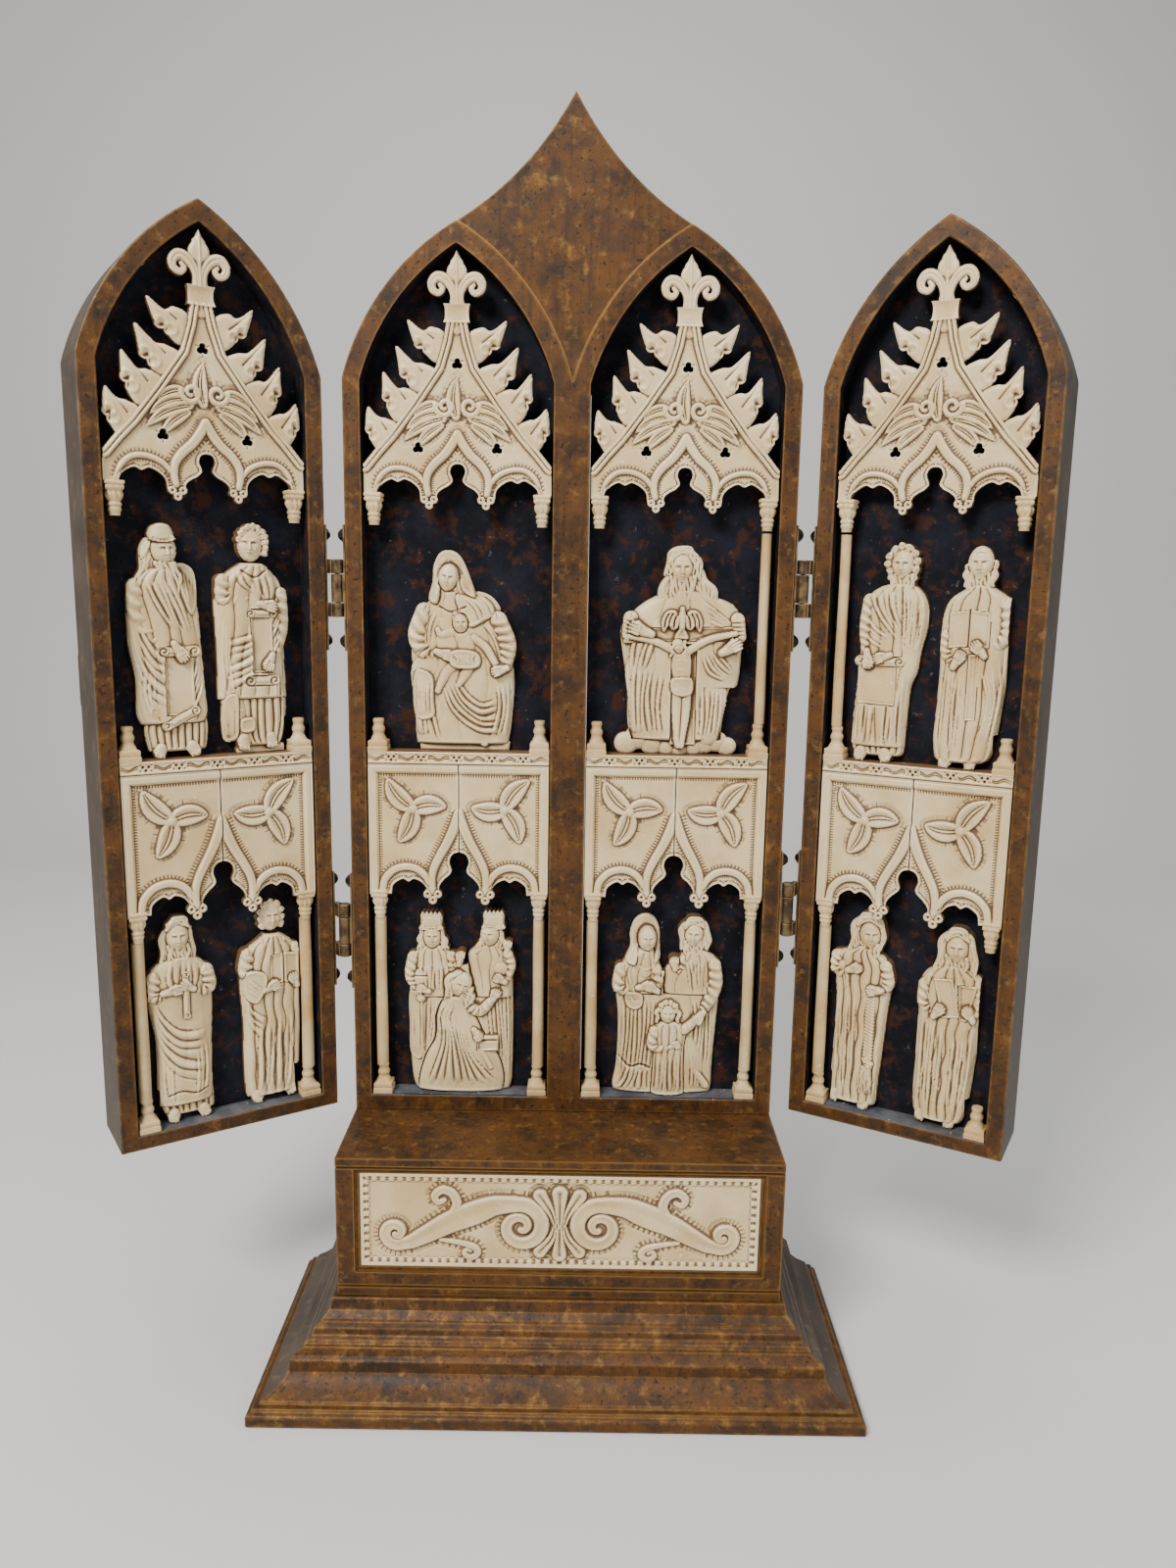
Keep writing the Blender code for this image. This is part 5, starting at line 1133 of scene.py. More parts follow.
arcade = {
    "sideOpening": ((44.2, -2), (43.6, 2.2), (40.6, 5.2), (36.6, 7), (33.2, 5.2), (29.8, 7), (25.4, 5.2),
                    (22.6, 2.2), (21.6, -2), (21.6, -30), (44.2, -30)),
    "keyhole": ((0, 25.4), (3.4, 24.4), (5.8, 21.4), (6.3, 17.8), (4.9, 13.4), (6, 10.4), (9.4, 7.4),
                (12.4, 3.4), (13.4, -2), (13.4, -30), (0, -30)),
    "ogee": ((0, 51, 3.2), (3.4, 41, 3.2), (7.6, 31.6, 3), (12.4, 23, 2.8), (16.4, 14.4, 2.6),
             (17.8, 6.4, 2.4), (17, -1, 2.2)),
    "sideArch": ((50.4, -2, 2.3), (48.4, 6.8, 2.4), (42.4, 13.2, 2.4), (34.4, 15.4, 2.4), (27, 13.6, 2.4),
                 (21.4, 8.4, 2.3), (18.8, 1, 2.2)),
    "petals": (((-46, 73.6), 6.2), ((-8.4, 55.4), 6.2), ((-39.4, 31.8), 6.2)), "bud": (-29.6, 54),
    "cell": 0.42, "ground": 3.1, "raised": 2, "border": 4.7,
}


def makeArcade(name, bay, side, label):
    a = arcade
    foot = heights["arcade"]
    top = heights["ledge"] - heights["ledgeThick"] - case["gap"]
    seam = case["gap"] / 2
    low = foot - 11
    c = Carving(min(0, side * 58.4), max(0, side * 58.4), low, top, a["cell"])
    everywhere = (slice(None), slice(None))
    across = side * c.x
    panel = np.minimum(np.minimum(58.3 - across, across - seam), np.minimum(top - c.z, c.z - foot + 3.4))
    fromEdge = np.minimum(58.3 - across, top - c.z)
    slope = np.clip((fromEdge - a["border"]) / 1.7, 0, 1)
    border = 5.1 - 1.9 * slope - 0.5 * np.exp(-((fromEdge - 1.1) / 0.35) ** 2)
    fringe = (fromEdge > 6.6) & (fromEdge < 8.6)
    run = np.where(58.3 - across < top - c.z, c.z, c.x)
    strokes = 0.55 * np.abs(np.sin(run * math.pi / 1.7)) ** 3 * fringe
    c.lay(everywhere, panel, np.where(fromEdge < 6.4, border, a["ground"]) - strokes)
    bud = (-side * a["bud"][0], foot + a["bud"][1])
    for tip, width in a["petals"]:
        spot = (-side * tip[0], foot + tip[1])
        petal(c, bud, spot, width, a["ground"], a["raised"], hatch=0.6, both=False)
    button(c, bud[0], bud[1], 3.1, a["ground"] + 0.6, 2, both=False)
    lift = (0, foot, 0)
    mirror = (side, 1, 1)
    ribbon(c, softPath(np.array(a["sideArch"]) + lift) * mirror, a["ground"], a["raised"], hatch=0.6,
           reach=3.4, both=False)
    ribbon(c, softPath(np.array(a["ogee"]) + lift) * mirror, a["ground"], a["raised"] + 0.3, hatch=0.7,
           reach=4.2, both=False)
    for key, pitch in (("sideOpening", 2), ("keyhole", 2.6)):
        spots = softPath(np.array(a[key]) + (0, foot), 4) * (side, 1)
        w = c.near(spots, 6)
        opening = areaField(c.x[w], c.z[w], spots)
        c.cut(w, opening)
        pattern(c, w, spots[:-3], 1.9, pitch, 1.5, 0.6)
    for x, z in ((20.6, -2.9), (13.9, -2.9), (17.2, -7)):
        w = c.near([(side * x, foot + z)], 3.6)
        away = np.hypot(c.x[w] - side * x, c.z[w] - foot - z)
        c.cover(w, 2.75 - away, 3.6 + 1.3 * np.clip(1 - ((away - 1.75) / 1) ** 2, -0.6, 1))
    c.inside = np.where(across < seam + 0.01, -1, c.inside)
    meshes = [carvedMesh(name, c, fitting["back"], bay["place"], seed=bay["seed"] + 40 + int(side))]
    meshes.append(capitalMesh(name, side, foot - 0.4, bay["place"]))
    title = name + "Arcade" + label.title()
    item = bpy.data.objects.new(title, joined(title, meshes))
    item.data.shade_smooth()
    item.data.set_sharp_from_angle(angle=math.radians(58))
    finishPiece(item, bay["body"], [name + "_arcade_" + label + "_half"], "bone")


def makePredella():
    p = pocket
    half = p["side"] - p["gap"]
    low = p["low"] + p["gap"]
    high = p["high"] - p["gap"]
    c = Carving(-half, half, low, high, 0.5)
    field = np.minimum(half - np.abs(c.x), np.minimum(high - c.z, c.z - low))
    ground, lift = 3.2, 1.9
    border = 4.4 - 0.9 * np.clip((field - 4.6) / 1.2, 0, 1)
    run = np.where(half - np.abs(c.x) < np.minimum(high - c.z, c.z - low), c.z - low, c.x)
    notch = np.clip(1.8 * np.cos(run * math.pi / 5.4) ** 2 - 0.6, 0, 1) * (field > 2.2) * (field < 5.4)
    c.lay((slice(None), slice(None)), field, np.where(field < 5.8, border - 1.2 * notch, ground))
    middle = (low + high) / 2
    waist = 105.5
    for s, low, high in ((1, 1.6, 5), (-1, 1.6, 4.6)):
        tip = 127.6 if s > 0 else 86
        for side in (-1, 1):
            lobe = [(side * 3, waist + s, 1.4), (side * 5.4, waist + 9 * s, 2.6),
                    (side * 12.4, tip - 1.6 * s, high - 0.6)]
            ribbon(c, softPath(lobe), ground, lift, channel=1.2, hatch=0.7, both=False)
        ribbon(c, softPath([(0, waist, low), (0, waist + 9 * s, 2.8), (0, tip, high)]), ground, lift + 0.5,
               channel=1.5, hatch=0.7, both=False)
    inner = volute((24.6, 104.6), (2, 15.5), (630, 90), (2, 5.2), 48)
    outer = volute((103, 99.8), (8.8, 1.6), (-120, 290), (4.4, 2.2), 36)
    ribbon(c, np.vstack((inner, softPath(p["stem"]), outer)), ground, lift + 0.2, channel=0.5, hatch=0.8,
           reach=4.6)
    ribbon(c, softPath(p["upperCurl"]), ground, lift, channel=0.4, hatch=0.7, reach=4)
    ribbon(c, softPath(p["lowerCurl"]), ground, lift - 0.2, channel=0.3, hatch=0.7, reach=4)
    depth = pedestalFront + p["depth"] - p["gap"]
    mesh = carvedMesh("predella", c, depth, np.eye(4), seed=7)
    item = bpy.data.objects.new("predellaPanel", mesh)
    finishPiece(item, "centre", ["predella_panel"], "bone")


def nailMesh(spot, direction, place):
    # faceted head: a square cone on six sides with a small flat tip
    out = np.array(direction, float)
    side = np.array((0, 0, 1))
    across = np.cross(out, side)
    angle = np.linspace(0, 2 * math.pi, 6, endpoint=False) + 0.3
    rings = []
    for radius, height in ((4.9, -0.2), (5, 0.5), (3.6, 2.6), (1.9, 4), (0.3, 4.3)):
        rings.append(np.array(spot) + out * height + radius
                     * (np.cos(angle)[:, None] * across + np.sin(angle)[:, None] * side))
    return surface("nail", placed(np.array(rings), place))


def makeHinges():
    for side, angle, wing in ((-1, wingAngle["left"], "left_wing"), (1, wingAngle["right"], "right_wing")):
        centreName = "centre_left" if side < 0 else "centre_right"
        turned = hingePlace(side, angle)
        still = np.eye(4)
        still[:3, 3] = (side * hingeAxis["x"], hingeAxis["y"], 0)
        rise = (124.2, 347.2) if side < 0 else (143.2, 351.2)
        for label, up in zip(("lower", "upper"), rise):
            z = case["bottom"] + up
            x = side * -5.7
            strip = sorted((x, x + side * 1))
            meshes = [boxMesh("leaf", (strip[0], -3.85, z - 39), (strip[1], 10.15, z + 39), still)]
            reach = sorted((x + side * 0.5, side * -2.5))
            meshes.append(boxMesh("web", (reach[0], -1.6, z - 8.75), (reach[1], 1.6, z + 8.75), still))
            meshes.append(knuckle(z, 17.5, 3.9, still))
            face = x + side * 1
            nails = [nailMesh((face, 2.35, z + s * 33), (side, 0, 0), still) for s in (-1, 1)]
            addMetal(centreName + "_hinge_leaf_" + label, "centre", meshes, nails)
            x = side * 5.3
            strip = sorted((x, x - side * 1))
            meshes = [boxMesh("leaf", (strip[0], 5.45, z - 39), (strip[1], 19.45, z + 39), turned)]
            for s in (-1, 1):
                spot = z + s * 13.5
                reach = sorted((x - side * 0.8, side * 1))
                meshes.append(boxMesh("web", (reach[0], 0, spot - 4.35), (reach[1], 7.45, spot + 4.35),
                                      turned))
                meshes.append(knuckle(spot, 8.7, 3.9, turned))
            meshes.append(knuckle(z, 35, 1.6, turned))
            face = x - side * 1
            nails = [nailMesh((face, 11.3, z + s * 33), (-side, 0, 0), turned) for s in (-1, 1)]
            addMetal(wing + "_hinge_leaf_" + label, wing, meshes, nails)
    place = bays["left_wing"]["place"]
    x = -wingHalf
    back = case["depth"] + case["gap"]
    z = case["floor"] + 280
    meshes = [boxMesh("plate", (x, back, z - 15.2), (x + 10, back + 1, z + 15.2), place)]
    nails = [nailMesh((x + 4.6, back + 1, z + s * 9.7), (0, 1, 0), place) for s in (-1, 1)]
    addMetal("left_wing_clasp", "left_wing", meshes, nails)


def knuckle(z, tall, radius, place):
    rows = ((0.2, z - tall / 2), (radius - 0.4, z - tall / 2), (radius, z - tall / 2 + 0.4),
            (radius, z + tall / 2 - 0.4), (radius - 0.4, z + tall / 2), (0.2, z + tall / 2))
    return turnedMesh("knuckle", (0, 0), rows, 32, place)


def addMetal(node, body, meshes, nails):
    count = sum(len(mesh.polygons) for mesh in meshes)
    whole = outward(joined(node + "Metal", meshes + nails), 30)
    item = bpy.data.objects.new(node + "Metal", whole)
    finishPiece(item, body, [node], "brass")
    whole.materials.append(finishes["nail"])
    for face in whole.polygons[count:]:
        face.material_index = 1


makePredella()
for bayName, bayFacts in bays.items():
    makeGable(bayName, bayFacts)
    makeLedge(bayName, bayFacts)
    for halfSide, halfLabel in ((-1, "left"), (1, "right")):
        makeArcade(bayName, bayFacts, halfSide, halfLabel)
makeColumns("centre_left", bays["centre_left"], (-1, 1), ())
makeColumns("centre_right", bays["centre_right"], (-1, 1), (1,))
makeColumns("left_wing", bays["left_wing"], (-1, 1), ())
makeColumns("right_wing", bays["right_wing"], (-1,), (-1,))
makeHinges()
print("scene: carved fittings, columns and hinges")

figureRelief = {
    "sharpen": 0.3, "extra": 1.6, "foldLift": 1.25, "thinnest": 1.6,
    "baseTop": 22, "besideBase": 43.2, "besideShaft": 47.9,
}


# Figures: u and v are hundredths of the figure's height, from its axis and its foot

class Figure(Carving):
    def __init__(self, size, halfWidth, cell):
        self.unit = size / 100.0
        super().__init__(-halfWidth, halfWidth, -1.0, 103.0, cell / self.unit)

    def robe(self, stations, lift, pleats=0.0, depth=0.0, phase=0.0, drift=0.0, edge=5.0, ground=2.0):
        # between the left and right edges at each height: an elliptical swell with tubular pleats
        rows = softPath(sorted(stations), 4)
        rows = rows[np.argsort(rows[:, 0])]
        w = self.near([(rows[:, 1].min(), rows[0, 0]), (rows[:, 2].max(), rows[-1, 0])], 0.5)
        x, z = self.x[w], self.z[w]
        left = np.interp(z, rows[:, 0], rows[:, 1])
        right = np.interp(z, rows[:, 0], rows[:, 2])
        field = np.minimum(np.minimum(x - left, right - x), np.minimum(z - rows[0, 0], rows[-1, 0] - z))
        share = 2.0 * (x - left) / np.maximum(right - left, 0.1) - 1.0
        body = ground + lift * np.clip(1.0 - np.abs(share) ** 2.6, 0.0, 1.0) ** 0.5
        if pleats:
            wander = 0.9 * noiseField(x, 0.45 * z, 11.0, int(10.0 * edge + pleats))
            turn = (share + drift * (z - rows[0, 0]) / 60.0) * pleats * math.pi / 2.0 + phase + wander
            body = body + depth * (np.abs(np.sin(turn)) ** 0.7 - 0.6) * np.clip(field / 1.5, 0.2, 1.0)
        self.cover(w, field, np.maximum(body * rounded(field + 0.6, edge * 0.35), 1.2))

    def cloth(self, outline, lift, folds=(), edge=1.8, hem=0.5):
        # a piece of cloth over what is there: a soft edge with a thin rolled hem
        spots = softPath(outline, 4, True)
        w = self.near(spots, 0.5)
        field = areaField(self.x[w], self.z[w], spots)
        under = blurred(self.height, 2.0 / self.cell)[w]
        shape = under + lift * rounded(field, edge) + hem * np.exp(-((field - 0.8) / 0.6) ** 2)
        self.cover(w, field, np.maximum(shape, 2.0))
        for fold in folds:
            self.folds(*fold)

    def folds(self, first, last, count, lift):
        # a sheet P(s, t) = a(s) + t (b(s) - a(s)), raised by lift k(s) (|sin(pi n t')| ** 0.75 - 0.4)
        # with t' swaying along s
        a = softPath(first, 8)
        b = softPath(last, 8)
        reach = np.max(np.hypot(*(b - a).T))
        steps = (int(3.0 * lineLength(a) / self.cell) + 60, int(3.0 * reach / self.cell) + 60)
        s, t = np.meshgrid(np.linspace(0.0, 1.0, steps[0]), np.linspace(0.0, 1.0, steps[1]), indexing="ij")
        along = np.linspace(0.0, 1.0, len(a))
        spots = [np.interp(s, along, a[:, k]) * (1.0 - t) + np.interp(s, along, b[:, k]) * t for k in (0, 1)]
        columns = np.rint((spots[0] - self.left) / self.cell).astype(int)
        rows = np.rint((spots[1] - self.foot) / self.cell).astype(int)
        sway = t + 0.16 / count * np.sin(2.0 * math.pi * (0.8 * s + 1.7 * t) + count) * np.sin(math.pi * t)
        crest = np.abs(np.sin(math.pi * count * sway)) ** 0.75 - 0.4
        strong = 0.8 + 0.35 * np.sin(2.4 * np.floor(count * sway) + 1.0)
        fade = np.clip(np.minimum(s / 0.22, (1.0 - s) / 0.12), 0.0, 1.0)
        change = np.zeros(self.x.shape)
        held = (rows >= 0) & (rows < self.x.shape[0]) & (columns >= 0) & (columns < self.x.shape[1])
        change[rows[held], columns[held]] = (figureRelief["foldLift"] * lift * strong * fade * crest)[held]
        change = blurred(change, 0.35 / self.cell)
        self.height = self.height + np.where(self.inside > 0.0, change, 0.0)

    def limb(self, line, lift, level=3.0, rings=0.0, ringDepth=0.35):
        # a sleeve or a leg: half round across, with rings of cloth along it
        spots = softPath(line, 5)
        w = self.near(spots, spots[:, 2].max() + 0.5)
        field, along, offset = lineField(self.x[w], self.z[w], spots)
        radius = np.maximum(field + np.abs(offset), 0.5)
        shape = level + lift * roll(field, radius)
        if rings:
            shape = shape + ringDepth * np.sin(along * rings * 2.0 * math.pi + offset
                                               * 0.5) * np.clip(field / 0.8, 0.0, 1.0)
        self.lay(w, field, shape)

    def hair(self, first, last, count, width, level, lift=1.2, wave=0.5):
        # locks between two guide curves, each waving sideways a little
        a = softPath(first, 6)
        b = softPath(last, 6)
        t = np.linspace(0.0, 1.0, len(a))
        for i in range(count):
            share = i / max(count - 1, 1)
            line = a + (b - a) * share
            sway = wave * np.sin(t * 11.0 + i * 1.7)
            spots = np.column_stack((line[:, 0] + sway, line[:, 1] + 0.3 * sway,
                                     width * (1.0 - 0.5 * t ** 2)))
            w = self.near(spots, width + 0.5)
            field, along, offset = lineField(self.x[w], self.z[w], spots)
            shape = level + lift * roll(field, np.maximum(field + np.abs(offset), 0.3)) + 0.25 * (i % 2)
            self.lay(w, field, shape)

    def curls(self, spots, radius, level, lift=1.3):
        # three turned ellipses at each spot: half an ellipsoid high, with a swirl cos(angle + 6 distance)
        middle = np.mean(np.array(spots, float), axis=0)
        for i, (x, z) in enumerate(0.88 * np.array(spots, float) + 0.12 * middle):
            for k in range(3):
                turn = 2.4 * i + 2.09 * k
                spot = (x + 0.3 * radius * math.cos(turn), z + 0.3 * radius * math.sin(turn))
                w = self.near([spot], radius + 0.5)
                field, u, v = ballField(self.x[w], self.z[w], spot, 0.85 * radius, 0.62 * radius, turn + 1.2)
                away = np.hypot(u, v)
                swirl = 0.4 * np.cos(np.arctan2(v, u) + away * 6.0)
                shape = level + lift * np.sqrt(np.clip(1.0 - away ** 2, 0.0, 1.0)) + swirl * (away > 0.15)
                self.lay(w, field, shape)

    def head(self, x, z, halfWidth, halfHeight, level, yaw=0.0, tilt=0.0, lift=4.2, calm=1.0):
        # an egg with brow, sockets, nose, lips and chin; yaw moves the features sideways
        w = self.near([(x, z)], max(halfWidth, halfHeight) + 1.0)
        field, u, v = ballField(self.x[w], self.z[w], (x, z), halfWidth, halfHeight, tilt)
        narrow = 1.0 + 0.16 * np.clip(-v, 0.0, 1.0) ** 2
        egg = np.clip(1.0 - (u * narrow) ** 2 - v ** 2, 0.0, 1.0)
        a = u - 0.42 * yaw
        scale = math.sqrt(max(1.0 - 0.3 * yaw * yaw, 0.4))

        def bump(cu, cv, ru, rv):
            return np.exp(-((a - cu) / ru) ** 2 - ((v - cv) / rv) ** 2)
        face = 0.55 * (bump(-0.34 * scale, 0.22, 0.26, 0.07) + bump(0.34 * scale, 0.22, 0.26, 0.07))
        face = face - 0.95 * (bump(-0.36 * scale, 0.07, 0.20, 0.11) + bump(0.36 * scale, 0.07, 0.20, 0.11))
        face = face + 0.62 * (bump(-0.36 * scale, 0.04, 0.13, 0.07) + bump(0.36 * scale, 0.04, 0.13, 0.07))
        face = face + 1.25 * bump(0.0, -0.14, 0.10, 0.22) + 0.9 * bump(0.0, -0.26, 0.16, 0.08)
        face = face - 0.30 * bump(0.0, -0.37, 0.16, 0.04) + 0.55 * bump(0.0, -0.46, 0.22, 0.055)
        face = face - 0.45 * bump(0.0, -0.525, 0.25, 0.028) + 0.45 * bump(0.0, -0.59, 0.18, 0.055)
        face = face + 0.50 * bump(0.0, -0.80, 0.22, 0.13) - 0.25 * bump(0.0, -0.68, 0.22, 0.05)
        face = face + 0.35 * (bump(-0.46 * scale, -0.24, 0.2, 0.2) + bump(0.46 * scale, -0.24, 0.2, 0.2))
        shape = level + lift * egg ** 0.5 + face * calm * np.clip(egg * 2.2, 0.0, 1.0)
        self.cover(w, field, shape)

    def hand(self, x, z, reach, turn, level, size=1.0, fingers=4, thumb=1.0, curl=0.0):
        # a palm with fingers of half-round section that run along the turn, in degrees
        angle = math.radians(turn)
        cx, cz = math.cos(angle), math.sin(angle)
        self.limb([(x - cx * 0.6 * reach, z - cz * 0.6 * reach, 1.5 * size), (x, z, 2.1 * size),
                   (x + cx * 0.35 * reach, z + cz * 0.35 * reach, 2.2 * size)], 1.6 * size, level)
        for i in range(fingers):
            off = (i - (fingers - 1) / 2.0) * 1.15 * size
            sx = x + cx * 0.3 * reach - cz * off
            sz = z + cz * 0.3 * reach + cx * off
            tip = reach * (1.0 - 0.10 * abs(i - 1.4))
            bend = curl * off * 0.3
            ex = x + cx * tip - cz * (off * 1.1 + bend)
            ez = z + cz * tip + cx * (off * 1.1 + bend)
            self.limb([(sx, sz, 0.72 * size), ((sx + ex) / 2.0, (sz + ez) / 2.0, 0.66 * size),
                       (ex, ez, 0.50 * size)],
                      0.9 * size, level + 1.1 * size)
        if thumb:
            tx = x + cx * 0.55 * reach - cz * thumb * 2.6 * size
            tz = z + cz * 0.55 * reach + cx * thumb * 2.6 * size
            self.limb([(x - cz * thumb * 1.4, z + cx * thumb * 1.4, 0.85 * size), (tx, tz, 0.6 * size)],
                      0.9 * size, level + 1.0)

    def slab(self, corners, level, rim=0.0, slope=0.0):
        # a flat leaf, sheet or tablet with a raised rim
        w = self.near(corners, 0.5)
        field = areaField(self.x[w], self.z[w], np.array(corners, float))
        middle = np.mean(np.array(corners, float), axis=0)
        shape = level + slope * (self.x[w] - middle[0]) + rim * np.exp(-((field - 0.6) / 0.45) ** 2)
        self.cover(w, field, shape * (0.9 + 0.1 * rounded(field, 0.6)))

    def scroll(self, start, end, radius, level, lift=2.2):
        # a rolled sheet: half round across, with a spiral at both ends
        line = [(start[0], start[1], radius), (end[0], end[1], radius)]
        w = self.near(line, radius + 0.5)
        field, along, offset = lineField(self.x[w], self.z[w], line)
        shape = level + lift * roll(field, radius)
        shape = shape - 0.35 * np.exp(-((offset - 0.35 * radius) / 0.22) ** 2)
        self.cover(w, field, shape)
        for x, z in (start, end):
            w = self.near([(x, z)], radius + 0.3)
            away = np.hypot(self.x[w] - x, self.z[w] - z) / radius
            angle = np.arctan2(self.z[w] - z, self.x[w] - x)
            spiral = 0.4 * np.cos(angle - away * 9.0)
            self.cover(w, (0.96 - away) * radius, level + 0.72 * lift + spiral)

    def feet(self, places, level=5.6):
        # a half-round limb from heel to tip, with four toes across its end
        for x, z, tipX, tipZ, width in places:
            self.limb([(x, z, width * 0.8), ((x + tipX) / 2, (z + tipZ) / 2, width),
                       (tipX, tipZ, width * 0.8)], 1.7, level)
            across = (tipZ - z, x - tipX)
            size = max(math.hypot(*across), 0.01)
            for i in range(4):
                off = (i - 1.5) * width * 0.42
                toe = (tipX + across[0] / size * off, tipZ + across[1] / size * off)
                self.limb([(toe[0], toe[1] + 0.2, 0.5), (toe[0], toe[1] - 0.9, 0.5)], 0.7, level + 1.1)

    def groove(self, line, width, depth):
        # height minus depth . exp(-(distance / width) ** 2)
        spots = softPath(line, 5)
        spots = np.column_stack((spots, np.zeros(len(spots))))
        w = self.near(spots, 3.0 * width)
        field = lineField(self.x[w], self.z[w], spots)[0]
        self.height[w] = self.height[w] - depth * np.exp(-(field / width) ** 2)

    def band(self, line, width, level, pitch=2.0):
        # a border of small beads between two rims
        spots = softPath(line, 5)
        length = lineLength(spots)
        spots = np.column_stack((spots, np.full(len(spots), width)))
        w = self.near(spots, width + 0.5)
        field, along, offset = lineField(self.x[w], self.z[w], spots)
        beads = np.abs(np.sin(math.pi * along
                              * length / pitch)) * np.clip(1.0 - np.abs(offset) / (0.6 * width), 0.0, 1.0)
        shape = level + 0.55 * np.exp(-((field - 0.3) / 0.3) ** 2) + 0.6 * beads
        self.lay(w, field, shape)


def finishFigure(f, title, node, bayName, x, foot, thick):
    # from hundredths to millimetres; kept clear of the columns on both sides
    r = figureRelief
    f.inside = f.inside * f.unit
    f.height = f.height * f.unit
    solid = np.where(f.inside > 0.0, f.height, 0.0)
    f.height = f.height + r["sharpen"] * (solid - blurred(solid, 1.3 / (f.cell * f.unit))) * (f.inside > 1.0)
    tallest = np.percentile(f.height[f.inside > 0.0], 99.8)
    tall = thick + r["extra"]
    f.height = np.clip(f.height * tall / tallest, r["thinnest"], thick + r["extra"] + 0.4)
    f.x = f.x * f.unit
    f.z = f.z * f.unit
    f.cell = f.cell * f.unit
    room = np.where(f.z < r["baseTop"], r["besideBase"], r["besideShaft"]) - np.abs(f.x + x)
    f.inside = np.minimum(np.minimum(f.inside, room), f.z)
    f.x = f.x + x
    f.z = f.z + foot
    bay = bays[bayName]
    mesh = carvedMesh(title, f, fitting["boardFront"], bay["place"], seed=len(title))
    item = bpy.data.objects.new(title, mesh)
    finishPiece(item, bay["body"], [node], "bone")


ledgeFoot = heights["ledge"] + case["gap"]
floorFoot = case["floor"] + case["gap"]


def makeElderWithScroll():
    f = Figure(138, 20, 0.46)
    f.robe([(2.8, -8, 14), (4, -9, 16), (12, -10.2, 17), (19, -9, 16.4)], 4, 9, 1.3)
    f.feet([(-4, 4.5, -5, 1.6, 2.6), (9, 5, 10.5, 2, 2.8)])
    f.robe([(15, -11.5, 15.5), (20, -13.2, 17), (34, -12.8, 16.2), (50, -15.2, 15.4), (65, -15.4, 14.6),
            (73, -14.8, 11.5), (78, -11, 8), (82, -6, 5)], 6, 5, 0.8, 0.4, 0.5)
    f.cloth([(7, 84), (13, 82), (14.6, 74), (14, 66), (11, 62), (8, 68), (6, 76)], 1.3,
            [([(8.5, 82), (9, 74), (9.5, 66)], [(13, 80), (13.4, 74), (12.6, 67)], 3, 0.9)])
    f.folds([(-12, 74), (-11, 60), (-4, 47), (8, 42)], [(-14, 66), (-13.6, 44), (-8, 28), (2, 20)], 5, 1.5)
    f.folds([(13, 50), (11, 38), (4, 26)], [(16, 42), (15, 30), (10, 19)], 4, 1.4)
    f.folds([(-10, 40), (-10.6, 28), (-8, 18)], [(-5, 36), (-5.4, 26), (-4, 17.5)], 3, 1.3)
    f.folds([(-9, 78), (-4, 66), (2, 56)], [(4, 76), (8, 66), (11, 54)], 5, 1.6)
    f.limb([(-11.5, 74, 3.6), (-11, 64, 4), (-7, 54, 4.2), (0, 50, 3.4), (5, 48.5, 2.4)], 3.4, 4.2, 7, 0.5)
    f.slab([(-1.6, 45), (11, 45), (11, 17.5), (-1.6, 18.5)], 7.2, 0.4, 0.05)
    f.scroll((-1.4, 46.5), (11.6, 46.5), 2.5, 6.4)
    f.scroll((-1.4, 14), (11, 20.5), 2.1, 6.4)
    f.hand(4.6, 47, 5.6, -58, 8, 1)
    f.hair([(-1, 96), (-7, 90), (-9, 82), (-11, 77)], [(-1, 90), (-4, 84), (-5, 78), (-7, 74)], 6, 1.1, 4.6)
    f.head(0.6, 89.6, 5.4, 7.2, 4.6, 0.55, 0.06)
    f.hair([(-3, 84), (-1, 77), (2, 70), (4.6, 66)], [(5, 84), (6.4, 78), (6.4, 72), (5, 66)], 7, 0.95, 6.4,
           1.3)
    f.robe([(93.2, -5, 5), (96, -5.6, 5.4), (99.4, -4.2, 4), (100.6, -1.6, 1.6)], 5.6, 0, 0, 0, 0, 6, 4)
    f.band([(-4, 94.4), (0.2, 93.8), (4, 94.4)], 1.1, 8.6, 1.5)
    f.cloth([(-6.4, 94.6), (-9, 90), (-8.6, 85), (-6, 88), (-5, 92)], 0.9)
    finishFigure(f, "elderWithScroll", "elder_with_scroll", "left_wing", -26.7, ledgeFoot, 11)


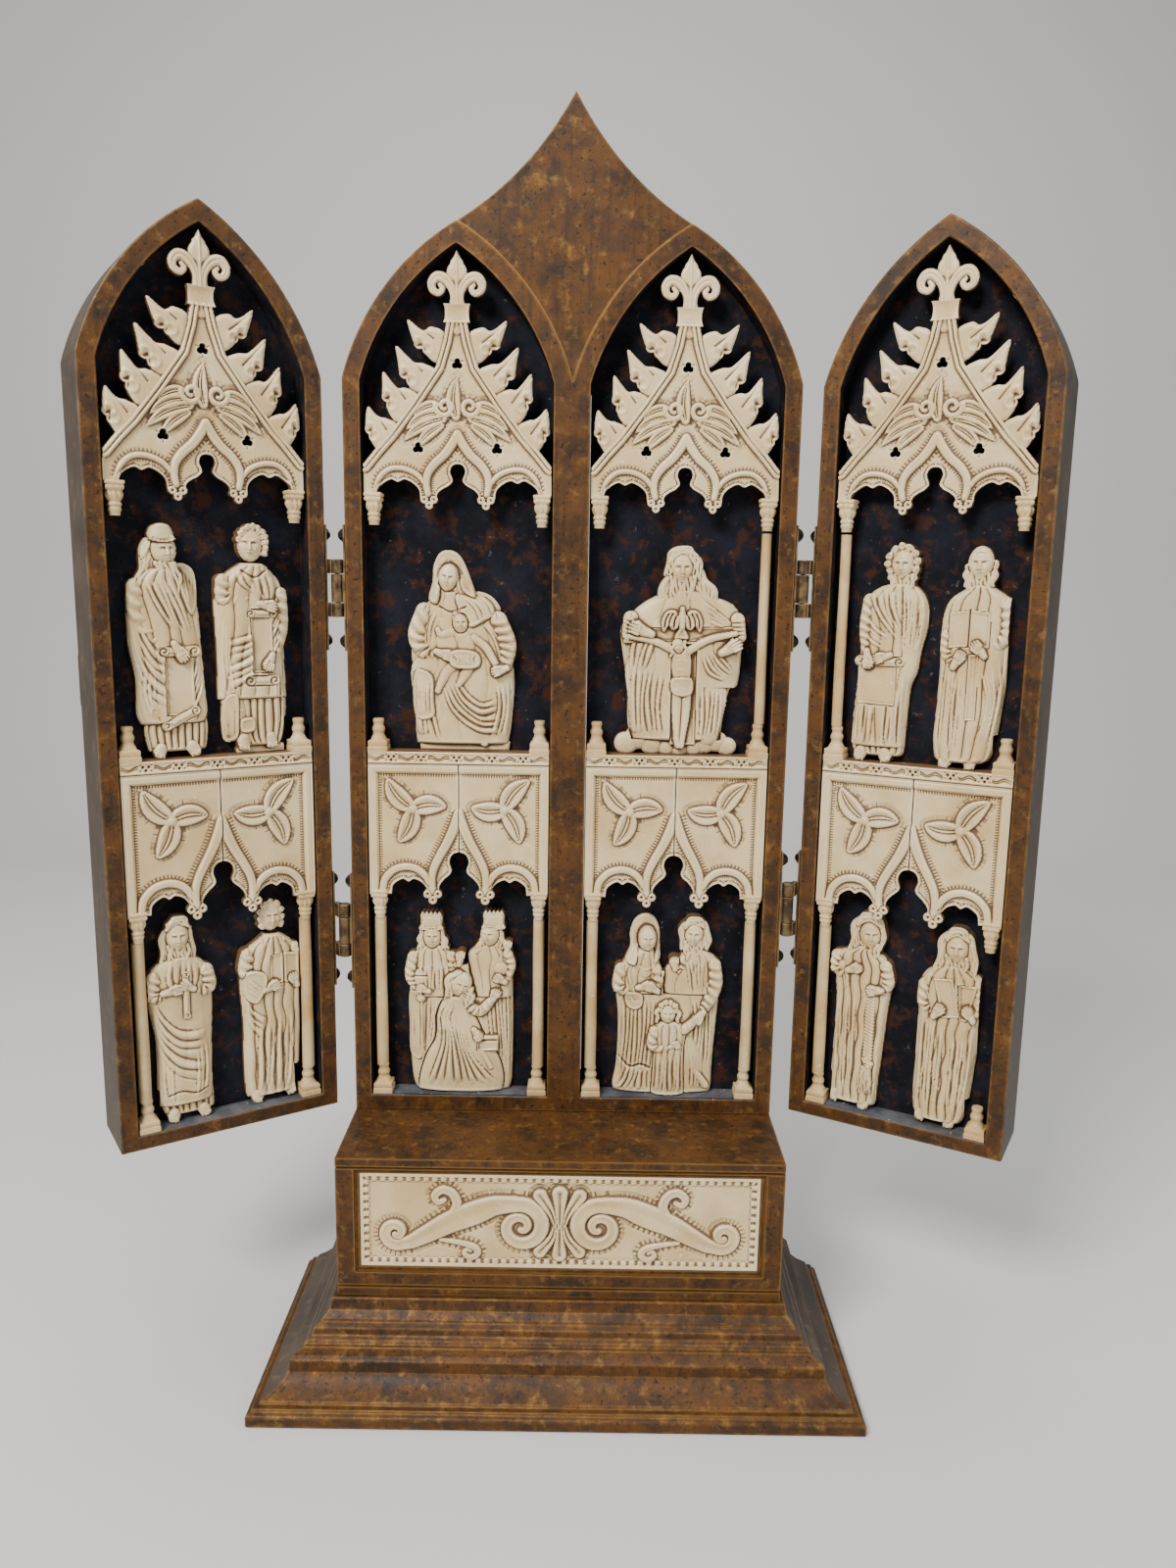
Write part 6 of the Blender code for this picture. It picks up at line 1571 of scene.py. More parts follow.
def makeYouthWithScroll():
    f = Figure(140.9, 20, 0.46)
    f.limb([(-7, 1.2, 2), (2, 1.6, 2.6), (12, 1.4, 2)], 1.2, 3)
    f.robe([(3, -6, 11), (8, -11, 13), (20, -14, 14.6), (27, -15.4, 14.4)], 4.4, 8, 1.3)
    f.feet([(-5.5, 7, -6, 3, 2.9), (6, 7, 6.6, 3.4, 2.7)])
    f.robe([(24, -16, 14.8), (44, -15.6, 14.2), (58, -16, 14), (67, -16.2, 14.2), (74, -14.6, 13.4),
            (79, -10.4, 9.8), (83, -4.6, 5.4)], 6, 5, 0.8, 0.3, -0.5)
    f.folds([(11, 76), (9, 66), (0, 54), (-12, 50)], [(13.6, 66), (12, 50), (2, 36), (-13, 27)], 6, 1.5)
    f.folds([(-14, 60), (-14.6, 44), (-14, 26)], [(-10, 56), (-10.6, 40), (-9, 26)], 3, 1.4)
    f.folds([(12.6, 44), (12.8, 30), (12.6, 9)], [(8.6, 36), (8, 24), (8.4, 8)], 3, 1.3)
    f.limb([(-9, 27, 4.6), (-7.6, 20, 4.8), (-6.4, 13, 3.8)], 3.4, 3.6)
    f.cloth([(-7.4, 15), (-1.6, 15.6), (-1.2, 10), (-7, 9.4)], 1)
    f.cloth([(-14, 24), (-8.4, 26), (-8, 15), (-8.6, 6.2), (-14.2, 6.6)], 1,
            [([(-13, 22), (-13.2, 14), (-13, 7)], [(-9.6, 22), (-9.8, 14), (-9.6, 7)], 3, 1.1)])
    f.folds([(-8, 80), (-6, 74), (0, 70)], [(9, 80), (10, 72), (8, 66)], 5, 1.3)
    f.limb([(-12.6, 75, 3.4), (-11.6, 68, 3.8), (-4.4, 67.6, 3.4), (3.6, 66, 2.6)], 3.2, 4.4, 6, 0.5)
    f.limb([(12.4, 70, 3), (12.6, 56, 3.2), (9, 42, 2.6)], 2.8, 4.2, 6, 0.5)
    f.slab([(-1.8, 61), (8, 61), (8.4, 35), (-1.6, 35.4)], 7, 0.4, 0.05)
    f.scroll((-1.6, 61.4), (8.2, 61.4), 2, 6.2)
    f.scroll((-2.6, 32), (8.4, 32), 2.5, 6.2)
    f.hand(5, 65, 5, -14, 7.6, 0.95)
    f.hand(6.6, 40.6, 4.6, -110, 7.6, 0.9, 4, -1)
    f.head(-0.2, 91, 5.6, 7.4, 4.6, -0.5, -0.05)
    f.curls([(-5, 95.4), (-3.6, 97.2), (-1.6, 98.6), (0.8, 99), (3.2, 98.2), (5.2, 96.6), (6.4, 94.4),
             (6.8, 91.8), (6.6, 89.2), (6, 86.6), (-5.8, 93), (-2.6, 95.8), (0.2, 96.8), (2.8, 96), (4.6, 94),
             (5.4, 91.4)], 1.75, 6, 1.3)
    f.groove([(-5, 80), (0.4, 77), (5.6, 80)], 0.5, 0.9)
    f.band([(-5.6, 78.4), (0.4, 75.6), (6, 78.4)], 0.9, 7.2, 1.4)
    finishFigure(f, "youthWithScroll", "youth_with_scroll", "left_wing", 25.8, ledgeFoot, 11)


def makeBeardedManSmallRoll():
    f = Figure(134.7, 20, 0.48)
    f.robe([(2.8, -8.5, 13), (5, -10, 13.6), (14, -12.2, 13.2)], 4, 8, 1.2)
    f.feet([(-5.6, 4.4, -6.2, 1.6, 2.8), (7.6, 4.4, 8.6, 1.6, 2.8)])
    f.robe([(8, -11.6, 12.6), (14, -12.4, 13), (38, -12, 13.6), (52, -13.8, 14.4), (66, -15.4, 14.2),
            (74, -14, 12.6), (78.5, -9.4, 8.6), (81, -4, 4)], 6, 3, 0.3)
    f.folds([(-6, 79), (-7, 70), (-4, 62)], [(8, 78), (8, 70), (5, 62)], 5, 1.2)
    f.folds([(-10, 72), (-11, 58), (-2, 46), (11, 44)], [(-13, 60), (-12, 38), (-4, 24), (8, 18)], 5, 1.5)
    f.folds([(10.6, 40), (11.4, 26), (10, 12)], [(5, 34), (5, 22), (4, 10)], 3, 1.3)
    f.folds([(-11, 34), (-10.6, 22), (-10, 9)], [(-5.6, 30), (-5.4, 20), (-5.4, 9)], 3, 1.3)
    f.limb([(-11.6, 72, 3.6), (-12.4, 64, 3.8), (-8.6, 63, 2.9)], 3.2, 4.4, 5, 0.5)
    f.limb([(11.4, 72, 3.6), (12, 64, 3.8), (4.6, 62, 3)], 3.2, 4.4, 5, 0.5)
    f.scroll((1.6, 52), (1.6, 72), 1.7, 7.2)
    f.hand(-5.4, 65, 5.6, 8, 7.8, 0.95)
    f.hand(2.8, 66, 4.4, 150, 8, 0.95, 4, -1)
    f.hair([(-2, 99), (-7, 92), (-8, 84), (-8.4, 77)], [(-1, 94), (-5, 88), (-5.6, 82), (-5.6, 78)], 4, 1.1,
           4.4)
    f.hair([(1, 99), (5.4, 92), (6.2, 84), (6.8, 77)], [(0, 94), (3.6, 88), (4, 82), (4, 78)], 4, 1.1, 4.4)
    f.head(-0.8, 90.4, 5.2, 7.2, 4.8, 0.05)
    f.hair([(-5.2, 86), (-4.6, 81), (-3.4, 77), (-2.4, 73.4)], [(3.8, 86), (3.4, 81), (2.2, 77), (0.8, 73.4)],
           8, 0.9, 6, 1.2)
    f.hair([(-5, 96.6), (-2, 99.4), (2, 99.2), (4.4, 95.6)],
           [(-5.4, 94.6), (-2, 96.6), (1.6, 96.6), (4.6, 94)], 3, 1.1, 6.4)
    f.groove([(-8, 13.6), (-2, 15), (4, 13), (10, 14.4)], 0.5, 0.9)
    finishFigure(f, "beardedManSmallRoll", "bearded_man_with_small_roll", "left_wing", -27.4, floorFoot, 10.6)


def makeBeardlessManBook():
    f = Figure(138, 18, 0.48)
    f.robe([(2.8, -13, 9.4), (5, -14.2, 11.6), (20, -14.8, 12.4), (40, -14.4, 13.6), (58, -15.4, 14.2),
            (68, -15.2, 13.6), (76, -12.6, 11.4), (80.6, -6.6, 6.8), (83, -3.6, 3.4)], 5.8, 6, 1)
    f.feet([(-9, 5, -9.8, 1.8, 2.8), (6, 5.6, 7, 2.6, 2.8)])
    f.folds([(-8, 40), (-9, 24), (-9.4, 6)], [(9.4, 46), (9, 26), (7.6, 6)], 6, 1.6)
    f.folds([(-12, 56), (-11, 48), (-4, 42)], [(-13.4, 50), (-12.6, 40), (-7, 32)], 3, 1.4)
    f.limb([(-12, 74, 3.4), (-12.4, 66, 4), (-6.6, 60, 4.2), (-3.4, 57.4, 2.6)], 3.4, 4.4, 6, 0.6)
    f.cloth([(-13.6, 66), (-4, 64), (-4.8, 56), (-9, 50), (-14.2, 54)], 1.2,
            [([(-13, 64), (-9, 60), (-6, 57)], [(-12.8, 56), (-10, 54), (-8, 52.6)], 3, 0.9)])
    f.limb([(11, 74, 3.2), (12.4, 62, 3.4), (10, 56, 2.6)], 3, 4.2, 6, 0.5)
    f.slab([(-2, 72.4), (4.6, 73.4), (4.6, 58.6), (-2, 57.2)], 7.4, 0.5, 0.10)
    f.slab([(4.6, 73.4), (12, 72), (12, 57), (4.6, 58.6)], 7.8, 0.5, -0.10)
    f.groove([(4.6, 73), (4.6, 58.8)], 0.4, 1.3)
    f.hand(-2.6, 57, 5, 20, 8, 0.95)
    f.hand(9.6, 58.6, 4, 110, 8.4, 0.85)
    f.head(-0.6, 91.6, 5.2, 7.2, 4.8, 0.15)
    f.curls([(-5.8, 90), (-5.8, 94), (-3.8, 97.4), (-0.6, 98.8), (2.8, 97.6), (4.8, 94.2), (5, 90.2),
             (4.6, 86.4), (-5.4, 86.4), (-2.4, 95.6), (1.4, 96)], 1.9, 5.4, 1.6)
    f.band([(-5, 79.6), (0, 76.6), (5, 79.6)], 0.9, 7, 1.4)
    finishFigure(f, "beardlessManBook", "beardless_man_with_book", "left_wing", 31.3, floorFoot, 10.6)


def makeCurlyElder():
    f = Figure(135.8, 19, 0.46)
    f.robe([(2.6, -13, 7), (4, -14.4, 8.6), (8, -15.6, 9.2), (20, -15.4, 9.6)], 4.2, 8, 1.2)
    f.feet([(-10, 5, -11, 1.8, 2.9), (0.6, 4.8, 1.6, 1.6, 2.9)])
    f.robe([(6.8, -15.9, 9.2), (20, -15.6, 9.6), (34.5, -14.6, 10.4), (42, -14.3, 12.9), (52, -13.9, 14.2),
            (61.6, -13.2, 16.2), (70, -12.8, 16.4), (76, -11, 14.8), (79.6, -7, 12), (82, 0, 9)], 6, 5, 0.8,
           0.2, 0.4)
    f.folds([(5, 80), (6, 66), (6.4, 50)], [(15, 76), (15.4, 64), (13, 50)], 6, 1.8)
    f.folds([(8.6, 40), (8.4, 26), (8, 8)], [(-1, 26), (-1, 18), (-1.4, 8)], 5, 1.6)
    f.folds([(-14, 26), (-14.4, 16), (-14.6, 8)], [(-5, 26), (-5.4, 16), (-6, 8)], 4, 1.4)
    f.folds([(-10, 72), (-8, 64), (0, 58)], [(-12.4, 64), (-9.6, 56), (-3, 52)], 4, 1.2)
    f.limb([(-10, 74, 3.2), (-11, 62, 3.4), (-10.6, 52, 2.6)], 3, 4.2, 6, 0.5)
    f.folds([(-11, 79), (-6, 68), (4, 56)], [(2, 80), (3, 70), (6, 62)], 4, 1.5)
    f.slab([(-13.6, 44.6), (4.4, 44.6), (4.6, 26), (-13.2, 26.6)], 6.8, 0.4, 0.04)
    f.scroll((-12.6, 46.4), (5.6, 46.4), 2.5, 6)
    f.hand(-9.2, 48, 5, -80, 7.8, 0.95)
    f.hand(-1.4, 48.6, 4.8, 200, 8, 0.9, 4, -1)
    f.head(4.2, 90.2, 5.4, 7.2, 4.8, -0.15, -0.04)
    f.hair([(-0.8, 85.4), (-0.2, 79.6), (1.6, 75), (3.2, 71.4)],
           [(8.8, 85.4), (8.2, 79.6), (6, 75), (4.4, 71.4)], 8, 0.95, 6, 1.3)
    f.curls([(-1.8, 86.6), (-3.2, 90.2), (-2.6, 94), (-0.2, 97.2), (3.2, 98.8), (6.8, 98), (9.6, 95.4),
             (11, 91.6), (10.4, 87.6), (-1, 83.6), (9.6, 84), (0.8, 94.6), (4.2, 95.6), (7.6, 94)], 2.1, 5.2,
            1.7)
    finishFigure(f, "curlyElderWithScroll", "curly_elder_with_scroll", "right_wing", -22.5, ledgeFoot, 11)


def makeBaldElder():
    f = Figure(134.8, 19, 0.46)
    f.robe([(2.6, -13.6, 6), (5.5, -15.4, 9.6), (14, -16.2, 11.6), (30, -15.6, 13.2), (46, -15.4, 14.4),
            (60, -15.8, 14.7), (70, -15, 14.6), (76, -12.4, 13.6), (80, -7, 8.6), (82.5, -3.6, 4.6)], 6, 5,
           0.9)
    f.feet([(-8.6, 4.6, -10.4, 1.6, 2.9), (1, 4.6, 1.4, 1.4, 2.7)])
    f.folds([(3.4, 44), (7, 30), (4, 15)], [(11.6, 50), (13, 32), (9, 9)], 6, 1.7)
    f.folds([(-12.6, 50), (-13.4, 30), (-13.6, 7)], [(-4.6, 42), (-5, 26), (-5.4, 7)], 5, 1.6)
    f.folds([(-10.6, 76), (-12, 66), (-12.8, 56)], [(-7, 78), (-9, 74), (-10, 72)], 3, 1.2)
    f.slab([(-2.4, 52), (2.4, 52), (2.6, 22), (-2.2, 22)], 8, 0.5, 0)
    f.limb([(11.8, 74, 3.4), (13, 62, 3.6), (7.6, 54, 3)], 3.2, 4.4, 6, 0.5)
    f.limb([(-12.4, 60, 3), (-12, 52, 3.2), (-9, 48, 2.6)], 3, 4.4, 5, 0.5)
    f.slab([(-11.8, 70), (-2.8, 71.4), (-2.8, 55), (-11.6, 54)], 7.6, 0.5, 0.10)
    f.slab([(-2.8, 71.4), (6.2, 70.4), (6.4, 54.6), (-2.8, 55)], 7.9, 0.5, -0.10)
    f.groove([(-2.8, 71.2), (-2.8, 55.2)], 0.45, 1.4)
    f.hand(-7.2, 48.4, 5.2, 62, 8, 0.95, 4, -1)
    f.hand(2.6, 53.4, 5, 130, 8.2, 0.95)
    f.hair([(-5.4, 90), (-5.8, 86), (-5.6, 82)], [(5.6, 91), (6, 87), (5.6, 82)], 2, 1.5, 5.6)
    f.curls([(6.1, 92)], 1.3, 6, 1)
    f.head(0, 91.4, 5.6, 7.8, 4.8, -0.1)
    f.hair([(-5.2, 87.4), (-4.6, 81.4), (-2.8, 76.4), (-1.2, 72.6)],
           [(5, 87.4), (4.4, 81.4), (2.8, 76.4), (1.2, 72.6)], 9, 0.95, 6, 1.3)
    f.groove([(-2.6, 95.6), (0, 96.2), (2.6, 95.6)], 0.4, 0.5)
    finishFigure(f, "baldElderWithBook", "bald_elder_with_book", "right_wing", 29.2, ledgeFoot, 11)


def makeManWithCord():
    f = Figure(135.3, 19, 0.46)
    f.robe([(2.2, -12.6, 8), (3.2, -13.4, 9.8), (14, -13.2, 10.4), (30, -12.8, 11.6), (50.8, -12.4, 13),
            (60, -13, 14), (66.7, -13.6, 14.2), (73, -14.2, 13.6), (78, -12.6, 11), (81, -6, 7), (83, -1, 5)],
           6, 6, 1)
    f.feet([(-8.4, 6, -10.6, 3.2, 2.9), (3.6, 4, 4.6, 1.4, 2.9)])
    f.folds([(-11.6, 62), (-11.4, 34), (-11, 5)], [(-1.4, 60), (-1.2, 34), (-1.6, 6)], 6, 1.8)
    f.folds([(9.6, 54), (9.4, 30), (8.8, 5)], [(11.8, 50), (11, 30), (10, 8)], 2, 1.6)
    f.folds([(-11, 74), (-6, 68), (-5, 62)], [(-12.6, 70), (-10, 64), (-9, 58)], 3, 1.3)
    f.limb([(-12.4, 76, 3), (-12.4, 70, 3.4), (-7, 68, 3.6), (-3.4, 70.4, 2.8)], 3.2, 4.4, 6, 0.6)
    f.limb([(-8.9, 71.4, 2.9), (-8.7, 71.4, 2.9)], 1.6, 6.4)
    f.limb([(11.2, 74, 3.2), (12.6, 66, 3.4), (9.4, 61.4, 2.8)], 3, 4.4, 5, 0.5)
    # the twists of the cord, each two short crossing limbs
    for i in range(20):
        x, z = 5.6, 60 - 1.7 * i
        f.limb([(x - 1.5, z + 0.7, 0.85), (x + 1.5, z - 0.7, 0.85)], 1.1, 7.4)
        f.limb([(x - 1.5, z - 0.1, 0.55), (x + 1.5, z - 1.5, 0.55)], 0.8, 7.4)
    f.curls([(5, 26), (6.6, 23.6)], 2.3, 7.2, 1.7)
    f.hair([(3.4, 22), (2.2, 15), (1.2, 8.8)], [(6.6, 22), (7.4, 15), (8, 8.8)], 6, 0.8, 7, 1.2, 0.15)
    f.hand(-3.6, 71, 4.6, 20, 8.2, 1, 4, 1, -1)
    f.hand(8, 62, 4.4, 190, 8.2, 0.95, 4, -1)
    f.hair([(1, 98.6), (-4.6, 94), (-5.6, 86), (-6.4, 80)], [(1, 94), (-2, 90), (-2.6, 85), (-3, 80.4)], 5,
           1.15, 5, 1.4)
    f.hair([(3, 98.6), (8.6, 95.4), (9.6, 89), (9, 82.4)], [(2.6, 95), (6.6, 92), (7.4, 87), (7, 82.4)], 3,
           1.15, 5, 1.4)
    f.head(3.2, 88.8, 5.3, 7.2, 4.8, 0.5, 0.04)
    f.hair([(-0.8, 84.4), (0.4, 80), (2.4, 76.6), (3.8, 74.4)],
           [(7.8, 84.4), (7.2, 80), (5.8, 76.6), (4.6, 74.4)], 7, 0.9, 6, 1.2)
    f.hair([(-3, 95.4), (0, 98.8), (5, 98.6), (8.6, 94.6)], [(-2.6, 93.4), (1, 95.8), (5, 95.8), (7.8, 93)],
           3, 1.1, 6.2)
    finishFigure(f, "manWithCord", "man_with_cord", "right_wing", -27.4, floorFoot, 11)


def makeManWithTablets():
    f = Figure(133.5, 19, 0.46)
    f.robe([(2.6, -12.8, 7.6), (6.2, -14.6, 9.6), (16, -15.4, 11.4), (34, -15.2, 12.8), (52.7, -15.2, 14.4),
            (68, -15.4, 15.8), (75, -13.6, 14.6), (79, -9.6, 11), (82, -4, 6)], 6, 6, 1)
    f.feet([(-8.8, 6.4, -10.8, 3.4, 2.9), (2.6, 5.4, 3.2, 2.2, 2.9)])
    f.folds([(-13, 64), (-13.4, 36), (-13.4, 8)], [(-2, 50), (-2.4, 30), (-3, 7)], 6, 1.8)
    f.folds([(2.4, 48), (1.8, 28), (1.4, 7)], [(12, 50), (11.4, 30), (8.8, 8)], 5, 1.8)
    f.folds([(-11, 76), (-12, 68), (-9, 60)], [(-8.6, 78), (-9.6, 76), (-9.6, 72)], 3, 1.2)
    f.band([(-2, 53.4), (3.4, 52.6), (9, 53)], 1.3, 6.6, 1.7)
    f.limb([(13, 74, 3.2), (14, 64, 3.4), (10.6, 58.4, 2.8)], 3, 4.4, 5, 0.5)
    f.limb([(-12.6, 70, 3), (-12, 60, 3.2), (-6.4, 57.4, 2.6)], 3, 4.4, 5, 0.5)
    f.slab([(2.9, 73), (12.2, 73.6), (8.2, 55), (4.4, 55.6)], 7.2, 0.6, 0.05)
    f.slab([(-8.3, 74.4), (0.7, 75.6), (5, 57), (-3.2, 55.4)], 8.2, 0.6, 0)
    f.hand(-5.6, 58, 4.6, 60, 8.8, 0.95, 4, -1)
    f.hand(9.8, 59, 4.6, 120, 8.4, 0.95)
    f.hair([(0.6, 99.6), (-5.6, 94.6), (-7, 86), (-8.6, 78)],
           [(0.4, 95.6), (-3.6, 91), (-4.6, 85), (-5, 78.6)], 5, 1.15, 5, 1.4)
    f.hair([(2.2, 99.6), (8.2, 94.6), (9.8, 86), (10.8, 78.4)],
           [(2.4, 95.6), (6.2, 91), (7, 85), (7.4, 78.6)], 5, 1.15, 5, 1.4)
    f.head(1.4, 90, 5.4, 7.3, 5, 0)
    f.hair([(-3.4, 86), (-2.8, 80.6), (-0.6, 76.4), (1.6, 73.4)],
           [(6.2, 86), (5.8, 80.6), (4.6, 76.4), (3.4, 73.4)], 8, 0.95, 6.2, 1.3)
    f.hair([(-4.2, 95), (-1, 99.4), (3.8, 99.4), (7, 95)], [(-3.2, 94), (0, 96.6), (3, 96.6), (6, 94)], 3,
           1.1, 6.4)
    finishFigure(f, "manWithTwoTablets", "man_with_two_tablets", "right_wing", 30.2, floorFoot, 11)


def makeSeatedMother():
    f = Figure(127.4, 28.5, 0.46)
    f.robe([(0, -21.6, 23.4), (4.6, -22.6, 24)], 3, 0, 0)
    f.robe([(3.6, -23.4, 23), (12, -24.2, 24.4), (24.7, -24.4, 25.6), (35.3, -24.6, 26.1), (49.4, -26, 24.8),
            (57.8, -24.2, 23), (66, -21.4, 19.6), (72, -19.4, 16.6), (76.5, -15.6, 12), (80, -12, 2)], 6.4, 4,
           0.5)
    f.limb([(-12, 44, 7), (-18.6, 41, 7), (-19, 26, 5.6), (-18.4, 12, 5)], 3, 4.6)
    f.limb([(4, 40, 7.6), (13.4, 38, 7.6), (14.4, 24, 6.4), (12, 10, 5.6)], 3, 4.6)
    f.folds([(-10, 32), (-4, 19), (8, 10), (19, 9)], [(-2, 38), (3, 30), (10, 25), (17, 27)], 5, 2.2)
    f.folds([(17, 33), (18, 22), (14, 8)], [(24, 36), (24.6, 22), (22.6, 6)], 3, 1.9)
    f.folds([(-22.6, 40), (-23, 28), (-22.6, 6)], [(-13, 34), (-14.4, 22), (-10, 5)], 4, 1.5)
    f.cloth([(-24.2, 40), (-15, 38), (-14.2, 26), (-14.4, 17.2), (-24.2, 17.8)], 1.1,
            [([(-22.4, 36), (-22.6, 26), (-22.6, 18.6)], [(-16, 35), (-16.2, 26), (-16, 18.6)], 4, 1.3)])
    f.limb([(-10.6, 26.2, 1.9), (-1.4, 14.2, 2.1), (11.3, 4, 1.9)], 1.8, 6)
    f.folds([(-16, 72), (-21, 62), (-22, 50)], [(-12, 70), (-15, 62), (-16, 54)], 4, 1.5)
    f.cloth([(-3, 79), (8, 80), (15.4, 76.8), (19, 70), (12, 66), (4.4, 62.4), (0, 68)], 1.4,
            [([(0, 77), (6, 72), (9, 65)], [(9, 79), (15, 74), (17, 69)], 4, 1.2)])
    f.folds([(10, 64), (16, 56), (20, 42)], [(17, 66), (22, 56), (24.4, 40)], 4, 1.5)
    f.limb([(-19, 70, 4.2), (-22.4, 58, 4.8), (-18.4, 50, 4.4), (-12, 49, 3)], 3.2, 5, 6, 0.6)
    f.limb([(18, 66, 4.4), (22.4, 54, 4.6), (21.4, 43, 3.4)], 3.2, 5, 6, 0.6)
    f.hair([(-11, 88), (-13.6, 80), (-12.6, 74), (-11, 68)], [(-9, 84), (-10.4, 78), (-9.4, 73), (-8, 69)], 4,
           1.2, 6, 1.3)
    f.hair([(-2.6, 86), (1, 80), (3, 75), (4.2, 70.4)], [(-3.6, 82), (-2, 77), (0, 73), (0.8, 70)], 4, 1.2, 6,
           1.3)
    f.cloth([(-7, 100), (-11.6, 98.4), (-14.6, 92), (-15.2, 84), (-17, 76), (-12, 74), (-10, 84), (-7, 91),
             (-2.6, 88), (0.6, 80), (7, 77), (4, 86), (0.8, 94), (-2.6, 98.6)], 2.8,
            [([(-8, 98), (-13, 92), (-14.6, 80)], [(-7.4, 94), (-10.6, 90), (-11.8, 80)], 3, 0.9),
             ([(-5, 98), (0, 91), (4.4, 80)], [(-6, 94), (-2.4, 90), (1.6, 81)], 3, 0.9)])
    f.head(-6.8, 86.4, 5, 6.9, 6.2, -0.1, -0.14)
    f.limb([(-6, 79, 2.8), (-5, 75, 3)], 1.6, 6)
    f.groove([(-11, 72.4), (-5, 69.8), (2, 72.4)], 0.5, 0.9)
    f.limb([(-4, 60, 3.6), (-10, 58.6, 2.2), (-12, 61, 1.4)], 2, 7)
    f.limb([(0, 58, 4.6), (2.1, 54, 5.4), (1.6, 46, 5.2)], 3, 6.6)
    f.limb([(6, 57, 2.4), (12, 52.4, 2.1), (16.6, 44.6, 1.7)], 1.8, 7.4)
    f.limb([(-2, 45, 3.2), (-7.4, 40, 3), (-12, 30.6, 1.8)], 2.2, 7.2)
    f.limb([(4, 44, 3.2), (1.8, 39, 2.8), (-1.6, 33.6, 1.7)], 2.2, 7.6)
    f.cloth([(-5.6, 50), (2, 51.4), (8.6, 49), (8.8, 43), (1, 41.6), (-5.4, 43.4)], 1.6,
            [([(-4.6, 49), (-2, 46), (-4, 43.6)], [(7.4, 49), (6, 46), (7.4, 43.6)], 5, 1.2)])
    f.head(-0.6, 64.4, 4.3, 5.4, 7.2, 0.1, 0.05, 3, 0.8)
    f.curls([(-4.4, 66.6), (-3.4, 69.2), (-0.8, 70.6), (2, 69.6), (3.6, 67)], 1.7, 7.4, 1.4)
    f.hand(-9.6, 49, 5.6, -18, 8.6, 1)
    f.hand(19.8, 41.4, 5, 200, 8.4, 1, 4, -1)
    finishFigure(f, "seatedMotherAndChild", "seated_mother_and_child", "centre_left", 1.9, ledgeFoot, 12.2)


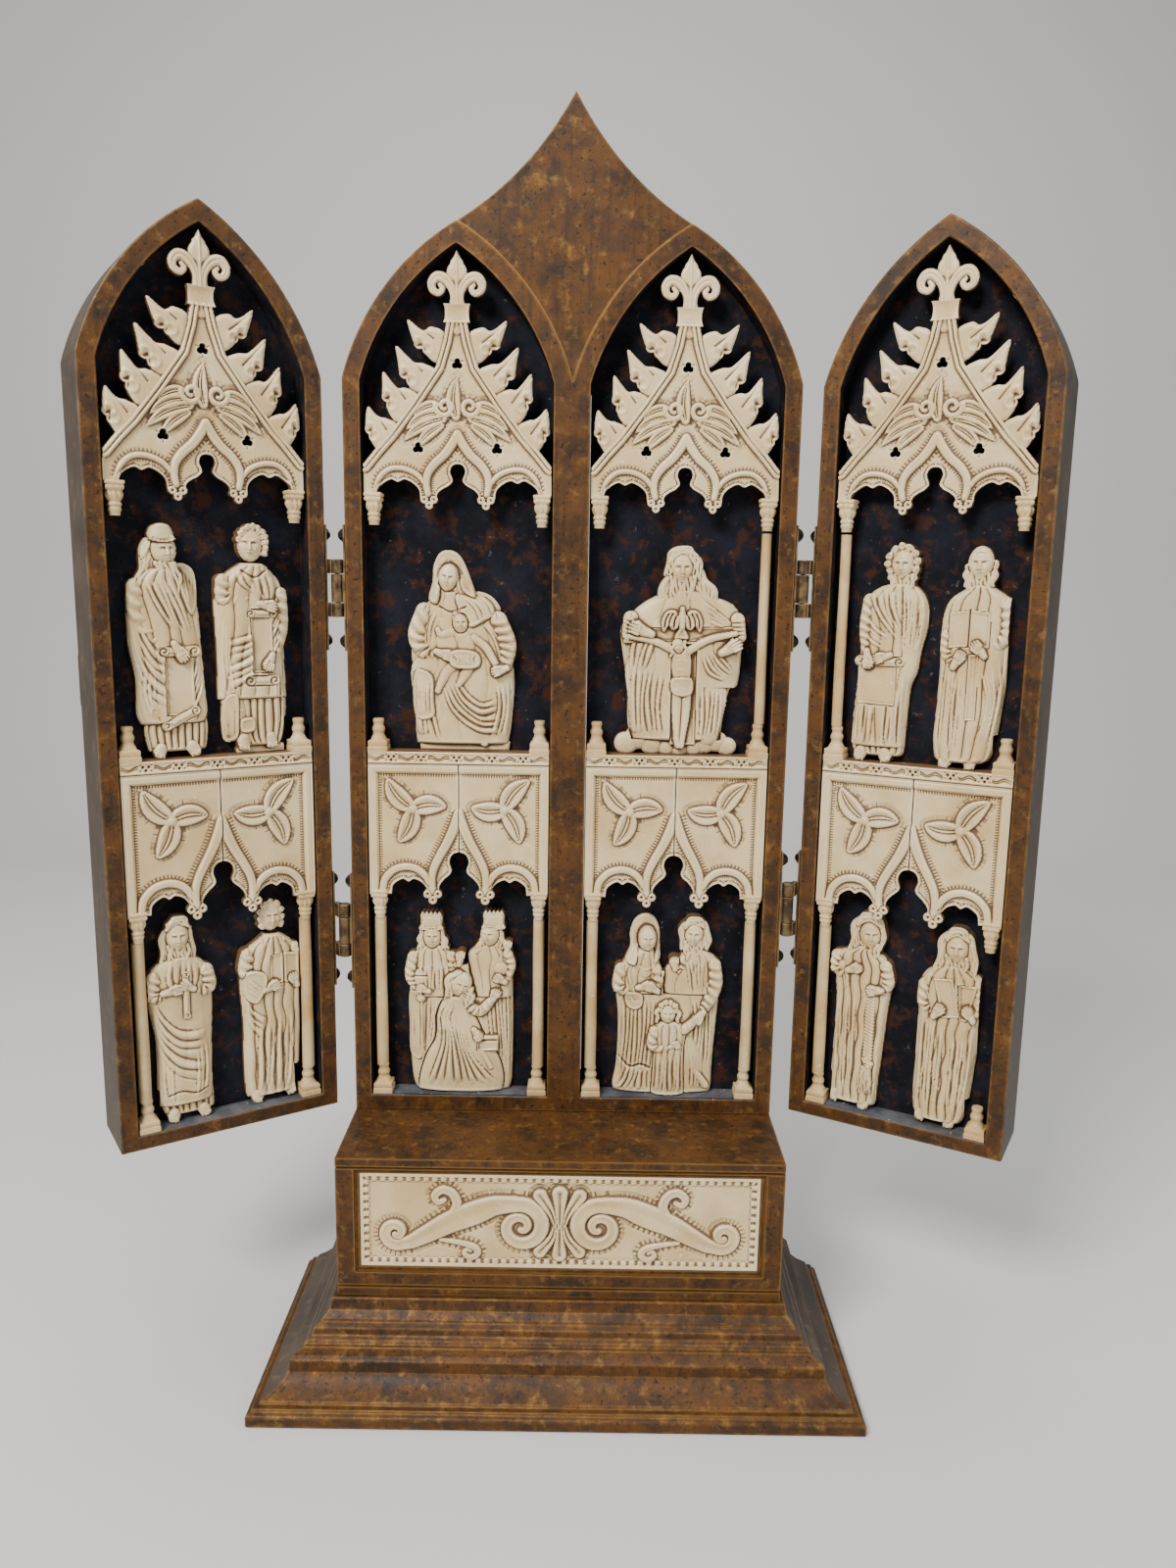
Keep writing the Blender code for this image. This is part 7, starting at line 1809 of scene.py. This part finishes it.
def makeEnthronedElder():
    f = Figure(131.4, 33, 0.46)
    for x, z, r in ((-25, 5, 5.4), (-19, 8, 6), (-12.4, 5, 5.4), (-5, 3.4, 4), (1.4, 3, 4),
                    (8, 3.6, 4.2), (13.6, 5.4, 5), (19.6, 6.2, 5), (24.6, 4, 4.4)):
        f.limb([(x - 0.5, z, r), (x + 0.5, z, r)], 2.8, 3.2)
    f.robe([(7, -22.4, 21.6), (15.7, -24.5, 22.4), (31.7, -25, 25.2), (34.5, -25.2, 29.2), (52, -28, 30.6),
            (61.7, -28.6, 31), (68.7, -23.4, 29), (73.5, -18, 25), (77, -12, 17), (80, -6, 8)], 6.4, 4, 0.5)
    f.limb([(-8, 46, 7), (-18.2, 43.6, 7.4), (-18.6, 28, 6), (-18, 14, 5)], 2.8, 4.6)
    f.limb([(8, 36, 6.6), (16, 31.7, 7.4), (16.6, 20, 6), (15, 9, 5)], 2.8, 4.6)
    f.folds([(-23, 44), (-23.6, 28), (-22.4, 10)], [(-7, 40), (-9, 24), (-7, 9)], 6, 1.7)
    f.folds([(10.4, 34), (11, 20), (10.4, 8)], [(22.6, 32), (22, 20), (20.6, 10)], 5, 1.6)
    f.folds([(10, 50), (14, 40), (22, 36)], [(17, 52), (23, 46), (28, 40)], 5, 1.6)
    f.folds([(-20, 66), (-24, 52), (-24.4, 40)], [(-12, 54), (-14, 48), (-16, 42)], 4, 1.5)
    f.folds([(10, 76), (18, 70), (26, 64)], [(14, 64), (20, 62), (28, 58)], 4, 1.3)
    f.slab([(-4.2, 54), (8.4, 54), (8.8, 4.6), (-3.6, 4.6)], 6.6, 0.5, 0)
    f.slab([(-27.2, 61.4), (31, 63), (31, 56), (-27.2, 54)], 7, 0.5, 0)
    f.hair([(-5.4, 88), (-9, 82), (-9.8, 74), (-6, 66)], [(-4.4, 84), (-6.4, 78), (-6, 72), (-4, 68)], 5, 1.3,
           5.6, 1.5)
    f.hair([(5, 92), (11, 86), (15.4, 80), (16.6, 70)], [(5, 84), (9, 78), (11.4, 72), (11, 64)], 7, 1.4, 5.6,
           1.5, 0.9)
    f.curls([(-8, 71), (-10, 65.6), (13, 66), (16.2, 70.8), (16.6, 63.4)], 2.6, 6.2, 1.6)
    f.head(0, 90, 5.8, 7.8, 5.6, 0.1)
    f.hair([(0, 99.6), (4.6, 98.6), (8, 93.6), (9.4, 85)], [(-0.6, 97), (2.6, 96.2), (5.2, 92.4), (6, 85)], 5,
           1.15, 6.4, 1.6, 0.7)
    f.hair([(0, 99.6), (-4.2, 98.6), (-7, 94), (-7.6, 87)], [(-0.6, 97), (-2.8, 96.2), (-4.8, 92.4),
                                                             (-5.4, 87)], 4, 1.1, 6.4, 1.6, 0.6)
    f.hair([(-5.2, 86), (-5, 79), (-3.4, 73.6), (-2.2, 69.4)], [(5.6, 86), (5.6, 79), (4.2, 73.6), (3, 69.4)],
           9, 1, 6.8, 1.5)
    for s in (-1, 1):
        wing = ((1.2, 66.6), (3.8, 70.2), (7.8, 69.4), (10, 64.4), (8.8, 59.6), (6.6, 62.4), (4.4, 60.8),
                (1.8, 62))
        f.cloth([(0.7 + s * u, v) for u, v in wing], 2, (), 1)
        for u, v in ((4, 61.8), (6.4, 61.6), (8.4, 61.6)):
            f.groove([(0.7 + s * (u - 1.8), 68.4), (0.7 + s * (u - 0.4), 65.6), (0.7 + s * u, v)], 0.4, 1.5)
    f.cloth([(0.7, 62.4), (-2.8, 57), (0.7, 56.2), (4.2, 57)], 2, (), 1)
    f.limb([(0.7, 70.8, 1.2), (0.7, 69.4, 1.3), (0.7, 66, 2.2), (0.7, 62, 1.4)], 2.6, 8.8)
    f.limb([(-1.4, 50, 2), (-12, 55, 1.7), (-24.4, 57.4, 1.3)], 1.7, 8.2)
    f.limb([(3, 50, 2), (14, 56.4, 1.7), (26.8, 59.4, 1.3)], 1.7, 8.2)
    f.limb([(0.6, 49.4, 4.6), (1, 43, 4.8), (1.4, 36.6, 3.8)], 2.4, 7.8)
    f.folds([(-2.6, 46), (0.8, 47), (4.4, 46)], [(-2, 40), (1, 41), (4.4, 40)], 4, 0.5)
    f.limb([(-0.4, 32, 2.7), (-0.6, 20, 2.3), (-0.2, 8, 1.6)], 2, 7.8)
    f.limb([(3.6, 32, 2.7), (3.4, 20, 2.3), (2.2, 8, 1.6)], 2, 7.8)
    f.limb([(-0.4, 8, 1.6), (0.4, 4.6, 1.6)], 1.6, 8.4)
    f.limb([(2.2, 8, 1.6), (1.8, 4.6, 1.6)], 1.6, 8.4)
    f.cloth([(-3.4, 37.4), (6, 37.6), (6.6, 30.4), (2, 28.6), (-3.4, 30.4)], 1.4,
            [([(-2.4, 36.6), (0, 34), (5, 32)], [(-2.6, 32), (0, 30.6), (4, 29.6)], 4, 0.9)])
    f.head(-0.7, 53, 3, 3.9, 8.4, -0.2, 0.2, 2, 0.55)
    f.hair([(-3, 54), (-4, 51), (-4, 48)], [(1.8, 55), (2.6, 52), (2.6, 49)], 2, 0.9, 9, 1)
    f.limb([(-24, 66, 3.6), (-24.6, 58, 3.4)], 2.6, 6.2, 4, 0.5)
    f.hand(-18, 60, 7.2, 160, 9.2, 1.25, 4, -1)
    f.limb([(27.6, 66, 3.4), (29, 58, 3)], 2.4, 6.2, 4, 0.5)
    f.hand(23.8, 52, 6.6, 30, 8.8, 1.2)
    finishFigure(f, "enthronedElderWithCross", "enthroned_elder_with_cross", "centre_right", 0.2, ledgeFoot,
                 12.6)


def crown(f, left, right, low, high, level):
    middle = (left + right) / 2
    half = (right - left) / 2
    f.robe([(low, left, right), (high - 2.2, left - 0.5, right + 0.5)], 2.6, 0, 0, 0, 0, 4, level)
    for i in range(5):
        x = left + (i + 0.5) * 2 * half / 5
        f.limb([(x, high - 3.6, 1.3), (x, high - 1.6, 1.1), (x, high, 0.35)], 1.3, level + 1)
    f.band([(left, low + 0.9), (middle, low + 0.3), (right, low + 0.9)], 1, level + 2.6, 1.6)


def makeCrownedVisitors():
    f = Figure(127.4, 31, 0.46)
    f.robe([(0, -24, 25.6), (6, -26, 27), (23, -27.2, 27.4), (40, -27.4, 27.6), (52, -27.4, 27.4),
            (66, -26.8, 27), (70, -26.6, 26.8)], 5.4, 6, 0.5)
    f.robe([(52, -27.4, -1), (66, -27, -1.4), (74, -25.8, -3), (78.4, -22, -7.4), (81, -18, -11.4)], 6, 5,
           0.8)
    f.robe([(52, 6, 27.4), (66, 4.4, 27.2), (75, 3.6, 26.2), (79.6, 7.4, 22), (82.4, 11, 19)], 6, 4, 0.7)
    f.folds([(-19.8, 70), (-19.4, 62), (-19.4, 56)], [(-8.4, 72), (-8.8, 62), (-9, 56)], 5, 1.4)
    f.band([(-20.4, 55.4), (-14, 54.2), (-8, 55.4)], 1.2, 6.6, 1.8)
    f.folds([(-20, 52), (-20.4, 34), (-21, 8)], [(-9, 52), (-11, 34), (-14, 22)], 5, 1.7)
    f.cloth([(-27.4, 54), (-20.4, 53), (-19.8, 34), (-20.6, 18), (-27.2, 19.4), (-27.8, 36)], 1.2,
            [([(-26.2, 51), (-26.4, 36), (-26.2, 20.6)], [(-21.6, 51), (-21.4, 36), (-21.8, 20)], 3, 1.4)])
    f.folds([(25.6, 60), (26.4, 34), (25.4, 4)], [(14, 48), (16, 30), (20, 5)], 6, 1.8)
    f.limb([(-25, 74, 3), (-26.4, 64, 3.2), (-24, 58, 2.6)], 3, 5, 5, 0.5)
    f.limb([(-5, 74, 3.2), (-4.6, 68, 2.8), (-1.4, 72, 2)], 2.6, 5, 4, 0.4)
    f.limb([(-21, 51.6, 2.6), (-21, 54, 1), (-21, 57, 2.4), (-21, 61.6, 3.7), (-21, 63.6, 3.7)], 2.6, 6.4)
    f.limb([(-21, 64.4, 3.5), (-21, 66.4, 1.8), (-21, 68.4, 0.6)], 2.2, 6.4)
    f.groove([(-24.6, 64), (-17.4, 64)], 0.4, 1)
    f.hand(-19, 56.4, 4.2, 160, 8.4, 0.9, 4, -1)
    f.hair([(-19.4, 88), (-20.8, 82), (-20.6, 77)], [(-10.6, 88), (-9.4, 82), (-9.6, 77)], 2, 1.5, 5.4)
    f.hair([(-20.4, 88), (-21.6, 83), (-22, 78.6)], [(-18.6, 87), (-19, 82), (-19, 78.6)], 3, 1.2, 5.6)
    f.hair([(-11.4, 88), (-10, 83), (-9.6, 78.6)], [(-9.6, 87), (-7.8, 82), (-7, 78.6)], 3, 1.2, 5.6)
    f.head(-14.9, 85.2, 4.8, 6.6, 5.6, 0.1)
    crown(f, -20.6, -9.8, 89.4, 98.6, 5.4)
    f.hand(-0.2, 73.2, 5, 80, 7.4, 0.9)
    f.limb([(24.6, 76, 2.8), (26.2, 70, 2.8), (24.4, 63, 2.4)], 2.8, 5.2, 4, 0.5)
    f.limb([(20.8, 68.3, 4.2), (21, 68.3, 4.2)], 2.6, 6.6)
    f.limb([(20.9, 72.4, 1.8), (20.9, 74.6, 0.7)], 1.4, 6.6)
    f.hand(21.4, 62.4, 4.2, 150, 8.2, 0.95, 4, -1)
    f.hair([(20, 89), (22.4, 84), (22.2, 79)], [(17.6, 87), (18.6, 83), (18.6, 79.6)], 4, 1.2, 5.6)
    f.head(15.4, 86.8, 5, 6.6, 5.6, -0.75, -0.05)
    f.hair([(10.8, 84), (9, 80), (8.6, 77)], [(15.4, 82), (14, 79), (12, 76.4)], 5, 1, 6.4, 1.3)
    crown(f, 12.2, 22.6, 90.4, 99.8, 5.4)
    f.hand(24.6, 79.6, 4.4, 80, 6.4, 0.85)
    # the one who kneels, in front
    f.robe([(0, -23, 22.6), (8, -22.4, 23.4), (20, -19, 20.6), (30, -14, 14), (42, -13.4, 8.6),
            (50, -10.4, 5.4), (54, -6, 3)], 6.4, 3, 0.4, 0, 0, 6, 4.4)
    f.folds([(-11, 44), (-10, 28), (-18, 4)], [(2, 36), (6, 22), (20, 5)], 8, 1.9)
    f.folds([(-9, 50), (-12.4, 42), (-12, 32)], [(-3, 48), (-5, 42), (-4, 34)], 3, 1.3)
    f.limb([(3.3, 49.5, 1.9), (-0.7, 36, 2.2), (9.9, 24.4, 2), (16, 14, 1.6)], 1.8, 8.4)
    f.limb([(2.4, 48.4, 3.2), (10.4, 45, 3), (17, 52, 2.2)], 3, 7.2, 6, 0.5)
    f.slab([(8.4, 31), (20, 31.4), (20.2, 23.6), (8.4, 23.2)], 9.4, 0.7, 0)
    f.groove([(8.8, 28.8), (19.8, 29.2)], 0.4, 1)
    f.hand(17.8, 53.4, 4.4, 60, 8.8, 0.95)
    f.hand(8.4, 33, 4.4, -60, 10, 0.9)
    f.head(0.2, 59.8, 5.6, 6.8, 8, 0.55, -0.35)
    f.hair([(-1, 66.4), (-6, 63.6), (-7.4, 58), (-7, 53.4)], [(0.6, 64.6), (-3, 61.4), (-4, 57), (-4, 53.4)],
           5, 1.2, 9, 1.4)
    f.hair([(-0.6, 55.6), (1.4, 51.6), (3.4, 48.4)], [(5.6, 57), (6.6, 53), (6.4, 50)], 6, 1, 9.4, 1.3)
    f.band([(-7.6, 51.6), (-3.4, 49.8), (0.8, 50.6)], 1.2, 9.2, 1.6)
    finishFigure(f, "crownedVisitors", "crowned_visitors", "centre_left", 0.2, floorFoot, 12.2)


def makeFamilyGroup():
    f = Figure(125.8, 31, 0.46)
    f.robe([(0, -26.4, 25), (3.9, -28, 25.8), (17.3, -26, 26), (42.8, -25.6, 27.6), (62.6, -28, 28.8),
            (69, -27.6, 28.4)], 5.4, 5, 0.5)
    f.robe([(56, -28.2, -2.6), (64, -28.2, -2.8), (71, -25.6, -3), (77, -21, -5.6), (81, -16.4, -7.4)], 6, 4,
           0.7)
    f.robe([(56, -1.8, 28.6), (64, -2.2, 28.8), (71, 0, 28.2), (76, 5.4, 26.6), (80, 8.6, 21.6),
            (82, 11, 17)], 6, 4, 0.7)
    f.folds([(-24, 52), (-23.6, 32), (-25.4, 10)], [(-5.6, 54), (-6.4, 34), (-8, 12)], 8, 1.9)
    f.groove([(-24.6, 20), (-19, 15), (-13, 16.4), (-8.4, 14.6)], 0.6, 1.6)
    f.folds([(-20.6, 15), (-22.6, 8), (-27, 1.6)], [(-9, 14), (-9.4, 8), (-9, 1.6)], 5, 1.8)
    f.folds([(-24, 72), (-25, 62), (-24, 52)], [(-18, 74), (-19.4, 68), (-18, 62)], 4, 1.3)
    f.limb([(-24.6, 70, 3.4), (-25, 60, 3.8), (-18.4, 58.4, 3), (-13, 60.4, 2.2)], 3, 5.2, 6, 0.6)
    f.limb([(-6, 70, 3), (-5, 62, 3.2), (-9, 59.4, 2.4)], 2.8, 5, 4, 0.5)
    f.cloth([(-21.4, 57.4), (-13.4, 56.6), (-12.8, 50), (-17, 47.4), (-21.6, 50)], 1.3,
            [([(-20.4, 56), (-17, 50), (-14, 52)], [(-19, 56.4), (-17, 53), (-15, 54)], 3, 1)])
    f.hand(-12.6, 60.6, 5, 10, 8.2, 1)
    f.hand(-7, 59.6, 4.4, 150, 8.6, 0.95, 4, -1)
    f.cloth([(-12.1, 99.8), (-17.4, 97), (-20, 90), (-20, 82), (-22.6, 75), (-17, 73), (-15.4, 82),
             (-14.8, 89), (-11, 93.4), (-7, 89.6), (-6.4, 82), (-7, 74), (-3.8, 75.4), (-4, 84), (-4.6, 92),
             (-7.4, 98)], 3,
            [([(-13, 98), (-18, 91), (-19, 78)], [(-12, 95), (-15.8, 90), (-16.6, 78)], 3, 1),
             ([(-10, 98), (-5.6, 91), (-4.8, 79)], [(-10.6, 95), (-7.2, 90), (-6.4, 79)], 2, 1)])
    f.head(-10.8, 86.8, 4.8, 6.8, 6, 0.15, 0)
    f.limb([(-10.8, 79.6, 2.6), (-11.2, 75, 3)], 1.4, 5.8)
    f.folds([(-16, 74), (-11, 70.6), (-6, 74)], [(-15, 68), (-11, 65.6), (-7, 68)], 3, 0.9)
    f.folds([(9, 76), (11, 68), (12, 60)], [(20, 76), (19.6, 68), (19.6, 60)], 5, 1.5)
    f.band([(6, 59), (13, 57.6), (20, 58.6)], 1.3, 6.8, 1.8)
    f.folds([(14, 54), (15.4, 40), (15, 30)], [(25.4, 54), (25.2, 34), (24.6, 10)], 5, 1.8)
    f.folds([(12.4, 24), (14, 14), (14, 3)], [(20, 10), (21, 6), (21.4, 2.4)], 4, 1.6)
    f.limb([(10.8, 31, 1.2), (13, 18, 1.9), (22.4, 4.6, 1.9)], 1.2, 6)
    f.limb([(9, 75, 3), (7.4, 70, 3), (4.6, 72.6, 2.2)], 2.8, 5.2, 4, 0.5)
    f.hand(4, 73.2, 4.6, 95, 7.6, 0.95)
    f.limb([(25, 73, 3.6), (25.8, 62, 4), (22.4, 52, 3.6), (19, 46.6, 2.4)], 3.2, 5.4, 7, 0.6)
    f.hair([(13, 98.6), (7.6, 94), (6.8, 87), (7.6, 81.6)], [(13, 95), (9.6, 91), (9.2, 87), (9.6, 83)], 4,
           1.2, 5.4, 1.5)
    f.hair([(15, 98.6), (20.6, 94), (22, 87), (21.4, 81.4)], [(15, 95), (18.4, 91), (19, 87), (18.6, 82.4)],
           4, 1.2, 5.4, 1.5)
    f.head(13.8, 89.6, 5, 7, 5.8, -0.3, -0.08)
    f.hair([(9.4, 85.6), (9.6, 80), (10.6, 75.6)], [(17.6, 85.6), (17, 80), (14.6, 75.6)], 7, 1, 6.6, 1.4)
    f.hair([(8.6, 94.6), (11.4, 98.4), (16.4, 98.4), (19.4, 94.4)],
           [(9.4, 93.6), (12, 95.8), (15.6, 95.8), (18.4, 93.4)], 3, 1.1, 7)
    f.hand(18.2, 44.8, 4.6, 230, 8.8, 1)
    # the child, in front
    f.robe([(0, -6.6, 10.6), (1.8, -7.4, 11), (12, -7, 10.6), (25, -6.6, 10.4), (34, -7.8, 11.4),
            (38.6, -6.6, 10.4), (41.6, -3, 6)], 5.4, 5, 0.8, 0.2, 0, 4, 5.4)
    f.folds([(-4.6, 22), (-5, 12), (-5.4, 2)], [(8.6, 24), (8.6, 12), (8.8, 2)], 6, 1.7)
    f.limb([(-6, 36, 2.8), (-6.6, 28, 3), (0, 26.6, 2.4), (4, 28.4, 1.8)], 2.6, 8.6, 6, 0.5)
    f.limb([(10, 37, 2.6), (14, 40.4, 2.2), (16, 43, 1.6)], 2.2, 8.4, 4, 0.4)
    f.hand(4.2, 28.4, 3.8, 20, 10.2, 0.8)
    f.hair([(-2.6, 50), (-4.6, 46), (-4.4, 41.4)], [(4.6, 50), (6.6, 46), (6.4, 41.4)], 2, 1.5, 8, 1.4)
    f.head(1, 46, 4.1, 5.4, 8.6, 0, 0, 3, 0.8)
    f.curls([(-3.4, 47.8), (-2.8, 50.6), (-0.4, 52.2), (2.4, 52), (4.8, 50.4), (5.4, 47.6)], 1.7, 8.8, 1.4)
    finishFigure(f, "familyGroup", "family_group", "centre_right", -1.8, floorFoot, 12.2)


for makeOne in (makeElderWithScroll, makeYouthWithScroll, makeBeardedManSmallRoll, makeBeardlessManBook,
                makeCurlyElder, makeBaldElder, makeManWithCord, makeManWithTablets,
                makeSeatedMother, makeEnthronedElder, makeCrownedVisitors, makeFamilyGroup):
    makeOne()
print("scene: figures")


# Floor, light and camera

stage = {
    "floor": (0.62, 0.61, 0.59, 1.0), "floorRough": 0.75, "far": 1.3, "bend": 0.6, "near": -2.5,
    "halfWidth": 4.0, "top": 4.0, "sky": (0.80, 0.83, 0.88, 1.0), "skyPower": 0.19,
}


def makeStage():
    # a floor that turns up behind in a quarter circle of radius bend
    made, _, shader = newMaterial("pale floor")
    shader.inputs["Base Color"].default_value = stage["floor"]
    shader.inputs["Roughness"].default_value = stage["floorRough"]
    mesh = bpy.data.meshes.new("floor")
    steps = np.linspace(0.0, 1.0, 17)
    far, bend, side = stage["far"], stage["bend"], stage["halfWidth"]
    line = [(far + bend * math.sin(math.pi / 2.0 * t), bend * (1.0 - math.cos(math.pi / 2.0 * t)))
            for t in steps]
    line = [(stage["near"], 0.0)] + line + [(far + bend, stage["top"])]
    corners = [(x, y, z) for y, z in line for x in (-side, side)]
    mesh.from_pydata(corners, [], [(2 * i, 2 * i + 1, 2 * i + 3, 2 * i + 2) for i in range(len(line) - 1)])
    mesh.shade_smooth()
    mesh.materials.append(made)
    floor = bpy.data.objects.new("floor", mesh)
    bpy.context.scene.collection.objects.link(floor)


lights = {
    "key": {"spot": (-0.9, -1.5, 1.9), "aim": (0.0, 0.0, 0.4), "size": (0.8, 0.6), "power": 74.0,
            "colour": (1.0, 0.975, 0.94)},
    "fill": {"spot": (1.6, -1.3, 1.1), "aim": (0.0, 0.0, 0.35), "size": (1.4, 1.2), "power": 17.0,
             "colour": (0.94, 0.97, 1.0)},
    "top": {"spot": (0.0, 0.1, 2.2), "aim": (0.0, 0.0, 0.3), "size": (1.6, 1.6), "power": 34.0,
            "colour": (1.0, 1.0, 1.0)},
}


def addLight(name, spot, aim, size, power, colour):
    light = bpy.data.lights.new(name, "AREA")
    light.shape = "RECTANGLE"
    light.size = size[0]
    light.size_y = size[1]
    light.energy = power
    light.color = colour
    item = bpy.data.objects.new(name, light)
    item.location = spot
    toward = Matrix.Translation(spot).to_translation() - Matrix.Translation(aim).to_translation()
    item.rotation_euler = toward.to_track_quat("Z", "Y").to_euler()
    bpy.context.scene.collection.objects.link(item)


camera = {"spot": (0.0122, -0.68995, 0.5044), "lens": 26.234, "yaw": 0.0016, "pitch": 0.17461, "roll": 0.0163,
          "sensor": 36.0}


def makeCamera():
    data = bpy.data.cameras.new("camera")
    data.lens = camera["lens"]
    data.sensor_width = camera["sensor"]
    data.sensor_fit = "AUTO"
    data.clip_start = 0.01
    item = bpy.data.objects.new("camera", data)
    yaw, pitch, roll = camera["yaw"], camera["pitch"], camera["roll"]
    forward = np.array((math.sin(yaw) * math.cos(pitch), math.cos(yaw) * math.cos(pitch), -math.sin(pitch)))
    right = np.array((math.cos(yaw), -math.sin(yaw), 0.0))
    up = np.cross(right, forward)
    across = math.cos(roll) * right + math.sin(roll) * up
    upward = -math.sin(roll) * right + math.cos(roll) * up
    place = np.eye(4)
    place[:3, 0], place[:3, 1], place[:3, 2], place[:3, 3] = across, upward, -forward, camera["spot"]
    item.matrix_world = Matrix(place.tolist())
    bpy.context.scene.collection.objects.link(item)
    bpy.context.scene.camera = item


makeStage()
makeCamera()
for name, values in lights.items():
    addLight(name, **values)
world = bpy.data.worlds.new("studio")
world.use_nodes = True
world.node_tree.nodes["Background"].inputs[0].default_value = stage["sky"]
world.node_tree.nodes["Background"].inputs[1].default_value = stage["skyPower"]
bpy.context.scene.world = world
